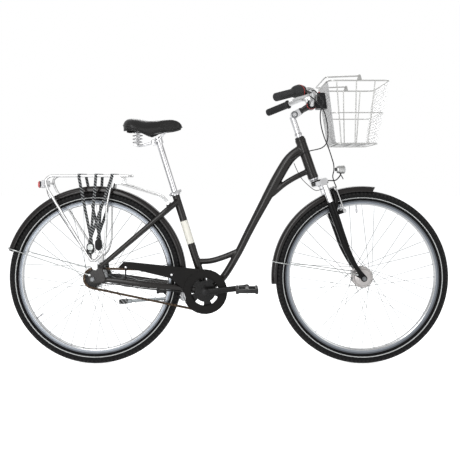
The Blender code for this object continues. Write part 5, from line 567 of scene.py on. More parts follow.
# Along the main tube: share of the way up, bulge and half depth
MAIN_TUBE = [(0.00, 0.0000, 0.0150), (0.06, -0.0200, 0.0152), (0.13, -0.0315, 0.0155), (0.28, -0.0250, 0.0162),
             (0.44, -0.0095, 0.0172), (0.66, 0.0085, 0.0198), (0.853, 0.0215, 0.0225), (0.933, 0.0190, 0.0220),
             (1.000, 0.0030, 0.0205)]
STRUT = [(0.0279, 0.0702), (0.0162, 0.1222), (-0.0044, 0.1762)]
# Along the right chain stay: place, half width and half height
CHAIN_STAY = [((-0.0987, -0.026, 0.3040), 0.0070, 0.0125), ((-0.1367, -0.0305, 0.3090), 0.0055, 0.0125),
              ((-0.1817, -0.0325, 0.3140), 0.0053, 0.0125), ((-0.2367, -0.0425, 0.3210), 0.0075, 0.0135),
              ((-0.3390, -0.0540, 0.3320), 0.0090, 0.0135), ((-0.4490, -0.0590, 0.3480), 0.0085, 0.0120),
              ((-0.5030, -0.0610, 0.3530), 0.0070, 0.0095)]
SEAT_TUBE_TOP = 0.425
HEAD_TUBE_TOP = 0.170
REAR_DROPOUT_Y = 0.068
FRONT_DROPOUT_Y = 0.053


def mirror(points):
    return [Vector((point[0], -point[1], point[2])) for point in points]


def interpolated(rows, place):
    """Values between the rows of a table whose first column is the place."""
    for low, high in zip(rows, rows[1:]):
        if place <= high[0]:
            share = (place - low[0]) / (high[0] - low[0])
            return [a + (b - a) * share for a, b in zip(low[1:], high[1:])]
    return list(rows[-1][1:])


def main_tube_point(station, bulge):
    run = head(0.128, -0.004) - BOTTOM_BRACKET
    across = Vector((-run.z, 0, run.x)).normalized()
    return BOTTOM_BRACKET + run * station + across * bulge


def main_tube_axis(station):
    return main_tube_point(station, interpolated(MAIN_TUBE, station)[0])


def seat_stay_point(share):
    top = seat(0.383)
    end = REAR_AXLE + Vector((0.029, 0, 0.050))
    point = top.lerp(end, share)
    rows = [(0.0, 0.010), (0.06, 0.024), (0.15, 0.0392), (0.5, 0.0556), (1.0, 0.066)]
    point.y = -interpolated(rows, share)[0]
    return point


def dropout_outline(rear):
    if rear:
        corners = [(0.050, -0.014), (0.052, 0.010), (0.043, 0.030), (0.040, 0.055), (0.020, 0.058), (0.004, 0.050),
                   (-0.008, 0.034), (-0.020, 0.017), (-0.020, -0.010), (-0.010, -0.018), (0.015, -0.019)]
        return [(REAR_AXLE.x + x, REAR_AXLE.z + z) for x, z in corners]
    tip = head(-0.420, 0.049)
    angles = [math.radians(-170 + 220 * step / 12) for step in range(13)]
    outline = [(FRONT_AXLE.x + 0.0135 * math.cos(a), FRONT_AXLE.z + 0.0135 * math.sin(a)) for a in angles]
    return outline + [(tip.x + 0.0075, tip.z + 0.004), (tip.x - 0.0075, tip.z - 0.002),
                      (FRONT_AXLE.x - 0.0345, FRONT_AXLE.z + 0.0215), (FRONT_AXLE.x - 0.0345, FRONT_AXLE.z + 0.0105)]


def smooth_table(rows, count):
    """Spreads a table of (place, values...) rows over a smooth path, with eased values."""
    points = smooth_path([row[0] for row in rows], count)
    columns = []
    for column in range(1, len(rows[0])):
        table = [(index / (len(rows) - 1), row[column]) for index, row in enumerate(rows)]
        columns.append([interpolated(table, index / (count - 1))[0] for index in range(count)])
    return points, columns


def build_frame_shape(shape):
    table = [(main_tube_point(station, bulge), min(depth * 0.95, 0.0175), depth)
             for station, bulge, depth in MAIN_TUBE]
    points, (wide, high) = smooth_table(table, 60)
    oval(shape, points, wide, high)
    rod(shape, head(0), head(HEAD_TUBE_TOP), 0.0213, 28)
    for along in (0.006, HEAD_TUBE_TOP - 0.006):
        rod(shape, head(along - 0.006), head(along + 0.006), 0.0221, 28)
    rod(shape, seat(0), seat(SEAT_TUBE_TOP), 0.0158, 24)
    rod(shape, BOTTOM_BRACKET - ACROSS * 0.034, BOTTOM_BRACKET + ACROSS * 0.034, 0.0205, 28)
    strut = [head(0.036, -0.004)] + [head(along, -behind) for along, behind in STRUT] + [main_tube_axis(0.64)]
    sweep(shape, smooth_path(strut, 24), 0.0118, 18)
    start, end = seat(0.122), main_tube_axis(0.30)
    cross = [start, start.lerp(end, 0.33) - UP * 0.012, start.lerp(end, 0.66) - UP * 0.0096, end]
    sweep(shape, smooth_path(cross, 18), 0.0122, 18)
    stay = [seat_stay_point(share) for share in (0.0, 0.06, 0.15, 0.35, 0.55, 0.8, 1.0)]
    stay = smooth_path(stay, 30)
    radii = [0.0120 + (0.0084 - 0.0120) * step / 29 for step in range(30)]
    table = [(Vector(place), wide, high) for place, wide, high in CHAIN_STAY]
    points, (wide, high) = smooth_table(table, 36)
    for turn in (list, mirror):
        sweep(shape, turn(stay), radii, 16)
        oval(shape, turn(points), wide, high, 16)
    for side in (-1, 1):
        slab(shape, dropout_outline(True), side * REAR_DROPOUT_Y, 0.006, 0.001)
    upper = seat_stay_point(0.31)
    reach = 0.3804
    run = Vector((upper.x, 0, upper.z)) - REAR_AXLE
    upper_bridge = REAR_AXLE + run.normalized() * reach
    low = math.radians(-5.5)
    lower_bridge = REAR_AXLE + Vector((math.cos(low), 0, math.sin(low))) * reach
    for middle, half in ((upper_bridge, abs(upper.y)), (lower_bridge, 0.0325)):
        rod(shape, middle - ACROSS * half, middle + ACROSS * half, 0.0048, 12)


def build_frame():
    tubes = make("frame_tubes", FRAME_PAINT, "frame_body", build_frame_shape, "frame", slot="frame_paint")
    melt_joints(tubes, 0.0019, 4)
    low, high = seat(0.2010), seat(0.2985)
    length = (high - low).length
    rows = [(0.0152, length), (0.01605, length), (0.01605, 0.0), (0.0152, 0.0)]
    make("name_band", BAND, "frame_body",
         lambda shape: turned(shape, rows, low, high - low, 56, closed=True))
    make("frame_screws", STEEL, "frame_body", frame_screws, slot="satin_steel")


def frame_screws(shape):
    """Small screws: on the seat tube and at the cable stops."""
    for along in (0.135, 0.185):
        start = seat(along, 0.0150)
        sweep(shape, [start, start + SEAT_FORWARD * 0.0022], 0.0036, 12)
    for station in (0.14, 0.32):
        place = main_tube_axis(station)
        sweep(shape, [place + UP * -0.0150, place + UP * -0.0182], 0.0030, 12)


# Mudguards

CROWN_RADIUS = 0.3751
GUARD_DEPTH = 0.0215
GUARD_HALF = 0.026
STAY_RADIUS = 0.0019


def radial(axle, radius, degrees, y=0.0):
    angle = math.radians(degrees)
    return axle + Vector((radius * math.cos(angle), y, radius * math.sin(angle)))


def build_mudguard(name, axle, start, end, body, node, finish, slot, slant=0.0):
    """Curved shell with rolled edges and rounded ends; slant is how far its first end's edges are cut back."""
    section = []
    for step in range(25):
        across, rise = math.cos(math.pi * step / 24), math.sin(math.pi * step / 24)
        y = math.copysign(GUARD_HALF * abs(across) ** 0.55, across)
        section.append((CROWN_RADIUS - GUARD_DEPTH * (1 - abs(rise) ** 0.75), y))
    inside = [(radius - 0.0014, y * 0.972) for radius, y in reversed(section)]

    def shell(shape):
        rows = []
        steps = 110
        for step in range(steps + 1):
            degrees = start + (end - start) * step / steps
            from_end = min(step, steps - step) / steps * abs(end - start)
            narrow = 1.0 if from_end > 1.2 else math.sqrt(1 - (1 - from_end / 1.2) ** 2) * 0.25 + 0.75
            cut = slant * max(0.0, 1.0 - step / 14)
            rows.append([radial(axle, radius, degrees + cut * (CROWN_RADIUS - radius) / GUARD_DEPTH, y * narrow)
                         for radius, y in section + inside])
        skin(shape, rows)
    make(name, finish, body, shell, node, slot=slot)


def build_stay(name, axle, degrees, eyelet, dropout_y, body):
    """Wire stay round the mudguard, its hooked ends bolted at the dropouts."""
    eyelet_y = dropout_y + 0.003 + 0.0003 + 0.0020
    half = GUARD_HALF + 0.0020 + 0.0008
    shoulder = radial(axle, CROWN_RADIUS - 0.0103, degrees)
    crown = radial(axle, CROWN_RADIUS - 0.0003, degrees)
    foot = axle + Vector((eyelet[0], 0, eyelet[1]))
    right = [foot - ACROSS * eyelet_y, foot.lerp(shoulder, 0.06) - ACROSS * eyelet_y,
             foot.lerp(shoulder, 0.90) - ACROSS * (half + 0.006), shoulder - ACROSS * half,
             crown - ACROSS * (half - 0.004)]

    def wire(shape):
        sweep(shape, right + mirror(reversed(right)), STAY_RADIUS, 12)
        for side in (-1, 1):
            at_foot = foot + ACROSS * side * (eyelet_y - STAY_RADIUS)
            sweep(shape, [at_foot, at_foot + ACROSS * side * 0.0034], 0.0046, 20)
            spot = foot.lerp(shoulder, 0.93) + ACROSS * side * (half + 0.0032)
            run = (shoulder - foot).normalized()
            sweep(shape, [spot - run * 0.010, spot + run * 0.012], 0.0032, 12)
    make(name, STAY_STEEL, body, wire, slot="chrome")


def build_mudguards():
    build_mudguard("rear_mudguard_shell", REAR_AXLE, -8.0, 162.7, "frame_body", "rear_mudguard", MUDGUARD,
                   "gloss_dark")
    build_mudguard("front_mudguard_shell", FRONT_AXLE, 81.8, 184.3, "fork_lower", "front_mudguard", MUDGUARD,
                   "gloss_dark", 1.5)
    build_stay("rear_mudguard_stay", REAR_AXLE, 161.2, (-0.013, 0.017), REAR_DROPOUT_Y, "frame_body")
    build_stay("front_mudguard_stay", FRONT_AXLE, 169.9, (-0.029, 0.016), FRONT_DROPOUT_Y, "fork_lower")
    make("front_mud_flap", RUBBER, "fork_lower", build_flap, slot="rubber_black")


def build_flap(shape):
    """Rubber trim on the front mudguard's lower end."""
    half = 0.0235
    rows = []
    for degrees in (182.0, 182.8, 183.6, 184.2):
        row = []
        for radius, reach in ((CROWN_RADIUS - 0.0006, 1), (CROWN_RADIUS - 0.0026, -1)):
            steps = range(13) if reach > 0 else range(12, -1, -1)
            for step in steps:
                y = half * math.cos(math.pi * step / 12)
                row.append(radial(FRONT_AXLE, radius - 0.0068 * abs(y / half) ** 3, degrees, y))
        rows.append(row)
    skin(shape, rows)


# Rack

RACK_TOP = 0.773
RACK_FRONT_X = -0.405
RACK_REAR_X = -0.745
RACK_HALF = 0.062


def bent(points, radius, per_bend=6):
    """A path with its corners rounded off to a bend of the given radius."""
    result = [Vector(points[0])]
    for before, corner, after in zip(points, points[1:], points[2:]):
        corner = Vector(corner)
        first = Vector(before) - corner
        second = Vector(after) - corner
        reach = min(radius, first.length * 0.48, second.length * 0.48)
        start = corner + first.normalized() * reach
        end = corner + second.normalized() * reach
        for step in range(per_bend + 1):
            t = step / per_bend
            result.append(start * (1 - t) ** 2 + corner * (2 * t * (1 - t)) + end * t ** 2)
    result.append(Vector(points[-1]))
    return result


def build_rack_shape(shape):
    for side in (-1, 1):
        def point(x, z, y):
            return Vector((x, side * y, z))
        rail = [point(RACK_FRONT_X + 0.001, RACK_TOP, RACK_HALF), point(RACK_REAR_X + 0.020, RACK_TOP, RACK_HALF),
                point(RACK_REAR_X + 0.0012, RACK_TOP - 0.0180, RACK_HALF),
                point(RACK_REAR_X + 0.0100, RACK_TOP - 0.050, RACK_HALF + 0.001), point(-0.566, 0.450, 0.0765),
                point(-0.551, 0.430, 0.0765)]
        sweep(shape, bent(rail, 0.022), 0.0056, 14)
        leg = [point(-0.472, RACK_TOP, RACK_HALF), point(-0.476, 0.740, 0.0626), point(-0.494, 0.649, 0.0675),
               point(-0.497, 0.501, 0.0745), point(-0.512, 0.452, 0.0765), point(-0.543, 0.428, 0.0765)]
        sweep(shape, bent(leg, 0.020), 0.0044, 14)
        tab = [(-0.5670, 0.4560), (-0.5360, 0.4560), (-0.5290, 0.4200), (-0.5280, 0.3990), (-0.5340, 0.3920),
               (-0.5440, 0.3920), (-0.5510, 0.3990), (-0.5600, 0.4170), (-0.5660, 0.4300)]
        slab(shape, tab, side * 0.0729, 0.0032, 0.0008)
        web = point(-0.548, 0.4325, 0.0747)
        sweep(shape, [web - UP * 0.006, web + UP * 0.0062], 0.0052, 14)
    for x in (RACK_FRONT_X - 0.012, -0.505, -0.640):
        rod(shape, (x, -RACK_HALF, RACK_TOP), (x, RACK_HALF, RACK_TOP), 0.0040, 14)
    z = RACK_TOP - 0.032
    rod(shape, (RACK_REAR_X + 0.001, -RACK_HALF, z), (RACK_REAR_X + 0.001, RACK_HALF, z), 0.0045, 14)


STRUT_BOSS = Vector((-0.2491, -0.0440, 0.6620))


def build_strut_tabs(shape):
    """Upright eyelets on the seat stays, to which the rack's struts are bolted."""
    for side in (-1, 1):
        foot = seat_stay_point(0.118)
        eyelet = Vector((STRUT_BOSS.x, side * (abs(STRUT_BOSS.y) - 0.0040), STRUT_BOSS.z))
        stem = [Vector((foot.x, -side * foot.y, foot.z)), foot.lerp(STRUT_BOSS, 0.5), eyelet - UP * 0.004, eyelet]
        stem[1].y = eyelet.y
        oval(shape, stem, [0.0024] * 4, [0.0062] * 4, 12)


def build_rack_strut(shape):
    radius = 0.0034
    y = abs(STRUT_BOSS.y)
    hold = Vector((-0.4380, -RACK_HALF - 0.0040, 0.7405))
    right = [STRUT_BOSS, Vector((-0.2790, -y, 0.6918)), hold, hold + Vector((-0.012, 0.0, 0.002))]
    for turn in (list, mirror):
        sweep(shape, bent(turn(right), 0.012), radius, 12)
    for side in (-1, 1):
        plate = [(-0.4640, RACK_TOP), (-0.4340, RACK_TOP), (-0.4340, 0.7410), (-0.4390, 0.7350), (-0.4600, 0.7420),
                 (-0.4640, 0.7480)]
        slab(shape, plate, side * (RACK_HALF + 0.0010), 0.0030, 0.0008)
        place = Vector((STRUT_BOSS.x, side * y, STRUT_BOSS.z))
        sweep(shape, [place - ACROSS * side * 0.0034, place + ACROSS * side * 0.0020], 0.0066, 20)
        hexagon_nut(shape, place + ACROSS * side * 0.0018, ACROSS * side, 0.0070, 0.0018, 1.2)


def build_rack():
    rack = make("rack_tubes", ALLOY, "frame_body", build_rack_shape, "rack", slot="polished_alloy")
    melt_joints(rack, 0.0011, 3)
    make("rack_strut", ALLOY, "frame_body", build_rack_strut, slot="polished_alloy")
    make("rack_strut_tabs", FRAME_PAINT, "frame_body", build_strut_tabs, slot="frame_paint")
    make("rack_bolts", STEEL, "frame_body", build_rack_bolts, slot="satin_steel")


def build_rack_bolts(shape):
    for side in (-1, 1):
        place = Vector((-0.539, side * 0.0745, 0.4015))
        sweep(shape, [place, place + ACROSS * side * 0.0016], 0.0050, 20)
        sweep(shape, [place + ACROSS * side * 0.0014, place + ACROSS * side * 0.0030], 0.0034, 12)


# Straps on the rack

STRAP_BLOCK = Vector((-0.555, 0.0858, 0.481))


def webbing_strip(shape, path, width, thickness):
    """A flat strap along a path, its edges rounded."""
    rows = []
    outline = [(0.5, 0.30), (0.44, 0.5), (-0.44, 0.5), (-0.5, 0.30), (-0.5, -0.30), (-0.44, -0.5), (0.44, -0.5),
               (0.5, -0.30)]
    for index, point in enumerate(path):
        run = (path[min(index + 1, len(path) - 1)] - path[max(index - 1, 0)]).normalized()
        across = (AHEAD - run * run.x).normalized()
        up = run.cross(across).normalized()
        rows.append([point + across * (a * width) + up * (b * thickness) for a, b in outline])
    skin(shape, rows)


def build_straps_shape(shape):
    top = RACK_TOP + 0.0052 + 0.0003 + 0.0014
    rail = RACK_HALF + 0.0052 + 0.0003 + 0.0014
    for index, ahead in enumerate((-0.056, 0.0125, 0.077)):
        x = REAR_AXLE.x + ahead
        gather = STRAP_BLOCK.x - (index - 1) * 0.006
        side = [Vector((gather, -STRAP_BLOCK.y + 0.0008 * index, STRAP_BLOCK.z + 0.0225)),
                Vector((gather + (x - gather) * 0.60, -rail - 0.0075, 0.660)),
                Vector((x, -rail - 0.0012, RACK_TOP - 0.004)), Vector((x, -rail - 0.0008, RACK_TOP + 0.003)),
                Vector((x, -rail + 0.0035, top + 0.0004))]
        path = bent(side + mirror(reversed(side)), 0.004, 4)
        dense = []
        for start, end in zip(path, path[1:]):
            count = max(1, int((end - start).length / 0.006))
            dense += [start.lerp(end, step / count) for step in range(count)]
        webbing_strip(shape, dense + [path[-1]], 0.0118, 0.0027)


def build_strap_blocks(shape):
    for side in (-1, 1):
        y = side * STRAP_BLOCK.y
        outline = rounded_box(STRAP_BLOCK.x, STRAP_BLOCK.z, 0.0155, 0.024, 0.0150, 10)
        slab(shape, outline, y, 0.0088, 0.0018)
        hook = [Vector((STRAP_BLOCK.x, y, STRAP_BLOCK.z - 0.020)), Vector((STRAP_BLOCK.x, y, STRAP_BLOCK.z - 0.034)),
                Vector((STRAP_BLOCK.x + 0.004, y - side * 0.0004, STRAP_BLOCK.z - 0.043))]
        sweep(shape, *round_ends(bent(hook, 0.004), 0.0019), 10)


def rounded_box(x, z, half_x, half_z, corner, steps):
    """Outline of a rectangle with rounded corners, as (x, z) points."""
    outline = []
    for sign_x, sign_z, start in ((1, 1, 0), (-1, 1, 90), (-1, -1, 180), (1, -1, 270)):
        centre = (x + sign_x * (half_x - corner), z + sign_z * (half_z - corner))
        for step in range(steps + 1):
            angle = math.radians(start + 90 * step / steps)
            outline.append((centre[0] + corner * math.cos(angle), centre[1] + corner * math.sin(angle)))
    return outline


def build_straps():
    make("strap_webbing", WEBBING, "frame_body", build_straps_shape, "rack_straps", slot="webbing")
    make("strap_blocks", PLASTIC, "frame_body", build_strap_blocks, slot="plastic_black")
    make("strap_windows", REFLECTOR, "frame_body", build_strap_windows)


def build_strap_windows(shape):
    for side in (-1, 1):
        outline = rounded_box(STRAP_BLOCK.x, STRAP_BLOCK.z + 0.0060, 0.0112, 0.0120, 0.0090, 8)
        slab(shape, outline, side * (STRAP_BLOCK.y + 0.0042), 0.0012, 0.0004)
        outline = rounded_box(STRAP_BLOCK.x, STRAP_BLOCK.z - 0.0135, 0.0052, 0.0016, 0.0012, 4)
        slab(shape, outline, side * (STRAP_BLOCK.y + 0.0042), 0.0010, 0.0003)


# Wheels

SPOKE_COUNT = 36
RIM_INNER = 0.2970
FLANGE_RADIUS = 0.0405
TREAD_COUNT = 132.0
TYRE_PROFILE = [(0.3128, 0.0084), (0.3176, 0.0098), (0.3192, 0.0118), (0.3206, 0.0142), (0.3230, 0.0172),
                (0.3268, 0.0203), (0.3320, 0.0224), (0.3375, 0.0230), (0.3425, 0.0222), (0.3468, 0.0201),
                (0.3504, 0.0170), (0.3532, 0.0128), (0.3550, 0.0080), (0.3558, 0.0036)]
RIM_PROFILE = [(0.3126, 0.0089), (0.3164, 0.0097), (0.3170, 0.0108), (0.3169, 0.0121), (0.3162, 0.0125),
               (0.3085, 0.0121), (0.3020, 0.0115), (0.3014, 0.0110), (0.2992, 0.0103), (0.2976, 0.0088),
               (0.2971, 0.0064), (0.2970, 0.0030)]
FRONT_HUB = [(0.0051, 0.0494), (0.0086, 0.0494), (0.0092, 0.0488), (0.0092, 0.0400), (0.0118, 0.0385),
             (0.0120, 0.0312), (0.0150, 0.0300), (0.0290, 0.0290), (0.0322, 0.0280), (0.0345, 0.0258),
             (0.0352, 0.0228), (0.0356, 0.0216), (0.0424, 0.0214), (0.0430, 0.0208), (0.0430, 0.0182),
             (0.0424, 0.0176), (0.0392, 0.0168), (0.0380, 0.0150), (0.0376, 0.0100)]
REAR_HUB = [(0.0051, 0.0548), (0.0150, 0.0548), (0.0165, 0.0540), (0.0172, 0.0440), (0.0218, 0.0425),
            (0.0222, 0.0345), (0.0255, 0.0318), (0.0262, 0.0310), (0.0424, 0.0308), (0.0430, 0.0302),
            (0.0430, 0.0274), (0.0424, 0.0268), (0.0375, 0.0262), (0.0340, 0.0235), (0.0330, 0.0205),
            (0.0326, 0.0100)]
REAR_HUB_RIGHT = [(0.0326, -0.0100), (0.0330, -0.0205), (0.0340, -0.0235), (0.0375, -0.0262), (0.0424, -0.0268),
                  (0.0430, -0.0274), (0.0430, -0.0302), (0.0424, -0.0308), (0.0262, -0.0310), (0.0255, -0.0318),
                  (0.0250, -0.0385), (0.0051, -0.0388)]


def both_sides(profile):
    return profile + [(radius, -y) for radius, y in reversed(profile)]


def spoke_ends(axle, flange_y):
    holes = SPOKE_COUNT // 2
    lead = 2 * math.pi * 3 / holes
    for index in range(SPOKE_COUNT):
        side = 1 if index % 2 else -1
        hole = index // 2
        outward = 1 if hole % 2 else -1
        start_angle = 2 * math.pi * (hole + 0.25 * (side + 1)) / holes
        end_angle = start_angle + outward * lead
        start = Vector((math.cos(start_angle), 0, math.sin(start_angle))) * FLANGE_RADIUS
        start.y = side * flange_y + outward * 0.0011
        end = Vector((math.cos(end_angle), 0, math.sin(end_angle))) * RIM_INNER
        end.y = side * 0.0010 + outward * 0.0010
        yield axle + start, axle + end, outward


def build_spokes(name, axle, flange_y, body):
    def wires(shape):
        for start, end, outward in spoke_ends(axle, flange_y):
            run = (end - start).normalized()
            sweep(shape, [start, end - run * 0.010], 0.00095, 8)
            sweep(shape, [start + ACROSS * outward * 0.0012, start - ACROSS * outward * 0.0046], 0.0011, 8)
            sweep(shape, [start - ACROSS * outward * 0.0036, start - ACROSS * outward * 0.0050], 0.0021, 10)
    make(name, SPOKE_STEEL, body, wires, slot="satin_steel")

    def ends(shape):
        for start, end, _ in spoke_ends(axle, flange_y):
            run = (end - start).normalized()
            sweep(shape, [end - run * 0.0125, end - run * 0.0115, end - run * 0.0030, end + run * 0.0010],
                  [0.0014, 0.0017, 0.0019, 0.0021], 8)
    make(name.replace("spokes", "nipples"), BRIGHT_METAL, body, ends, slot="polished_alloy")


def build_valve(shape, axle, degrees):
    direction = radial(Vector(), 1.0, degrees)
    root = axle + direction * (RIM_INNER + 0.002)
    stations = [0.0, 0.0045, 0.0046, 0.0060, 0.0061, 0.0185, 0.0186, 0.0195, 0.0270, 0.0325, 0.0340]
    radii = [0.0024, 0.0024, 0.0046, 0.0046, 0.0024, 0.0024, 0.0038, 0.0040, 0.0038, 0.0032, 0.0020]
    sweep(shape, [root - direction * station for station in stations], radii, 16)


def build_wheel(name, axle, body, valve_degrees, flange_y):
    make(name + "_tyre_tread", TYRES[name], body,
         lambda shape: turned(shape, both_sides(TYRE_PROFILE), axle, ACROSS, 216, closed=True),
         name + "_tyre", slot="tyre")
    make(name + "_rim_hoop", RIMS[name], body,
         lambda shape: turned(shape, both_sides(RIM_PROFILE), axle, ACROSS, 180, closed=True),
         name + "_rim", slot="polished_alloy")
    make(name + "_valve", STEEL, body, lambda shape: build_valve(shape, axle, valve_degrees),
         slot="rubber_black")
    build_spokes(name + "_spokes", axle, flange_y, body)


def build_wheels():
    build_wheel("front", FRONT_AXLE, "front_wheel", 94.5, 0.0195)
    build_wheel("rear", REAR_AXLE, "rear_wheel", 215.0, 0.0289)
    make("front_hub_shell", HUBS["front"], "front_wheel",
         lambda shape: turned(shape, both_sides(FRONT_HUB), FRONT_AXLE, ACROSS, 72, closed=True),
         "front_hub", slot="polished_alloy")
    make("rear_hub_shell", HUBS["rear"], "rear_wheel",
         lambda shape: turned(shape, REAR_HUB + REAR_HUB_RIGHT, REAR_AXLE, ACROSS, 72, closed=True),
         "rear_hub", slot="polished_alloy")
    for name, axle, half, body in (("front", FRONT_AXLE, 0.0563, "fork_lower"),
                                   ("rear", REAR_AXLE, 0.0713, "frame_body")):
        make(name + "_axle_nuts", NUT_STEEL, body, axle_nuts(axle, half), name + "_axle", slot="satin_steel")


def axle_nuts(axle, outer):
    def build(shape):
        rod(shape, axle - ACROSS * (outer + 0.0138), axle + ACROSS * (outer + 0.0138), 0.0046, 16)
        for side in (-1, 1):
            hexagon_nut(shape, axle + ACROSS * side * outer, ACROSS * side, 0.0155, 0.0100, 1.18)
    return build


def wheel_fields(finish, axle):
    """Distance from the axle, angle round it and distance from the wheel's plane."""
    x, y, z = finish.place(axle)
    return (x * x + z * z).root(), z.atan2(x), y


def tyre_finish(name, axle):
    finish = Finish("tyre_rubber_" + name, (0.010, 0.010, 0.010), 0.62, Specular_Ior_Level=0.09)
    radius, angle, y = wheel_fields(finish, axle)
    away = abs(y)
    cloud = finish.grain(0.05, 4.0)
    dust = finish.grain(0.004, 3.0).smooth(0.5, 0.8)
    shoulder = radius.smooth(0.3395, 0.3405) * radius.smooth(0.3498, 0.3502, 1.0, 0.0)
    crown = radius.smooth(0.3499, 0.3505)
    blocks = ((angle * TREAD_COUNT).sine()).smooth(-0.25, 0.10)
    lean = (angle * TREAD_COUNT + away * 420.0).sine().smooth(-0.72, -0.50)
    seam = (away % 0.0065).smooth(0.0004, 0.0010) * lean
    line = radius.smooth(0.3254, 0.3257) * radius.smooth(0.3284, 0.3287, 1.0, 0.0)
    rings = (radius * 4200.0).sine() * radius.smooth(0.3300, 0.3310, 0.5, 0.0)
    rubber = finish.blend(cloud * 0.35 + dust * 0.25, (0.0045, 0.0045, 0.005), (0.013, 0.0127, 0.0125))
    # The shoulder's raised blocks are lighter than the grooves between them: partly rubbed wear and partly painted
    # shade in the grooves. The slanted stripes on the crown are wear.
    worn = finish.blend(crown * lean * 0.30 + shoulder * blocks * 0.35, rubber, (0.036, 0.035, 0.034))
    finish.set("Base Color", finish.blend(line * (cloud * 0.25 + 0.70), worn, (0.60, 0.61, 0.60)))
    finish.set("Roughness", cloud * 0.2 + 0.50 - line * 0.15)
    finish.bump(shoulder * blocks + crown * seam + rings * 0.06, 0.0013, 0.9)
    finish.bump(finish.grain(0.0007, 2.0), 0.00006, 0.4)
    return finish


def rim_finish(name, axle):
    finish = Finish("rim_alloy_" + name, (0.80, 0.81, 0.82), 0.20, 1.0)
    radius, angle, y = wheel_fields(finish, axle)
    streak = finish.node("ShaderNodeTexNoise", {"Vector": finish.node("ShaderNodeCombineXYZ",
                         [angle * 5.0, radius * 3200.0, y * 900.0]), "Scale": 1.0, "Detail": 3.0})
    cloud = finish.grain(0.06, 3.0)
    track = radius.smooth(0.3030, 0.3034) * radius.smooth(0.3154, 0.3158, 1.0, 0.0)
    rest = finish.blend(cloud * 0.4, (0.38, 0.385, 0.39), (0.26, 0.265, 0.27))
    # The brushed colour is the brake track's own band, made darker and bluish by painted reflection, and edge marks a
    # dark outer band above the track that is painted reflection as well.
    brushed = finish.blend(cloud * 0.4, (0.190, 0.205, 0.228), (0.120, 0.132, 0.150))
    edge = radius.smooth(0.3098, 0.3112)
    finish.set("Base Color", finish.blend(edge, finish.blend(track, rest, brushed), (0.075, 0.080, 0.088)))
    finish.set("Roughness", streak * 0.16 + track * 0.14 + 0.10)
    finish.bump((radius * 14000.0).sine() * track + streak * 0.5, 0.00004, 0.4)
    return finish


HUB_COLOURS = {"front": ((0.38, 0.362, 0.355), (0.16, 0.155, 0.15)),
               "rear": ((0.46, 0.47, 0.48), (0.16, 0.17, 0.18))}


def hub_finish(name, axle):
    light, dark = HUB_COLOURS[name]
    finish = Finish("hub_alloy_" + name, light, 0.30, 1.0)
    radius, angle, y = wheel_fields(finish, axle)
    lathe = finish.node("ShaderNodeTexNoise", {"Vector": finish.node("ShaderNodeCombineXYZ",
                        [angle * 0.6, radius * 2600.0, y * 2600.0]), "Scale": 1.0, "Detail": 3.0})
    cloud = finish.grain(0.02, 3.0)
    # holes marks dark spots round the flange for the spoke holes, which the mesh doesn't cut: painted shade.
    holes = ((angle * 18.0).sine()).smooth(0.80, 0.95) * radius.smooth(0.0388, 0.0392)
    finish.set("Base Color", finish.blend(cloud * 0.25 + holes * 0.7, light, dark))
    finish.set("Roughness", lathe * 0.18 + cloud * 0.10 + 0.20)
    finish.bump(lathe, 0.00005, 0.35)
    return finish


# Cranks and pedals

CRANK_DIRECTION = Vector((math.cos(math.radians(7.0)), 0, math.sin(math.radians(7.0))))
CRANK_LENGTH = 0.170
PEDAL_HALF = 0.038
PEDALS = {"right": Vector((0.0720, -0.1335, 0.3237)), "left": Vector((-0.2654, 0.1335, 0.2823))}


def build_crank(name, side):
    direction = CRANK_DIRECTION * (1 if side < 0 else -1)
    middle_y = side * (0.0655 + 0.0065)
    base = BOTTOM_BRACKET + ACROSS * middle_y
    tip = base + direction * CRANK_LENGTH

    def arm(shape):
        boss_inner = 0.0518 if side < 0 else 0.0400
        rod(shape, BOTTOM_BRACKET + ACROSS * side * boss_inner, BOTTOM_BRACKET + ACROSS * side * 0.0785, 0.0163, 32)
        points = [base.lerp(tip, step / 24) for step in range(25)]
        wide = [0.0064 - 0.0006 * step / 24 for step in range(25)]
        high = [0.0146 - 0.0028 * min(1.0, step / 14) for step in range(25)]
        oval(shape, points, wide, high, 24)
        rod(shape, tip - ACROSS * 0.0064, tip + ACROSS * 0.0064, 0.0122, 28)
    crank = make("crank_arm_" + name, CRANK_PAINT, "crank", arm, "crank_" + name, slot="polished_alloy")
    melt_joints(crank, 0.0010, 3)

    def axle(shape):
        middle = PEDALS[name] - ACROSS * PEDALS[name].y
        stations = [0.0690, 0.0776, 0.0777, 0.0857, 0.0858, 0.1640, 0.1645]
        radii = [0.0045, 0.0045, 0.0085, 0.0085, 0.0045, 0.0045, 0.0030]
        sweep(shape, [middle + ACROSS * side * station for station in stations], radii, 20)
    make("pedal_axle_" + name, STEEL, "crank", axle, slot="satin_steel")

    def cap(shape):
        bolt = BOTTOM_BRACKET + ACROSS * side * 0.0784
        sweep(shape, [bolt, bolt + ACROSS * side * 0.0012, bolt + ACROSS * side * 0.0016], [0.0104, 0.0104, 0.0094], 28)
        sweep(shape, [bolt + ACROSS * side * 0.0014, bolt + ACROSS * side * 0.0022], 0.0040, 6)
    make("crank_cap_" + name, PLASTIC, "crank", cap, slot="plastic_black")


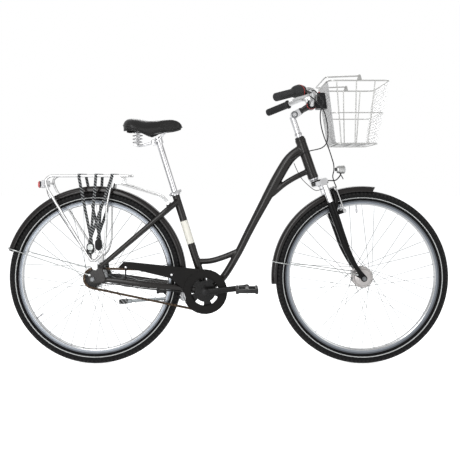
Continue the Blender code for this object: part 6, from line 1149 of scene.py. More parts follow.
def build_pedal(name):
    centre = PEDALS[name]
    body = "pedal_" + name

    def frame_shape(shape):
        rod(shape, centre - ACROSS * 0.0448, centre + ACROSS * 0.0448, 0.0084, 28)
        for end in (-1, 1):
            bevelled_bar(shape, centre + AHEAD * end * PEDAL_HALF, (0.0118, 0.0936, 0.0216), 0.0030)
            bevelled_bar(shape, centre + ACROSS * end * 0.041, (0.083, 0.0118, 0.0156), 0.0026)
    make("pedal_body_" + name, PEDAL_PLASTIC, body, frame_shape, "pedal_" + name, slot="plastic_black")

    def grip_shape(shape):
        for end in (-1, 1):
            for level in (-1, 1):
                for step in range(7):
                    y = (step - 3) * 0.0120
                    middle = centre + AHEAD * end * PEDAL_HALF + ACROSS * y + UP * level * 0.0106
                    bevelled_bar(shape, middle, (0.0072, 0.0062, 0.0014), 0.0005)
    make("pedal_treads_" + name, TREAD_RUBBER, body, grip_shape, slot="rubber_black")

    def lens_shape(shape):
        for end in (-1, 1):
            bevelled_bar(shape, centre + AHEAD * end * 0.0436, (0.0010, 0.0600, 0.0130), 0.0003)
    make("pedal_reflectors_" + name, AMBER, body, lens_shape)


def bevelled_bar(shape, centre, size, bevel):
    """A bar with bevelled edges."""
    place = Matrix.LocRotScale(centre, None, Vector(size))
    corners = bmesh.ops.create_cube(shape, size=1.0, matrix=place)["verts"]
    edges = list(dict.fromkeys(edge for corner in corners for edge in corner.link_edges))
    bmesh.ops.bevel(shape, geom=edges, offset=bevel, segments=3, profile=0.5, affect="EDGES",
                    clamp_overlap=True, material=-1)


def build_spider_disc():
    """Round plate of the chainring's spider, behind the guard's window."""
    rows = [(0.0210, -0.0418), (0.0428, -0.0418), (0.0434, -0.0424), (0.0434, -0.0438), (0.0428, -0.0444),
            (0.0210, -0.0444)]
    make("spider_disc", CRANK_PAINT, "crank",
         lambda shape: turned(shape, rows, BOTTOM_BRACKET, ACROSS, 64, closed=True), slot="gloss_dark")


def build_guard_trim():
    """Screws of the chain guard and its raised rim round the window."""
    face = -0.0575 - 0.0001

    def screws(shape):
        for place in (REAR_AXLE + Vector((0.131, 0, 0.046)), BOTTOM_BRACKET + Vector((-0.1353, 0, 0.069))):
            start = Vector((place.x, face, place.z))
            sweep(shape, [start, start - ACROSS * 0.0010, start - ACROSS * 0.0020, start - ACROSS * 0.0024],
                  [0.0048, 0.0048, 0.0036, 0.0018], 24)
    make("guard_screws", CHROME, "frame_body", screws, slot="satin_steel")

    def lip(shape):
        ring(shape, (BOTTOM_BRACKET.x, face - 0.0002, BOTTOM_BRACKET.z), 0.0572, 0.0011, ACROSS, 96, 10)
        ring(shape, (BOTTOM_BRACKET.x, face - 0.0002, BOTTOM_BRACKET.z), 0.0880, 0.0009, ACROSS, 96, 8)
    make("guard_lip", GUARD, "frame_body", lip, slot="gloss_dark")


def build_drive():
    for name, side in (("right", -1), ("left", 1)):
        build_crank(name, side)
        build_pedal(name)
    build_spider_disc()
    build_guard_trim()


# Saddle

CLAMP_PIVOT = Vector((-0.30834, 0, 0.90942))
SADDLE_REAR_X = -0.4330
SADDLE_LEVEL = 1.0060
# From the rear to the nose: distance, half width, and depth of the top, side and skirt
SADDLE_ROWS = [(0.000, 0.040, 0.0240, 0.030, 0.0390), (0.012, 0.073, 0.0055, 0.022, 0.0440),
               (0.030, 0.091, 0.0000, 0.018, 0.0445), (0.050, 0.094, 0.0002, 0.018, 0.0475),
               (0.070, 0.090, 0.0030, 0.021, 0.0560), (0.090, 0.080, 0.0078, 0.026, 0.0660),
               (0.108, 0.069, 0.0092, 0.027, 0.0710), (0.126, 0.057, 0.0080, 0.026, 0.0665),
               (0.145, 0.046, 0.0055, 0.024, 0.0575), (0.165, 0.037, 0.0020, 0.019, 0.0515),
               (0.200, 0.031, 0.0003, 0.016, 0.0480), (0.222, 0.026, 0.0056, 0.021, 0.0455),
               (0.2335, 0.0190, 0.0150, 0.027, 0.0430), (0.241, 0.010, 0.0270, 0.0325, 0.0385)]
# Depth of the pad's underside at a distance from its rear
UNDER_ROWS = [(0.000, 0.0350), (0.012, 0.0385), (0.045, 0.0405), (0.070, 0.0460), (0.090, 0.0530), (0.108, 0.0570),
              (0.126, 0.0560), (0.145, 0.0520), (0.170, 0.0480), (0.200, 0.0450), (0.222, 0.0400), (0.241, 0.0330)]
PAD_LENGTH = 0.241
PAD_SHRINK = 0.0016
PAD_CAP = 0.0050
PAD_VOXEL = 0.0045
CLOTH_FRAMES = 20
# The springs' distance from the saddle's rear, and the height of the bridge under them
SPRING_AHEAD = 0.056
BRIDGE_LEVEL = 0.8962


def saddle_stations(count):
    """The saddle's rows eased along its length, closer together at its ends."""
    rows = SADDLE_ROWS
    knots = [Vector((row[0], row[1], row[2])) for row in rows]
    other = [Vector((row[0], row[3], row[4])) for row in rows]
    first = smooth_path(knots, count)
    second = smooth_path(other, count)
    table = [(point.x, point.y, point.z) for point in second]
    result = []
    for point in first:
        side, skirt = interpolated(table, min(point.x, table[-1][0]))
        result.append((point.x, point.y, point.z, side, skirt))
    return result


def pad_under(along):
    return SADDLE_LEVEL - interpolated(UNDER_ROWS, min(max(along, 0.0), PAD_LENGTH))[0]


def pad_section(along, half, top, side, skirt, shrink, count=44):
    """Right half of the pad's section at one station, as (y, z) points from its top to its underside."""
    peak = SADDLE_LEVEL - top - shrink
    side_z = SADDLE_LEVEL - side
    under = pad_under(along)
    low = min(SADDLE_LEVEL - skirt, under - 0.0004)
    half = max(half - shrink, 0.004)
    right = [(0.0, peak - 0.0012), (half * 0.26, peak - 0.0004), (half * 0.52, peak), (half * 0.80, side_z + 0.0085),
             (half * 0.97, (side_z * 0.55 + low * 0.45) + 0.002), (half * 0.985, low + 0.007), (half * 0.94, low),
             (half * 0.84, low + 0.0012), (half * 0.76, under + 0.0002)]
    return [(point.x, point.y) for point in smooth_path([Vector((y, z, 0)) for y, z in right], count)]


def build_pad_shape(shape):
    rows = []
    for along, half, top, side, skirt in saddle_stations(64):
        outline = pad_section(along, half, top, side, skirt, PAD_SHRINK)
        x = SADDLE_REAR_X + along
        right = [Vector((x, -y, z)) for y, z in outline]
        left = [Vector((x, y, z)) for y, z in outline[1:]]
        rows.append(right + left[::-1])
    first = [point + AHEAD * PAD_SHRINK for point in rows[0]]
    last = [point - AHEAD * PAD_SHRINK for point in rows[-1]]
    skin(shape, [first] + rows[1:-1] + [last])


def swell_pad(obj):
    """Fills the pad with air by a short cloth simulation, with its underside held."""
    melt = obj.modifiers.new("melt", "REMESH")
    melt.mode = "VOXEL"
    melt.voxel_size = PAD_VOXEL
    apply_modifiers(obj)
    start = [vertex.co.copy() for vertex in obj.data.vertices]
    held = obj.vertex_groups.new(name="held")
    held.add([index for index, point in enumerate(start)
              if point.z < pad_under(point.x - SADDLE_REAR_X) + 0.0035], 1.0, "REPLACE")
    cloth = obj.modifiers.new("cloth", "CLOTH")
    settings = cloth.settings
    settings.quality = 6
    settings.mass = 0.35
    settings.tension_stiffness = 12
    settings.compression_stiffness = 12
    settings.bending_stiffness = 2.0
    settings.use_pressure = True
    settings.uniform_pressure_force = 4.0
    settings.vertex_group_mass = "held"
    settings.effector_weights.gravity = 0
    cloth.point_cache.frame_end = CLOTH_FRAMES
    for number in range(1, CLOTH_FRAMES + 1):
        bpy.context.scene.frame_set(number)
    apply_modifiers(obj)
    for vertex, before in zip(obj.data.vertices, start):
        moved = vertex.co - before
        if moved.length > PAD_CAP:
            vertex.co = before + moved.normalized() * PAD_CAP
    bpy.context.scene.frame_set(1)


def apply_modifiers(obj):
    """Applies all of a piece's modifiers to its mesh."""
    graph = bpy.context.evaluated_depsgraph_get()
    made = bpy.data.meshes.new_from_object(obj.evaluated_get(graph))
    materials = list(obj.data.materials)
    obj.modifiers.clear()
    obj.data = made
    made.materials.clear()
    for material in materials:
        made.materials.append(material)


def build_pad():
    pad = make("saddle_pad", VINYL, None, build_pad_shape)
    swell_pad(pad)
    ease = pad.modifiers.new("ease", "SMOOTH")
    ease.factor = 0.5
    ease.iterations = 3
    fit_pad(pad)
    pad.modifiers.new("fine", "SUBSURF").levels = 1
    pad.modifiers["fine"].render_levels = 1
    for polygon in pad.data.polygons:
        polygon.use_smooth = True
    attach(pad, "saddle")
    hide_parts("saddle")
    make("saddle_seam", SEAM, "saddle", build_seam, slot="saddle_cover")


def fit_pad(pad):
    """Keeps the swollen pad inside the room that the saddle has."""
    apply_modifiers(pad)
    for vertex in pad.data.vertices:
        point = vertex.co
        along = min(max(point.x - SADDLE_REAR_X, 0.0), PAD_LENGTH)
        half = interpolated([(row[0], row[1]) for row in SADDLE_ROWS], along)[0] + 0.0012
        point.x = min(max(point.x, SADDLE_REAR_X + 0.0002), SADDLE_REAR_X + PAD_LENGTH - 0.0002)
        point.y = min(max(point.y, -half), half)
        point.z = min(point.z, SADDLE_LEVEL - 0.0002)
        if abs(point.y) < half * 0.70:
            point.z = max(point.z, pad_under(along))


def build_seam(shape):
    """Welted seam round the pad above its skirt."""
    path = []
    for along, half, _, _, skirt in saddle_stations(60):
        low = min(SADDLE_LEVEL - skirt, pad_under(along) - 0.0004)
        dip = 0.0050 * max(0.0, along / 0.22 - 1.0) / 0.095
        path.append(Vector((SADDLE_REAR_X + along, -(half * 0.992 - 0.0004), low + 0.0125 - dip)))
    path[0].x += 0.0024
    path[-1].x -= 0.0008
    sweep(shape, path + mirror(reversed(path)), 0.0011, 8, closed=True)


def build_springs():
    bottom, top = 0.8980, pad_under(SPRING_AHEAD) - 0.0040
    wire, coil, turns = 0.0019, 0.0135, 4
    straight = 2 * wire
    for name, side in (("right", -1), ("left", 1)):
        centre = Vector((SADDLE_REAR_X + SPRING_AHEAD, side * 0.046, 0))
        points = []
        count = 30 * turns
        for index in range(count + 1):
            share = index / count
            angle = side * 2 * math.pi * turns * share
            height = bottom + straight + (top - bottom - 2 * straight) * share
            points.append(centre + Vector((coil * math.cos(angle), coil * math.sin(angle), height)))
        points.insert(0, points[0] - UP * straight)
        points.append(points[-1] + UP * straight)
        make("spring_coil_" + name, CHROME, "saddle", lambda shape: sweep(shape, points, wire, 12),
             "saddle_spring_" + name, slot="chrome")


def build_rails_shape(shape):
    spring_x = SADDLE_REAR_X + SPRING_AHEAD
    pivot = CLAMP_PIVOT
    right = [(spring_x, -0.026, BRIDGE_LEVEL), (spring_x + 0.026, -0.022, BRIDGE_LEVEL + 0.003),
             (pivot.x + 0.004, -0.022, pivot.z + 0.004), (pivot.x + 0.0225, -0.0215, pivot.z + 0.0125),
             (pivot.x + 0.0380, -0.0200, pad_under(0.163) - 0.0072),
             (pivot.x + 0.0480, -0.0120, pad_under(0.170) - 0.0062)]
    right = [Vector(point) for point in right]
    sweep(shape, bent(right + mirror(reversed(right)), 0.014), 0.0035, 14)
    for side in (-1, 1):
        start = pivot + ACROSS * side * 0.0176
        stations = [0.0, 0.0004, 0.0026, 0.0030, 0.0040, 0.0044, 0.0100, 0.0108]
        radii = [0.0112, 0.0120, 0.0120, 0.0108, 0.0108, 0.0118, 0.0118, 0.0104]
        sweep(shape, [start + ACROSS * side * station for station in stations], radii, 28)
        hexagon_nut(shape, pivot + ACROSS * side * 0.0282, ACROSS * side, 0.0110, 0.0038, 1.1)


def build_pan_shape(shape):
    """Moulded shell that follows the pad's underside, with a rim turned down."""
    rows = []
    for along, half, *_ in saddle_stations(40)[2:-2]:
        top_z = pad_under(along) - 0.0004
        reach = half * 0.80
        drop = 0.0052 + 0.0095 * max(0.0, 1.0 - along / 0.085)
        section = [(reach, top_z), (reach, top_z - drop), (reach - 0.0024, top_z - drop),
                   (reach - 0.0030, top_z - 0.0026)]
        right = [Vector((SADDLE_REAR_X + along, -y, z)) for y, z in section]
        left = [Vector((SADDLE_REAR_X + along, y, z)) for y, z in section]
        rows.append(right + left[::-1])
    skin(shape, rows)


def build_seat():
    build_pad()
    make("saddle_shell", PLASTIC, "saddle", build_pan_shape, "saddle_pan", slot="plastic_black")
    build_springs()
    make("saddle_rail_wire", CHROME, "saddle", build_rails_shape, "saddle_rails", slot="chrome")

    def bridge(shape):
        bevelled_bar(shape, Vector((SADDLE_REAR_X + SPRING_AHEAD, 0, BRIDGE_LEVEL)), (0.0196, 0.1256, 0.0028), 0.0009)
    make("spring_bridge", CHROME, "saddle", bridge, slot="chrome")

    def post(shape):
        rod(shape, seat(0.270), seat(0.6600), 0.0127, 36)
        rod(shape, seat(0.6310), seat(0.6530), 0.0176, 36)
        rod(shape, CLAMP_PIVOT - ACROSS * 0.0171, CLAMP_PIVOT + ACROSS * 0.0171, 0.0088, 28)
        bevelled_bar(shape, seat(0.6420, -0.0150), (0.0110, 0.0200, 0.0150), 0.0020)
    make("seatpost_tube", CHROME, "seatpost", post, "seatpost", slot="polished_alloy")


# Fork

LEG_Y = 0.055
LEG_AHEAD = 0.028
LEG_ROWS = [(-0.1120, 0.028, 0.0163), (-0.1180, 0.028, 0.0165), (-0.1240, 0.028, 0.0163), (-0.1290, 0.028, 0.0151),
            (-0.2620, 0.028, 0.0149), (-0.3200, 0.029, 0.0125), (-0.3850, 0.038, 0.0106), (-0.4320, 0.052, 0.0088)]


def brake_pivot(side):
    return head(-0.1655, 0.070, side * (LEG_Y - 0.010))


def build_lowers_shape(shape):
    for side in (-1, 1):
        points, (radii,) = smooth_table([(head(along, ahead, side * LEG_Y), radius)
                                         for along, ahead, radius in LEG_ROWS], 70)
        sweep(shape, points, radii, 24)
        slab(shape, dropout_outline(False), side * FRONT_DROPOUT_Y, 0.006, 0.001)
        pivot = brake_pivot(side)
        rod(shape, pivot - HEAD_FORWARD * 0.038, pivot - HEAD_FORWARD * 0.0050, 0.0074, 20)
    right = [head(-0.152, 0.036, -LEG_Y), head(-0.118, 0.0515, -0.054), head(-0.0775, 0.0555, -0.043),
             head(-0.0655, 0.0555, -0.026)]
    arch = smooth_path(right + mirror(reversed(right)), 50)
    oval(shape, arch, [0.0080] * 50, [0.0052] * 50, 18, HEAD_FORWARD)


def build_fork():
    lowers = make("fork_legs", FORK_GLOSS, "fork_lower", build_lowers_shape, "fork_lowers", slot="fork_black")
    melt_joints(lowers, 0.0013, 3)

    def pins(shape):
        for side in (-1, 1):
            pivot = brake_pivot(side)
            rod(shape, pivot - HEAD_FORWARD * 0.0070, pivot + HEAD_FORWARD * 0.0060, 0.0034, 16)
            sweep(shape, [pivot + HEAD_FORWARD * 0.0049, pivot + HEAD_FORWARD * 0.0082,
                          pivot + HEAD_FORWARD * 0.0090], [0.0060, 0.0060, 0.0048], 24)
    make("brake_pins", CHROME, "fork_lower", pins, slot="satin_steel")

    def wipers(shape):
        for side in (-1, 1):
            points = [head(-0.1128, LEG_AHEAD, side * LEG_Y), head(-0.1116, LEG_AHEAD, side * LEG_Y)]
            sweep(shape, points, [0.0158, 0.0150], 32)
    make("fork_seals", RUBBER, "fork_lower", wipers, slot="rubber_black")


def build_headlamp():
    back = HEAD_BASE + Vector((0.0950, 0, 0.0355))
    shell_rows = [(0.0, 0.0), (0.0110, 0.0003), (0.0140, 0.0018), (0.0158, 0.0050), (0.0162, 0.0095),
                  (0.0168, 0.0100), (0.0173, 0.0180), (0.0173, 0.0240), (0.0178, 0.0245), (0.0178, 0.0318),
                  (0.0170, 0.0326), (0.0164, 0.0318), (0.0164, 0.0260), (0.0, 0.0240)]
    make("lamp_shell", LAMP_SILVER, "steering", lambda shape: turned(shape, shell_rows, back, AHEAD, 48),
         "headlamp", slot="chrome")
    glass_rows = [(0.0, 0.0386), (0.0060, 0.0382), (0.0115, 0.0366), (0.0150, 0.0340), (0.0162, 0.0318),
                  (0.0162, 0.0270), (0.0, 0.0270)]
    make("lamp_lens", LENS, "steering", lambda shape: turned(shape, glass_rows, back, AHEAD, 48),
         slot="chrome")

    def bracket(shape):
        face = head(-0.0253, 0.0423)
        sweep(shape, [face, face + HEAD_FORWARD * 0.0058], 0.0072, 24)
        hexagon_nut(shape, face + HEAD_FORWARD * 0.0050, HEAD_FORWARD, 0.0080, 0.0012, 1.0)
        path = [face + HEAD_FORWARD * 0.003, Vector((0.4150, 0, 0.7540)), Vector((0.4400, 0, 0.7550)),
                Vector((0.4565, 0, 0.7700)), Vector((0.4640, 0, 0.7850))]
        oval(shape, smooth_path(path, 18), [0.0074] * 18, [0.0026] * 18, 16)
        path = [Vector((0.4612, 0, 0.7790)), Vector((0.4690, 0, 0.7670)), Vector((0.4720, 0, 0.7595))]
        oval(shape, smooth_path(path, 8), [0.0050] * 8, [0.0020] * 8, 16)
        oval(shape, [back + AHEAD * x + UP * 0.001 for x in (-0.0062, -0.0056, 0.0006, 0.0012)],
             [0.0052, 0.0066, 0.0066, 0.0060], [0.0060, 0.0074, 0.0074, 0.0068], 16)
    make("lamp_bracket", PLASTIC, "steering", bracket, slot="plastic_black")


# Stem and handlebar

STEM_PIVOT = Vector((0.27, 0, 1.02438))
BAR_CLAMP = Vector((0.33943, 0, 1.0661))
BAR_ROUTE = [(0.000, 0.000, 0.0365), (-0.002, 0.012, 0.070), (-0.004, 0.031, 0.108), (-0.012, 0.041, 0.145),
             (-0.027, 0.0425, 0.176), (-0.0464, 0.0372, 0.200)]
BAR_TIP = (-0.1624, -0.0028, 0.297)
BAR_RADIUS = 0.0111


def bar_place(offset, side):
    forward, rise, out = offset
    return BAR_CLAMP + Vector((forward, side * out, rise))


def bar_outward(side):
    return (bar_place(BAR_TIP, side) - bar_place(BAR_ROUTE[-1], side)).normalized()


def bar_station(side, from_tip):
    return bar_place(BAR_TIP, side) - bar_outward(side) * from_tip


def build_bar_shape(shape):
    half = smooth_path([bar_place(offset, 1) for offset in BAR_ROUTE], 26)
    left = half + [bar_place(BAR_TIP, 1)]
    radii = [0.0127] + [0.0127 - (0.0127 - BAR_RADIUS) * min(1.0, step / 3) for step in range(1, 26)] + [BAR_RADIUS]
    points = mirror(reversed(left)) + left
    sweep(shape, points, radii[::-1] + radii, 28)


def sleeve(profile, side, steps=48, ribs=None):
    """A turned sleeve on the bar's straight part; its heights run outwards from the tip."""
    return lambda shape: turned(shape, profile, bar_place(BAR_TIP, side), bar_outward(side), steps, closed=True,
                                ribs=ribs)


def grip_profile(length, flange):
    hole = BAR_RADIUS + 0.0004
    profile = [(hole, 0.0008), (0.0006, 0.0008), (0.0006, 0.0040), (0.0105, 0.0040), (0.0140, 0.0032),
               (0.0158, 0.0008), (0.0161, -0.0040)]
    count = int((length - 0.022) / 0.0026)
    for index in range(count):
        low = -0.010 - index * 0.0026
        profile += [(0.0161, low), (0.0153, low - 0.0007), (0.0153, low - 0.0013), (0.0161, low - 0.0019)]
    profile += [(0.0162, -length + 0.0080), (0.0162 + flange, -length + 0.0064), (0.0162 + flange, -length + 0.0008),
                (0.0158 + flange, -length + 0.0002), (hole, -length + 0.0002)]
    return profile


def build_grips():
    for name, side, length, flange in (("right", -1, 0.088, 0.0), ("left", 1, 0.118, 0.0030)):
        make("grip_sleeve_" + name, GRIP, "stem", sleeve(grip_profile(length, flange), side), "grip_" + name,
             slot="rubber_black")
    start, end = 0.0883, 0.1283
    hole = BAR_RADIUS + 0.0004
    rows = [(hole, -start), (0.0164, -start), (0.0172, -start - 0.0010), (0.0190, -start - 0.0050),
            (0.0216, -start - 0.0105), (0.0236, -start - 0.0165), (0.0248, -start - 0.0240),
            (0.0252, -start - 0.0320), (0.0250, -end + 0.0010), (0.0244, -end), (hole, -end)]

    def knurl(angle, height):
        inside = start + 0.0008 < -height < end - 0.0015
        return 1.0 + (0.014 * math.sin(angle * 28) if inside else 0.0)
    dense = []
    for first, second in zip(rows, rows[1:]):
        dense += [(first[0] + (second[0] - first[0]) * step / 2, first[1] + (second[1] - first[1]) * step / 2)
                  for step in range(2)]
    make("shift_grip_sleeve", GRIP, "shift_grip", sleeve(dense + [rows[-1]], -1, 168, knurl), "shift_grip",
         slot="rubber_black")
    ring_rows = [(0.0112, -0.1288), (0.0244, -0.1288), (0.0252, -0.1293), (0.0252, -0.1304), (0.0244, -0.1309),
                 (0.0112, -0.1309)]
    make("shifter_ring", RED_ACCENT, "stem", sleeve(ring_rows, -1), slot="plastic_black")


def build_bar():
    make("bar_tube", BAR_ALLOY, "stem", build_bar_shape, "handlebar", slot="polished_alloy")
    build_grips()

    def accents(shape):
        for side in (-1, 1):
            arc = [BAR_CLAMP + Vector((0.0176 * math.cos(math.radians(degrees)), side * 0.0211,
                                       0.0176 * math.sin(math.radians(degrees)))) for degrees in range(170, 331, 8)]
            oval(shape, arc, [0.0010] * len(arc), [0.0024] * len(arc), 12)
    make("stem_accents", RED_ACCENT, "stem", accents, slot="plastic_black")

    def bolt(shape):
        for side in (-1, 1):
            rows = [(0.0, 0.0242), (0.0030, 0.0242), (0.0036, 0.0260), (0.0072, 0.0262), (0.0082, 0.0252),
                    (0.0082, 0.0210), (0.0, 0.0210)]
            turned(shape, rows, STEM_PIVOT, ACROSS * side, 48)
    make("stem_pivot_bolts", CROWN_ALLOY, "stem", bolt, slot="polished_alloy")

    def washer(shape):
        for side in (-1, 1):
            rows = [(0.0083, 0.0210), (0.0083, 0.0244), (0.0128, 0.0242), (0.0138, 0.0234), (0.0140, 0.0210)]
            turned(shape, rows, STEM_PIVOT, ACROSS * side, 48, closed=True)
    make("stem_pivot_rings", NUT_STEEL, "stem", washer, slot="satin_steel")


# Basket

BASKET_TOP = 1.1443
BASKET_FLOOR = 0.8993
BASKET_REAR_X = 0.38703
BASKET_FRONT_X = 0.63003
BASKET_HALF = 0.165
HANDLE = Vector((0.51003, 0, 1.1623))
RIM_WIRE = 0.0029
WALL_WIRE = 0.0022
NET_WIRE = 0.00085


def basket_level(z):
    share = (BASKET_TOP - z) / (BASKET_TOP - BASKET_FLOOR)
    return BASKET_REAR_X + share * 0.033, BASKET_FRONT_X - share * 0.040, BASKET_HALF - share * 0.030


def basket_ring(shape, z, wire):
    rear, front, half = basket_level(z)
    corner = 0.028
    points = []
    for x, y, start in ((front - corner, half - corner, 0), (rear + corner, half - corner, 90),
                        (rear + corner, -half + corner, 180), (front - corner, -half + corner, 270)):
        for step in range(9):
            angle = math.radians(start + 90 * step / 8)
            points.append(Vector((x + corner * math.cos(angle), y + corner * math.sin(angle), z)))
    sweep(shape, points, wire, 12, closed=True)


def basket_hoop(shape, share, wire):
    path = []
    for z in (BASKET_TOP, BASKET_FLOOR):
        rear, front, half = basket_level(z)
        path.append(Vector((rear + share * (front - rear), -half + 0.0011, z - 0.0003)))
    sweep(shape, bent(path + mirror(reversed(path)), 0.006), wire, 12)


def build_basket_frame(shape):
    middle = BASKET_FLOOR + (BASKET_TOP - BASKET_FLOOR) * 0.494
    basket_ring(shape, BASKET_TOP, RIM_WIRE)
    for z in (middle, BASKET_FLOOR):
        basket_ring(shape, z, WALL_WIRE)
    for share in (0.14, 0.46, 0.76):
        basket_hoop(shape, share, WALL_WIRE)
    for side in (-1, 1):
        ear = [(HANDLE.x - 0.0105, BASKET_TOP - 0.001), (HANDLE.x + 0.0105, BASKET_TOP - 0.001),
               (HANDLE.x + 0.0055, HANDLE.z + 0.001), (HANDLE.x + 0.0030, HANDLE.z + 0.0052),
               (HANDLE.x - 0.0030, HANDLE.z + 0.0052), (HANDLE.x - 0.0055, HANDLE.z + 0.001)]
        slab(shape, ear, side * BASKET_HALF, 0.0028, 0.0006)


def net_path(share, lift=0.0):
    """Down the front wall, over the floor and up the rear wall, a little inside the thick wires."""
    clear = WALL_WIRE + NET_WIRE + 0.0003 + lift
    rear, front, half = basket_level(BASKET_TOP)
    low_rear, low_front, low_half = basket_level(BASKET_FLOOR)
    top_y, low_y = share * (half - 0.014), share * (low_half - 0.012)
    low_z = BASKET_FLOOR + clear
    return [Vector((front - 0.001, top_y, BASKET_TOP - 0.0003)), Vector((low_front - clear, low_y, low_z)),
            Vector((low_rear + clear, low_y, low_z)), Vector((rear + 0.001, top_y, BASKET_TOP - 0.0003))]


def build_basket_net(shape):
    count = 25
    for index in range(count):
        sweep(shape, bent(net_path(2 * index / (count - 1) - 1), 0.008, 4), NET_WIRE, 6)
    for wall in (0, 1):
        for step in range(1, 20):
            share = step / 20
            left, right = net_path(1.0, 0.0012), net_path(-1.0, 0.0012)
            ends = [path[0].lerp(path[1], share) if wall == 0 else path[3].lerp(path[2], share)
                    for path in (left, right)]
            sweep(shape, ends, NET_WIRE, 6)
    for step in range(1, 14):
        share = step / 14
        ends = [path[1].lerp(path[2], share) for path in (net_path(1.0, 0.0012), net_path(-1.0, 0.0012))]
        sweep(shape, ends, NET_WIRE, 6)


def build_basket_handle(shape):
    arm_y = BASKET_HALF - 0.0015 - 0.0003 - 0.0030
    rear = BASKET_REAR_X - 0.010
    right = [Vector((HANDLE.x, -arm_y, HANDLE.z)), Vector((rear + 0.024, -arm_y, HANDLE.z - 0.004)),
             Vector((rear + 0.001, -arm_y + 0.001, HANDLE.z - 0.005)), Vector((rear, -arm_y + 0.030, HANDLE.z - 0.005))]
    sweep(shape, bent(right + mirror(reversed(right)), 0.020), 0.0029, 14)
    for side in (-1, 1):
        start = Vector((HANDLE.x, side * (arm_y - 0.0010), HANDLE.z))
        sweep(shape, [start - ACROSS * side * 0.0020, start + ACROSS * side * 0.0004], 0.0046, 20)
        sweep(shape, [start, start + ACROSS * side * 0.0108], 0.0021, 12)


def build_mount_plate(shape):
    top, low = BAR_CLAMP.z + 0.047, BAR_CLAMP.z - 0.0175
    rows = []
    for z in (low + 0.0004, low + 0.002, top - 0.002, top - 0.0004):
        x = basket_level(z)[0]
        edge = 0.0012 if z in (low + 0.0004, top - 0.0004) else 0.0
        outline = [(-0.0028 + edge, -0.031 + edge), (0.0028 - edge, -0.031 + edge), (0.0028 - edge, 0.031 - edge),
                   (-0.0028 + edge, 0.031 - edge)]
        rows.append([Vector((x + dx, y, z)) for dx, y in outline])
    skin(shape, rows)


def build_basket():
    make("basket_frame", BASKET_WIRE, "basket", build_basket_frame, "basket", slot="polished_alloy")
    make("basket_net", NET_METAL, "basket", build_basket_net, slot="polished_alloy")
    make("basket_bail", BASKET_WIRE, "basket_handle", build_basket_handle, "basket_handle",
         slot="polished_alloy")
    make("basket_mount_plate", PLASTIC, "basket", build_mount_plate, slot="plastic_black")


# Cables

DRUM_Y = 0.0577
CABLE_RADIUS = 0.0023
WIRE_RADIUS = 0.0014


def lever_forward():
    outward = bar_outward(-1)
    level = UP.cross(outward).normalized()
    upright = (UP - outward * outward.z).normalized()
    droop = math.radians(28)
    return (level * math.cos(droop) - upright * math.sin(droop)).normalized()


def under_chain_stay(station, radius, across):
    (x, y, z), wide, high = CHAIN_STAY[station]
    drop = high * math.sqrt(1 - (across / wide) ** 2) + radius + 0.0009
    return Vector((x, y + across, z - drop))


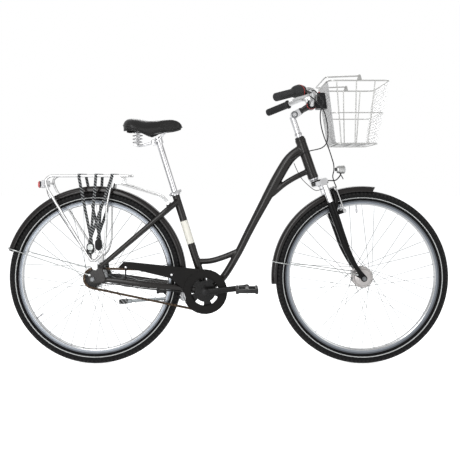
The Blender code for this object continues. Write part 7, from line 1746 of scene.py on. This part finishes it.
def cable_routes():
    outward = bar_outward(-1)
    end = bar_station(-1, 0.1466) + lever_forward() * 0.0190 - outward * 0.0249
    top = -0.1655 + 0.100 + 0.0029
    behind = [(0.0330, 0.0000, 0.125), (0.0268, -0.0351, 0.104), (0.0262, -0.0684, 0.100), (0.0335, -0.1051, 0.088),
              (0.0460, -0.1421, 0.078), (0.0607, -0.1751, 0.070), (0.0765, -0.2201, 0.066), (0.0860, -0.2600, 0.065)]
    brake = [end, end - outward * 0.018] + [BAR_CLAMP + Vector((x, -y, z)) for x, z, y in behind]
    brake += [head(top + 0.040, 0.066, -0.070), head(top + 0.012, 0.070, -0.064), head(top, 0.070, -0.048),
              head(top, 0.070, 0.0), head(top, 0.070, 0.044)]
    under = (UP - outward * outward.z).normalized() * -0.0196
    start = bar_station(-1, 0.1432) + under
    side = 0.0213 + CABLE_RADIUS + 0.0012
    entry = main_tube_axis(0.90) - ACROSS * (0.0166 * 0.95 + 0.0043)
    shift = [start, start - outward * 0.020 + AHEAD * 0.004, BAR_CLAMP + Vector((0.0326, -0.118, -0.0261)),
             BAR_CLAMP + Vector((0.0586, -0.080, -0.1061)), BAR_CLAMP + Vector((0.0506, -0.050, -0.1711)),
             head(0.112, 0.012, -side), head(0.110, -0.010, -side - 0.003), entry]
    foot = 0.0205 + CABLE_RADIUS + 0.0022
    rear = [BOTTOM_BRACKET + Vector((0.012, -0.012, -foot * 0.94)), BOTTOM_BRACKET + Vector((-0.006, -0.018, -foot))]
    rear += [under_chain_stay(station, CABLE_RADIUS, -0.0015) for station in (1, 2, 3, 4, 5)]
    rear += [REAR_AXLE + Vector((0.062, -0.0595, -0.0200)), REAR_AXLE + Vector((0.0352, -DRUM_Y, -0.0166))]
    ahead = [(-0.0807, 0.0620, 0.0060), (-0.0713, 0.0365, 0.0180), (-0.0510, -0.0015, 0.0250),
             (-0.0197, -0.0325, 0.0290), (0.0107, -0.0505, 0.0240)]
    lamp = [HEAD_BASE + Vector((x, -y, z)) for x, z, y in ahead] + [head(-0.052, 0.046, -0.010)]
    leg_top, leg_foot = Vector((RACK_REAR_X + 0.006, 0, RACK_TOP - 0.040)), REAR_AXLE + Vector((-0.017, 0, 0.094))
    light = [Vector((RACK_REAR_X - 0.003, -0.030, RACK_TOP - 0.0472)),
             Vector((RACK_REAR_X + 0.007, -0.045, RACK_TOP - 0.073))]
    for share, back, y in ((0.3286, 0.0178, 0.0590), (0.6466, 0.0129, 0.0625), (0.9293, 0.0067, 0.0640)):
        light.append(leg_top.lerp(leg_foot, share) + Vector((-back, -y, 0)))
    light += [REAR_AXLE + Vector((0.004, -0.0600, 0.069)), REAR_AXLE + Vector((0.066, -0.050, 0.026)),
              REAR_AXLE + Vector((0.100, -0.0475, -0.024))]
    light += [under_chain_stay(station, WIRE_RADIUS + 0.0015, 0.004) for station in (4, 3, 2, 1)]
    return [("brake_cable_housing", "brake_cable", "steering", brake, 24, CABLE_RADIUS),
            ("shift_cable_housing", "shift_cable", "frame_body", shift, 20, CABLE_RADIUS),
            ("shift_cable_rear_housing", "shift_cable_rear", "frame_body", rear, 18, CABLE_RADIUS),
            ("lamp_wire_sleeve", "lamp_wire", "frame_body", lamp, 12, WIRE_RADIUS),
            ("light_wire_sleeve", "light_wire", "frame_body", light, 20, WIRE_RADIUS)]


def build_cables():
    for name, node, body, route, count, radius in cable_routes():
        path = smooth_path(route, count)
        fine = smooth_path(path, count * 4)
        make(name, CABLE, body, lambda shape: sweep(shape, fine, radius, 12), node, slot="plastic_black")


# Finishes of the carried-over CAD nodes and of the pieces

def floor_finish():
    finish = Finish("studio_floor", (0.90, 0.90, 0.895), 0.9)
    cloud = finish.grain(0.9, 2.0)
    finish.set("Base Color", finish.blend(cloud * 0.25, (0.92, 0.92, 0.915), (0.86, 0.86, 0.855)))
    path = finish.tree.nodes.new("ShaderNodeLightPath")
    seen = Field(finish, path.outputs["Is Camera Ray"]).highest(Field(finish, path.outputs["Is Glossy Ray"]))
    seen = seen.highest(Field(finish, path.outputs["Is Transmission Ray"]))
    finish.set("Emission Color", finish.blend(seen, (0, 0, 0), (1.0, 1.0, 1.0)))
    finish.shader.inputs["Emission Strength"].default_value = FLOOR_GLOW
    return finish


def webbing_finish():
    """Woven webbing: fine ribs, and pale slanted dashes all along it."""
    finish = Finish("strap_weave", (0.014, 0.014, 0.015), 0.78, Specular_Ior_Level=0.2)
    x, _, z = finish.place((STRAP_BLOCK.x, 0, 0))
    ribs = (z * 3400.0).sine() * (x * 3400.0).sine()
    cloud = finish.grain(0.01, 3.0)
    pale = ((z + x * 0.7) % 0.0120).smooth(0.0078, 0.0084)
    finish.set("Base Color", finish.blend(pale * 0.80, finish.blend(cloud * 0.5, (0.010, 0.010, 0.011),
                                                                   (0.024, 0.024, 0.026)), (0.30, 0.31, 0.31)))
    finish.bump(ribs * 0.5 + cloud * 0.3, 0.0003, 0.6)
    finish.set("Sheen Weight", 0.3)
    return finish


def vinyl_finish():
    """Saddle cover: pebbled leather grain with finer pores, and gloss worn in on top."""
    finish = Finish("saddle_vinyl", (0.012, 0.0115, 0.0115), 0.40, Coat_Weight=0.24, Coat_Roughness=0.24,
                    Specular_Ior_Level=0.13)
    pebbles = finish.cells(0.0016, "DISTANCE_TO_EDGE")
    pores = finish.grain(0.0005, 2.0)
    cloud = finish.grain(0.05, 4.0)
    z = finish.place((0, 0, SADDLE_LEVEL))[2]
    worn = z.smooth(-0.030, -0.004)
    finish.set("Base Color", finish.blend(cloud * 0.45, (0.0045, 0.0042, 0.0042), (0.0100, 0.0095, 0.0093)))
    finish.set("Roughness", 0.44 - worn * 0.12 + cloud * 0.10 + pores * 0.04)
    finish.bump(pebbles.smooth(0.0, 0.34), 0.00022, 0.55)
    finish.bump(pores, 0.00005, 0.3)
    return finish


CHAIN_PITCH = 0.0127


def chain_finish():
    finish = Finish("chain_brown_steel", (0.36, 0.30, 0.24), 0.38, 1.0)
    grease = finish.grain(0.006, 3.0)
    fine = finish.grain(0.0008, 2.0)
    x = finish.place()[0]
    links = (x * (2 * math.pi / CHAIN_PITCH)).sine().smooth(-0.35, 0.35)
    dark = grease.smooth(0.42, 0.70)
    finish.set("Base Color", finish.blend(dark * 0.5 + links * 0.5, (0.050, 0.035, 0.024), (0.009, 0.007, 0.0055)))
    finish.set("Roughness", fine * 0.18 + dark * 0.20 + 0.22)
    finish.bump(fine, 0.00004, 0.4)
    return finish


def glass_finish(name, colour, cell):
    """Moulded lens with rows of small pillows behind a clear, glossy face."""
    finish = Finish(name, colour, 0.08, Coat_Weight=1.0, Coat_Roughness=0.03)
    _, y, z = finish.place()
    pillows = (y * (math.pi / cell)).sine() * (z * (math.pi / cell)).sine()
    cloud = finish.grain(0.02, 2.0)
    finish.set("Base Color", finish.blend(pillows.smooth(-0.7, 0.9) * 0.6 + cloud * 0.2, shade(colour, 0.45), colour))
    finish.bump(pillows, 0.0005, 0.7)
    return finish


def kickstand_finish():
    """Cast alloy leg with a black rubber foot at its rear end."""
    finish = metal("kickstand_alloy", (0.26, 0.28, 0.29), 0.34)
    x, _, z = finish.place((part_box("kickstand_leg")[0].x, 0, 0))
    foot = x.smooth(0.0375, 0.0380, 1.0, 0.0)
    stripe = ((x + z * 0.9) % 0.0170).smooth(0.0118, 0.0124)
    cloud = finish.grain(0.02, 3.0)
    finish.set("Base Color", finish.blend(foot, finish.blend(cloud * 0.5, (0.26, 0.28, 0.29), (0.17, 0.18, 0.19)),
                                          finish.blend(stripe, (0.010, 0.010, 0.010), (0.34, 0.34, 0.35))))
    finish.set("Metallic", 1.0 - foot)
    finish.set("Roughness", foot * 0.30 + cloud * 0.12 + 0.28)
    return finish


def tail_light_finish():
    """Red lens at the lamp's rear in a black bezel, its case pale."""
    finish = glass_finish("tail_light_shell", (0.62, 0.010, 0.012), 0.0035)
    x = finish.place((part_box("tail_light")[0].x, 0, 0))[0]
    case = x.smooth(0.0074, 0.0078)
    cloud = finish.grain(0.01, 3.0)
    body = x.smooth(0.0134, 0.0138)
    finish.set("Base Color", finish.blend(case, finish.blend(cloud * 0.4, (0.62, 0.010, 0.012), (0.40, 0.006, 0.008)),
                                          finish.blend(body, (0.013, 0.013, 0.013), (0.52, 0.52, 0.53))))
    finish.set("Roughness", case * 0.30 + cloud * 0.06 + 0.07)
    return finish


def two_tone(name, start, direction, length):
    """Cast alloy up to a length along a direction, and satin black plastic beyond it."""
    finish = Finish(name, (0.60, 0.60, 0.61), 0.28, Specular_Ior_Level=0.3)
    x, y, z = finish.place(tuple(start))
    along = x * direction.x + y * direction.y + z * direction.z
    black = along.smooth(length - 0.0002, length + 0.0002)
    cloud = finish.grain(0.012, 3.0)
    fine = finish.grain(0.0007, 2.0)
    alloy = finish.blend(cloud * 0.5, (0.62, 0.62, 0.63), (0.44, 0.44, 0.45))
    finish.set("Base Color", finish.blend(black, alloy, (0.012, 0.0115, 0.0115)))
    finish.set("Metallic", 1.0 - black)
    finish.set("Roughness", black * 0.10 + fine * 0.10 + cloud * 0.06 + 0.18)
    finish.bump(fine, 0.00003, 0.3)
    return finish


def carry_over():
    """Finishes for the CAD nodes that are shown as they are."""
    table = {
        CHAIN_STEEL: ["chain"],
        STEEL: ["headset_lower", "kickstand_mount", "coaster_arm"],
        ALLOY: ["brake_arm_right", "brake_arm_left"],
        CHROME: ["seat_collar", "seat_lever", "stem_quill"],
        CROWN_ALLOY: ["fork_crown"],
        GUARD: ["chain_guard"],
        STEM_PAINT: ["headset_upper"],
        STEM_TWO_TONE: ["stem_extension"],
        PLASTIC: ["basket_adapter", "shift_drum"],
        BAR_ALLOY: ["brake_lever"],
        CONTROLS: ["bar_controls"],
        CRANK_PAINT: ["chainring", "sprocket", "bottom_bracket", "crank_spindle"],
        RED_ACCENT: ["release_button"],
        TAIL_LIGHT: ["tail_light"],
        KICKSTAND: ["kickstand_leg"],
    }
    soften = soften_group(math.radians(30))
    for finish, names in table.items():
        for name in names:
            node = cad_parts[name]
            node.data.materials.clear()
            node.data.materials.append(finish.material)
            for polygon in node.data.polygons:
                polygon.material_index = 0
            node.modifiers.new("soften", "NODES").node_group = soften


AXLES = {"front": FRONT_AXLE, "rear": REAR_AXLE}
FRAME_PAINT = painted("frame_matte_brown", (0.0045, 0.0032, 0.0026), 0.27, 0.0, dust=0.008, specular=0.30)
BAND = painted("seat_tube_cream_band", (0.80, 0.78, 0.70), 0.42, 0.2, dust=0.05)
MUDGUARD = painted("mudguard_gloss_brown", (0.0085, 0.0066, 0.0064), 0.20, 0.10, 0.00002, 0.012, 0.19)
GUARD = painted("chain_guard_matte", (0.0064, 0.0060, 0.0058), 0.50, 0.0, dust=0.012, specular=0.085)
FORK_GLOSS = painted("fork_gloss_black", (0.003, 0.003, 0.0032), 0.16, 0.06, 0.00002, 0.006, 0.08)
CRANK_PAINT = painted("crank_black", (0.0040, 0.0039, 0.0039), 0.26, 0.06, dust=0.01, specular=0.13)
STEM_PAINT = painted("stem_satin_black", (0.008, 0.0076, 0.0076), 0.34, 0.1, dust=0.02, specular=0.2)
STEEL = metal("small_steel", (0.40, 0.40, 0.41), 0.30)
NUT_STEEL = metal("nut_steel", (0.15, 0.155, 0.16), 0.32)
STAY_STEEL = metal("stay_steel", (0.34, 0.35, 0.345), 0.26)
LAMP_SILVER = metal("lamp_silver", (0.42, 0.42, 0.415), 0.34)
CHROME = metal("chromed_steel", (0.52, 0.52, 0.53), 0.14, fine=0.0006)
BRIGHT_METAL = metal("bright_alloy", (0.55, 0.56, 0.57), 0.18)
ALLOY = metal("rack_alloy", (0.52, 0.52, 0.52), 0.30)
BAR_ALLOY = metal("bar_alloy", (0.50, 0.50, 0.50), 0.18, (1, 0.15, 1))
CROWN_ALLOY = metal("crown_alloy", (0.58, 0.58, 0.59), 0.12)
SPOKE_STEEL = metal("spoke_steel", (0.155, 0.165, 0.165), 0.34)
BASKET_WIRE = metal("basket_wire", (0.42, 0.42, 0.41), 0.28)
NET_METAL = metal("basket_net_wire", (0.53, 0.53, 0.53), 0.34)
RUBBER = moulded("black_rubber", (0.009, 0.009, 0.009), 0.62, specular=0.15)
GRIP = moulded("grip_rubber", (0.0155, 0.0155, 0.0160), 0.55, 0.0009, 0.00009, 0.24)
TREAD_RUBBER = moulded("pedal_rubber", (0.014, 0.014, 0.014), 0.70, 0.0007)
PLASTIC = moulded("black_plastic", (0.0075, 0.0075, 0.0078), 0.40, specular=0.18)
PEDAL_PLASTIC = moulded("pedal_resin", (0.010, 0.010, 0.0105), 0.36, specular=0.25)
CABLE = moulded("cable_sleeve", (0.010, 0.010, 0.010), 0.36, 0.0004, 0.00003, 0.2)
RED_ACCENT = moulded("red_accent", (0.42, 0.030, 0.028), 0.38)
SEAM = moulded("saddle_welt", (0.016, 0.016, 0.016), 0.50, 0.0004)
LENS = glass_finish("lamp_clear_lens", (0.78, 0.80, 0.82), 0.0040)
AMBER = glass_finish("pedal_amber_reflector", (0.75, 0.25, 0.02), 0.0025)
REFLECTOR = glass_finish("strap_grey_reflector", (0.42, 0.46, 0.44), 0.0022)
WEBBING = webbing_finish()
VINYL = vinyl_finish()
CHAIN_STEEL = chain_finish()
TYRES = {name: tyre_finish(name, axle) for name, axle in AXLES.items()}
RIMS = {name: rim_finish(name, axle) for name, axle in AXLES.items()}
HUBS = {name: hub_finish(name, axle) for name, axle in AXLES.items()}
KICKSTAND = kickstand_finish()
TAIL_LIGHT = tail_light_finish()
STEM_TWO_TONE = two_tone("stem_two_tone", STEM_PIVOT, (BAR_CLAMP - STEM_PIVOT).normalized(), 0.026)
CONTROLS = two_tone("controls_two_tone", bar_station(-1, 0.1500), bar_outward(-1), 0.0)

set_the_stage()
carry_over()
build_frame()
build_mudguards()
build_rack()
build_straps()
build_wheels()
build_drive()
build_seat()
build_fork()
build_headlamp()
build_bar()
build_basket()
build_cables()
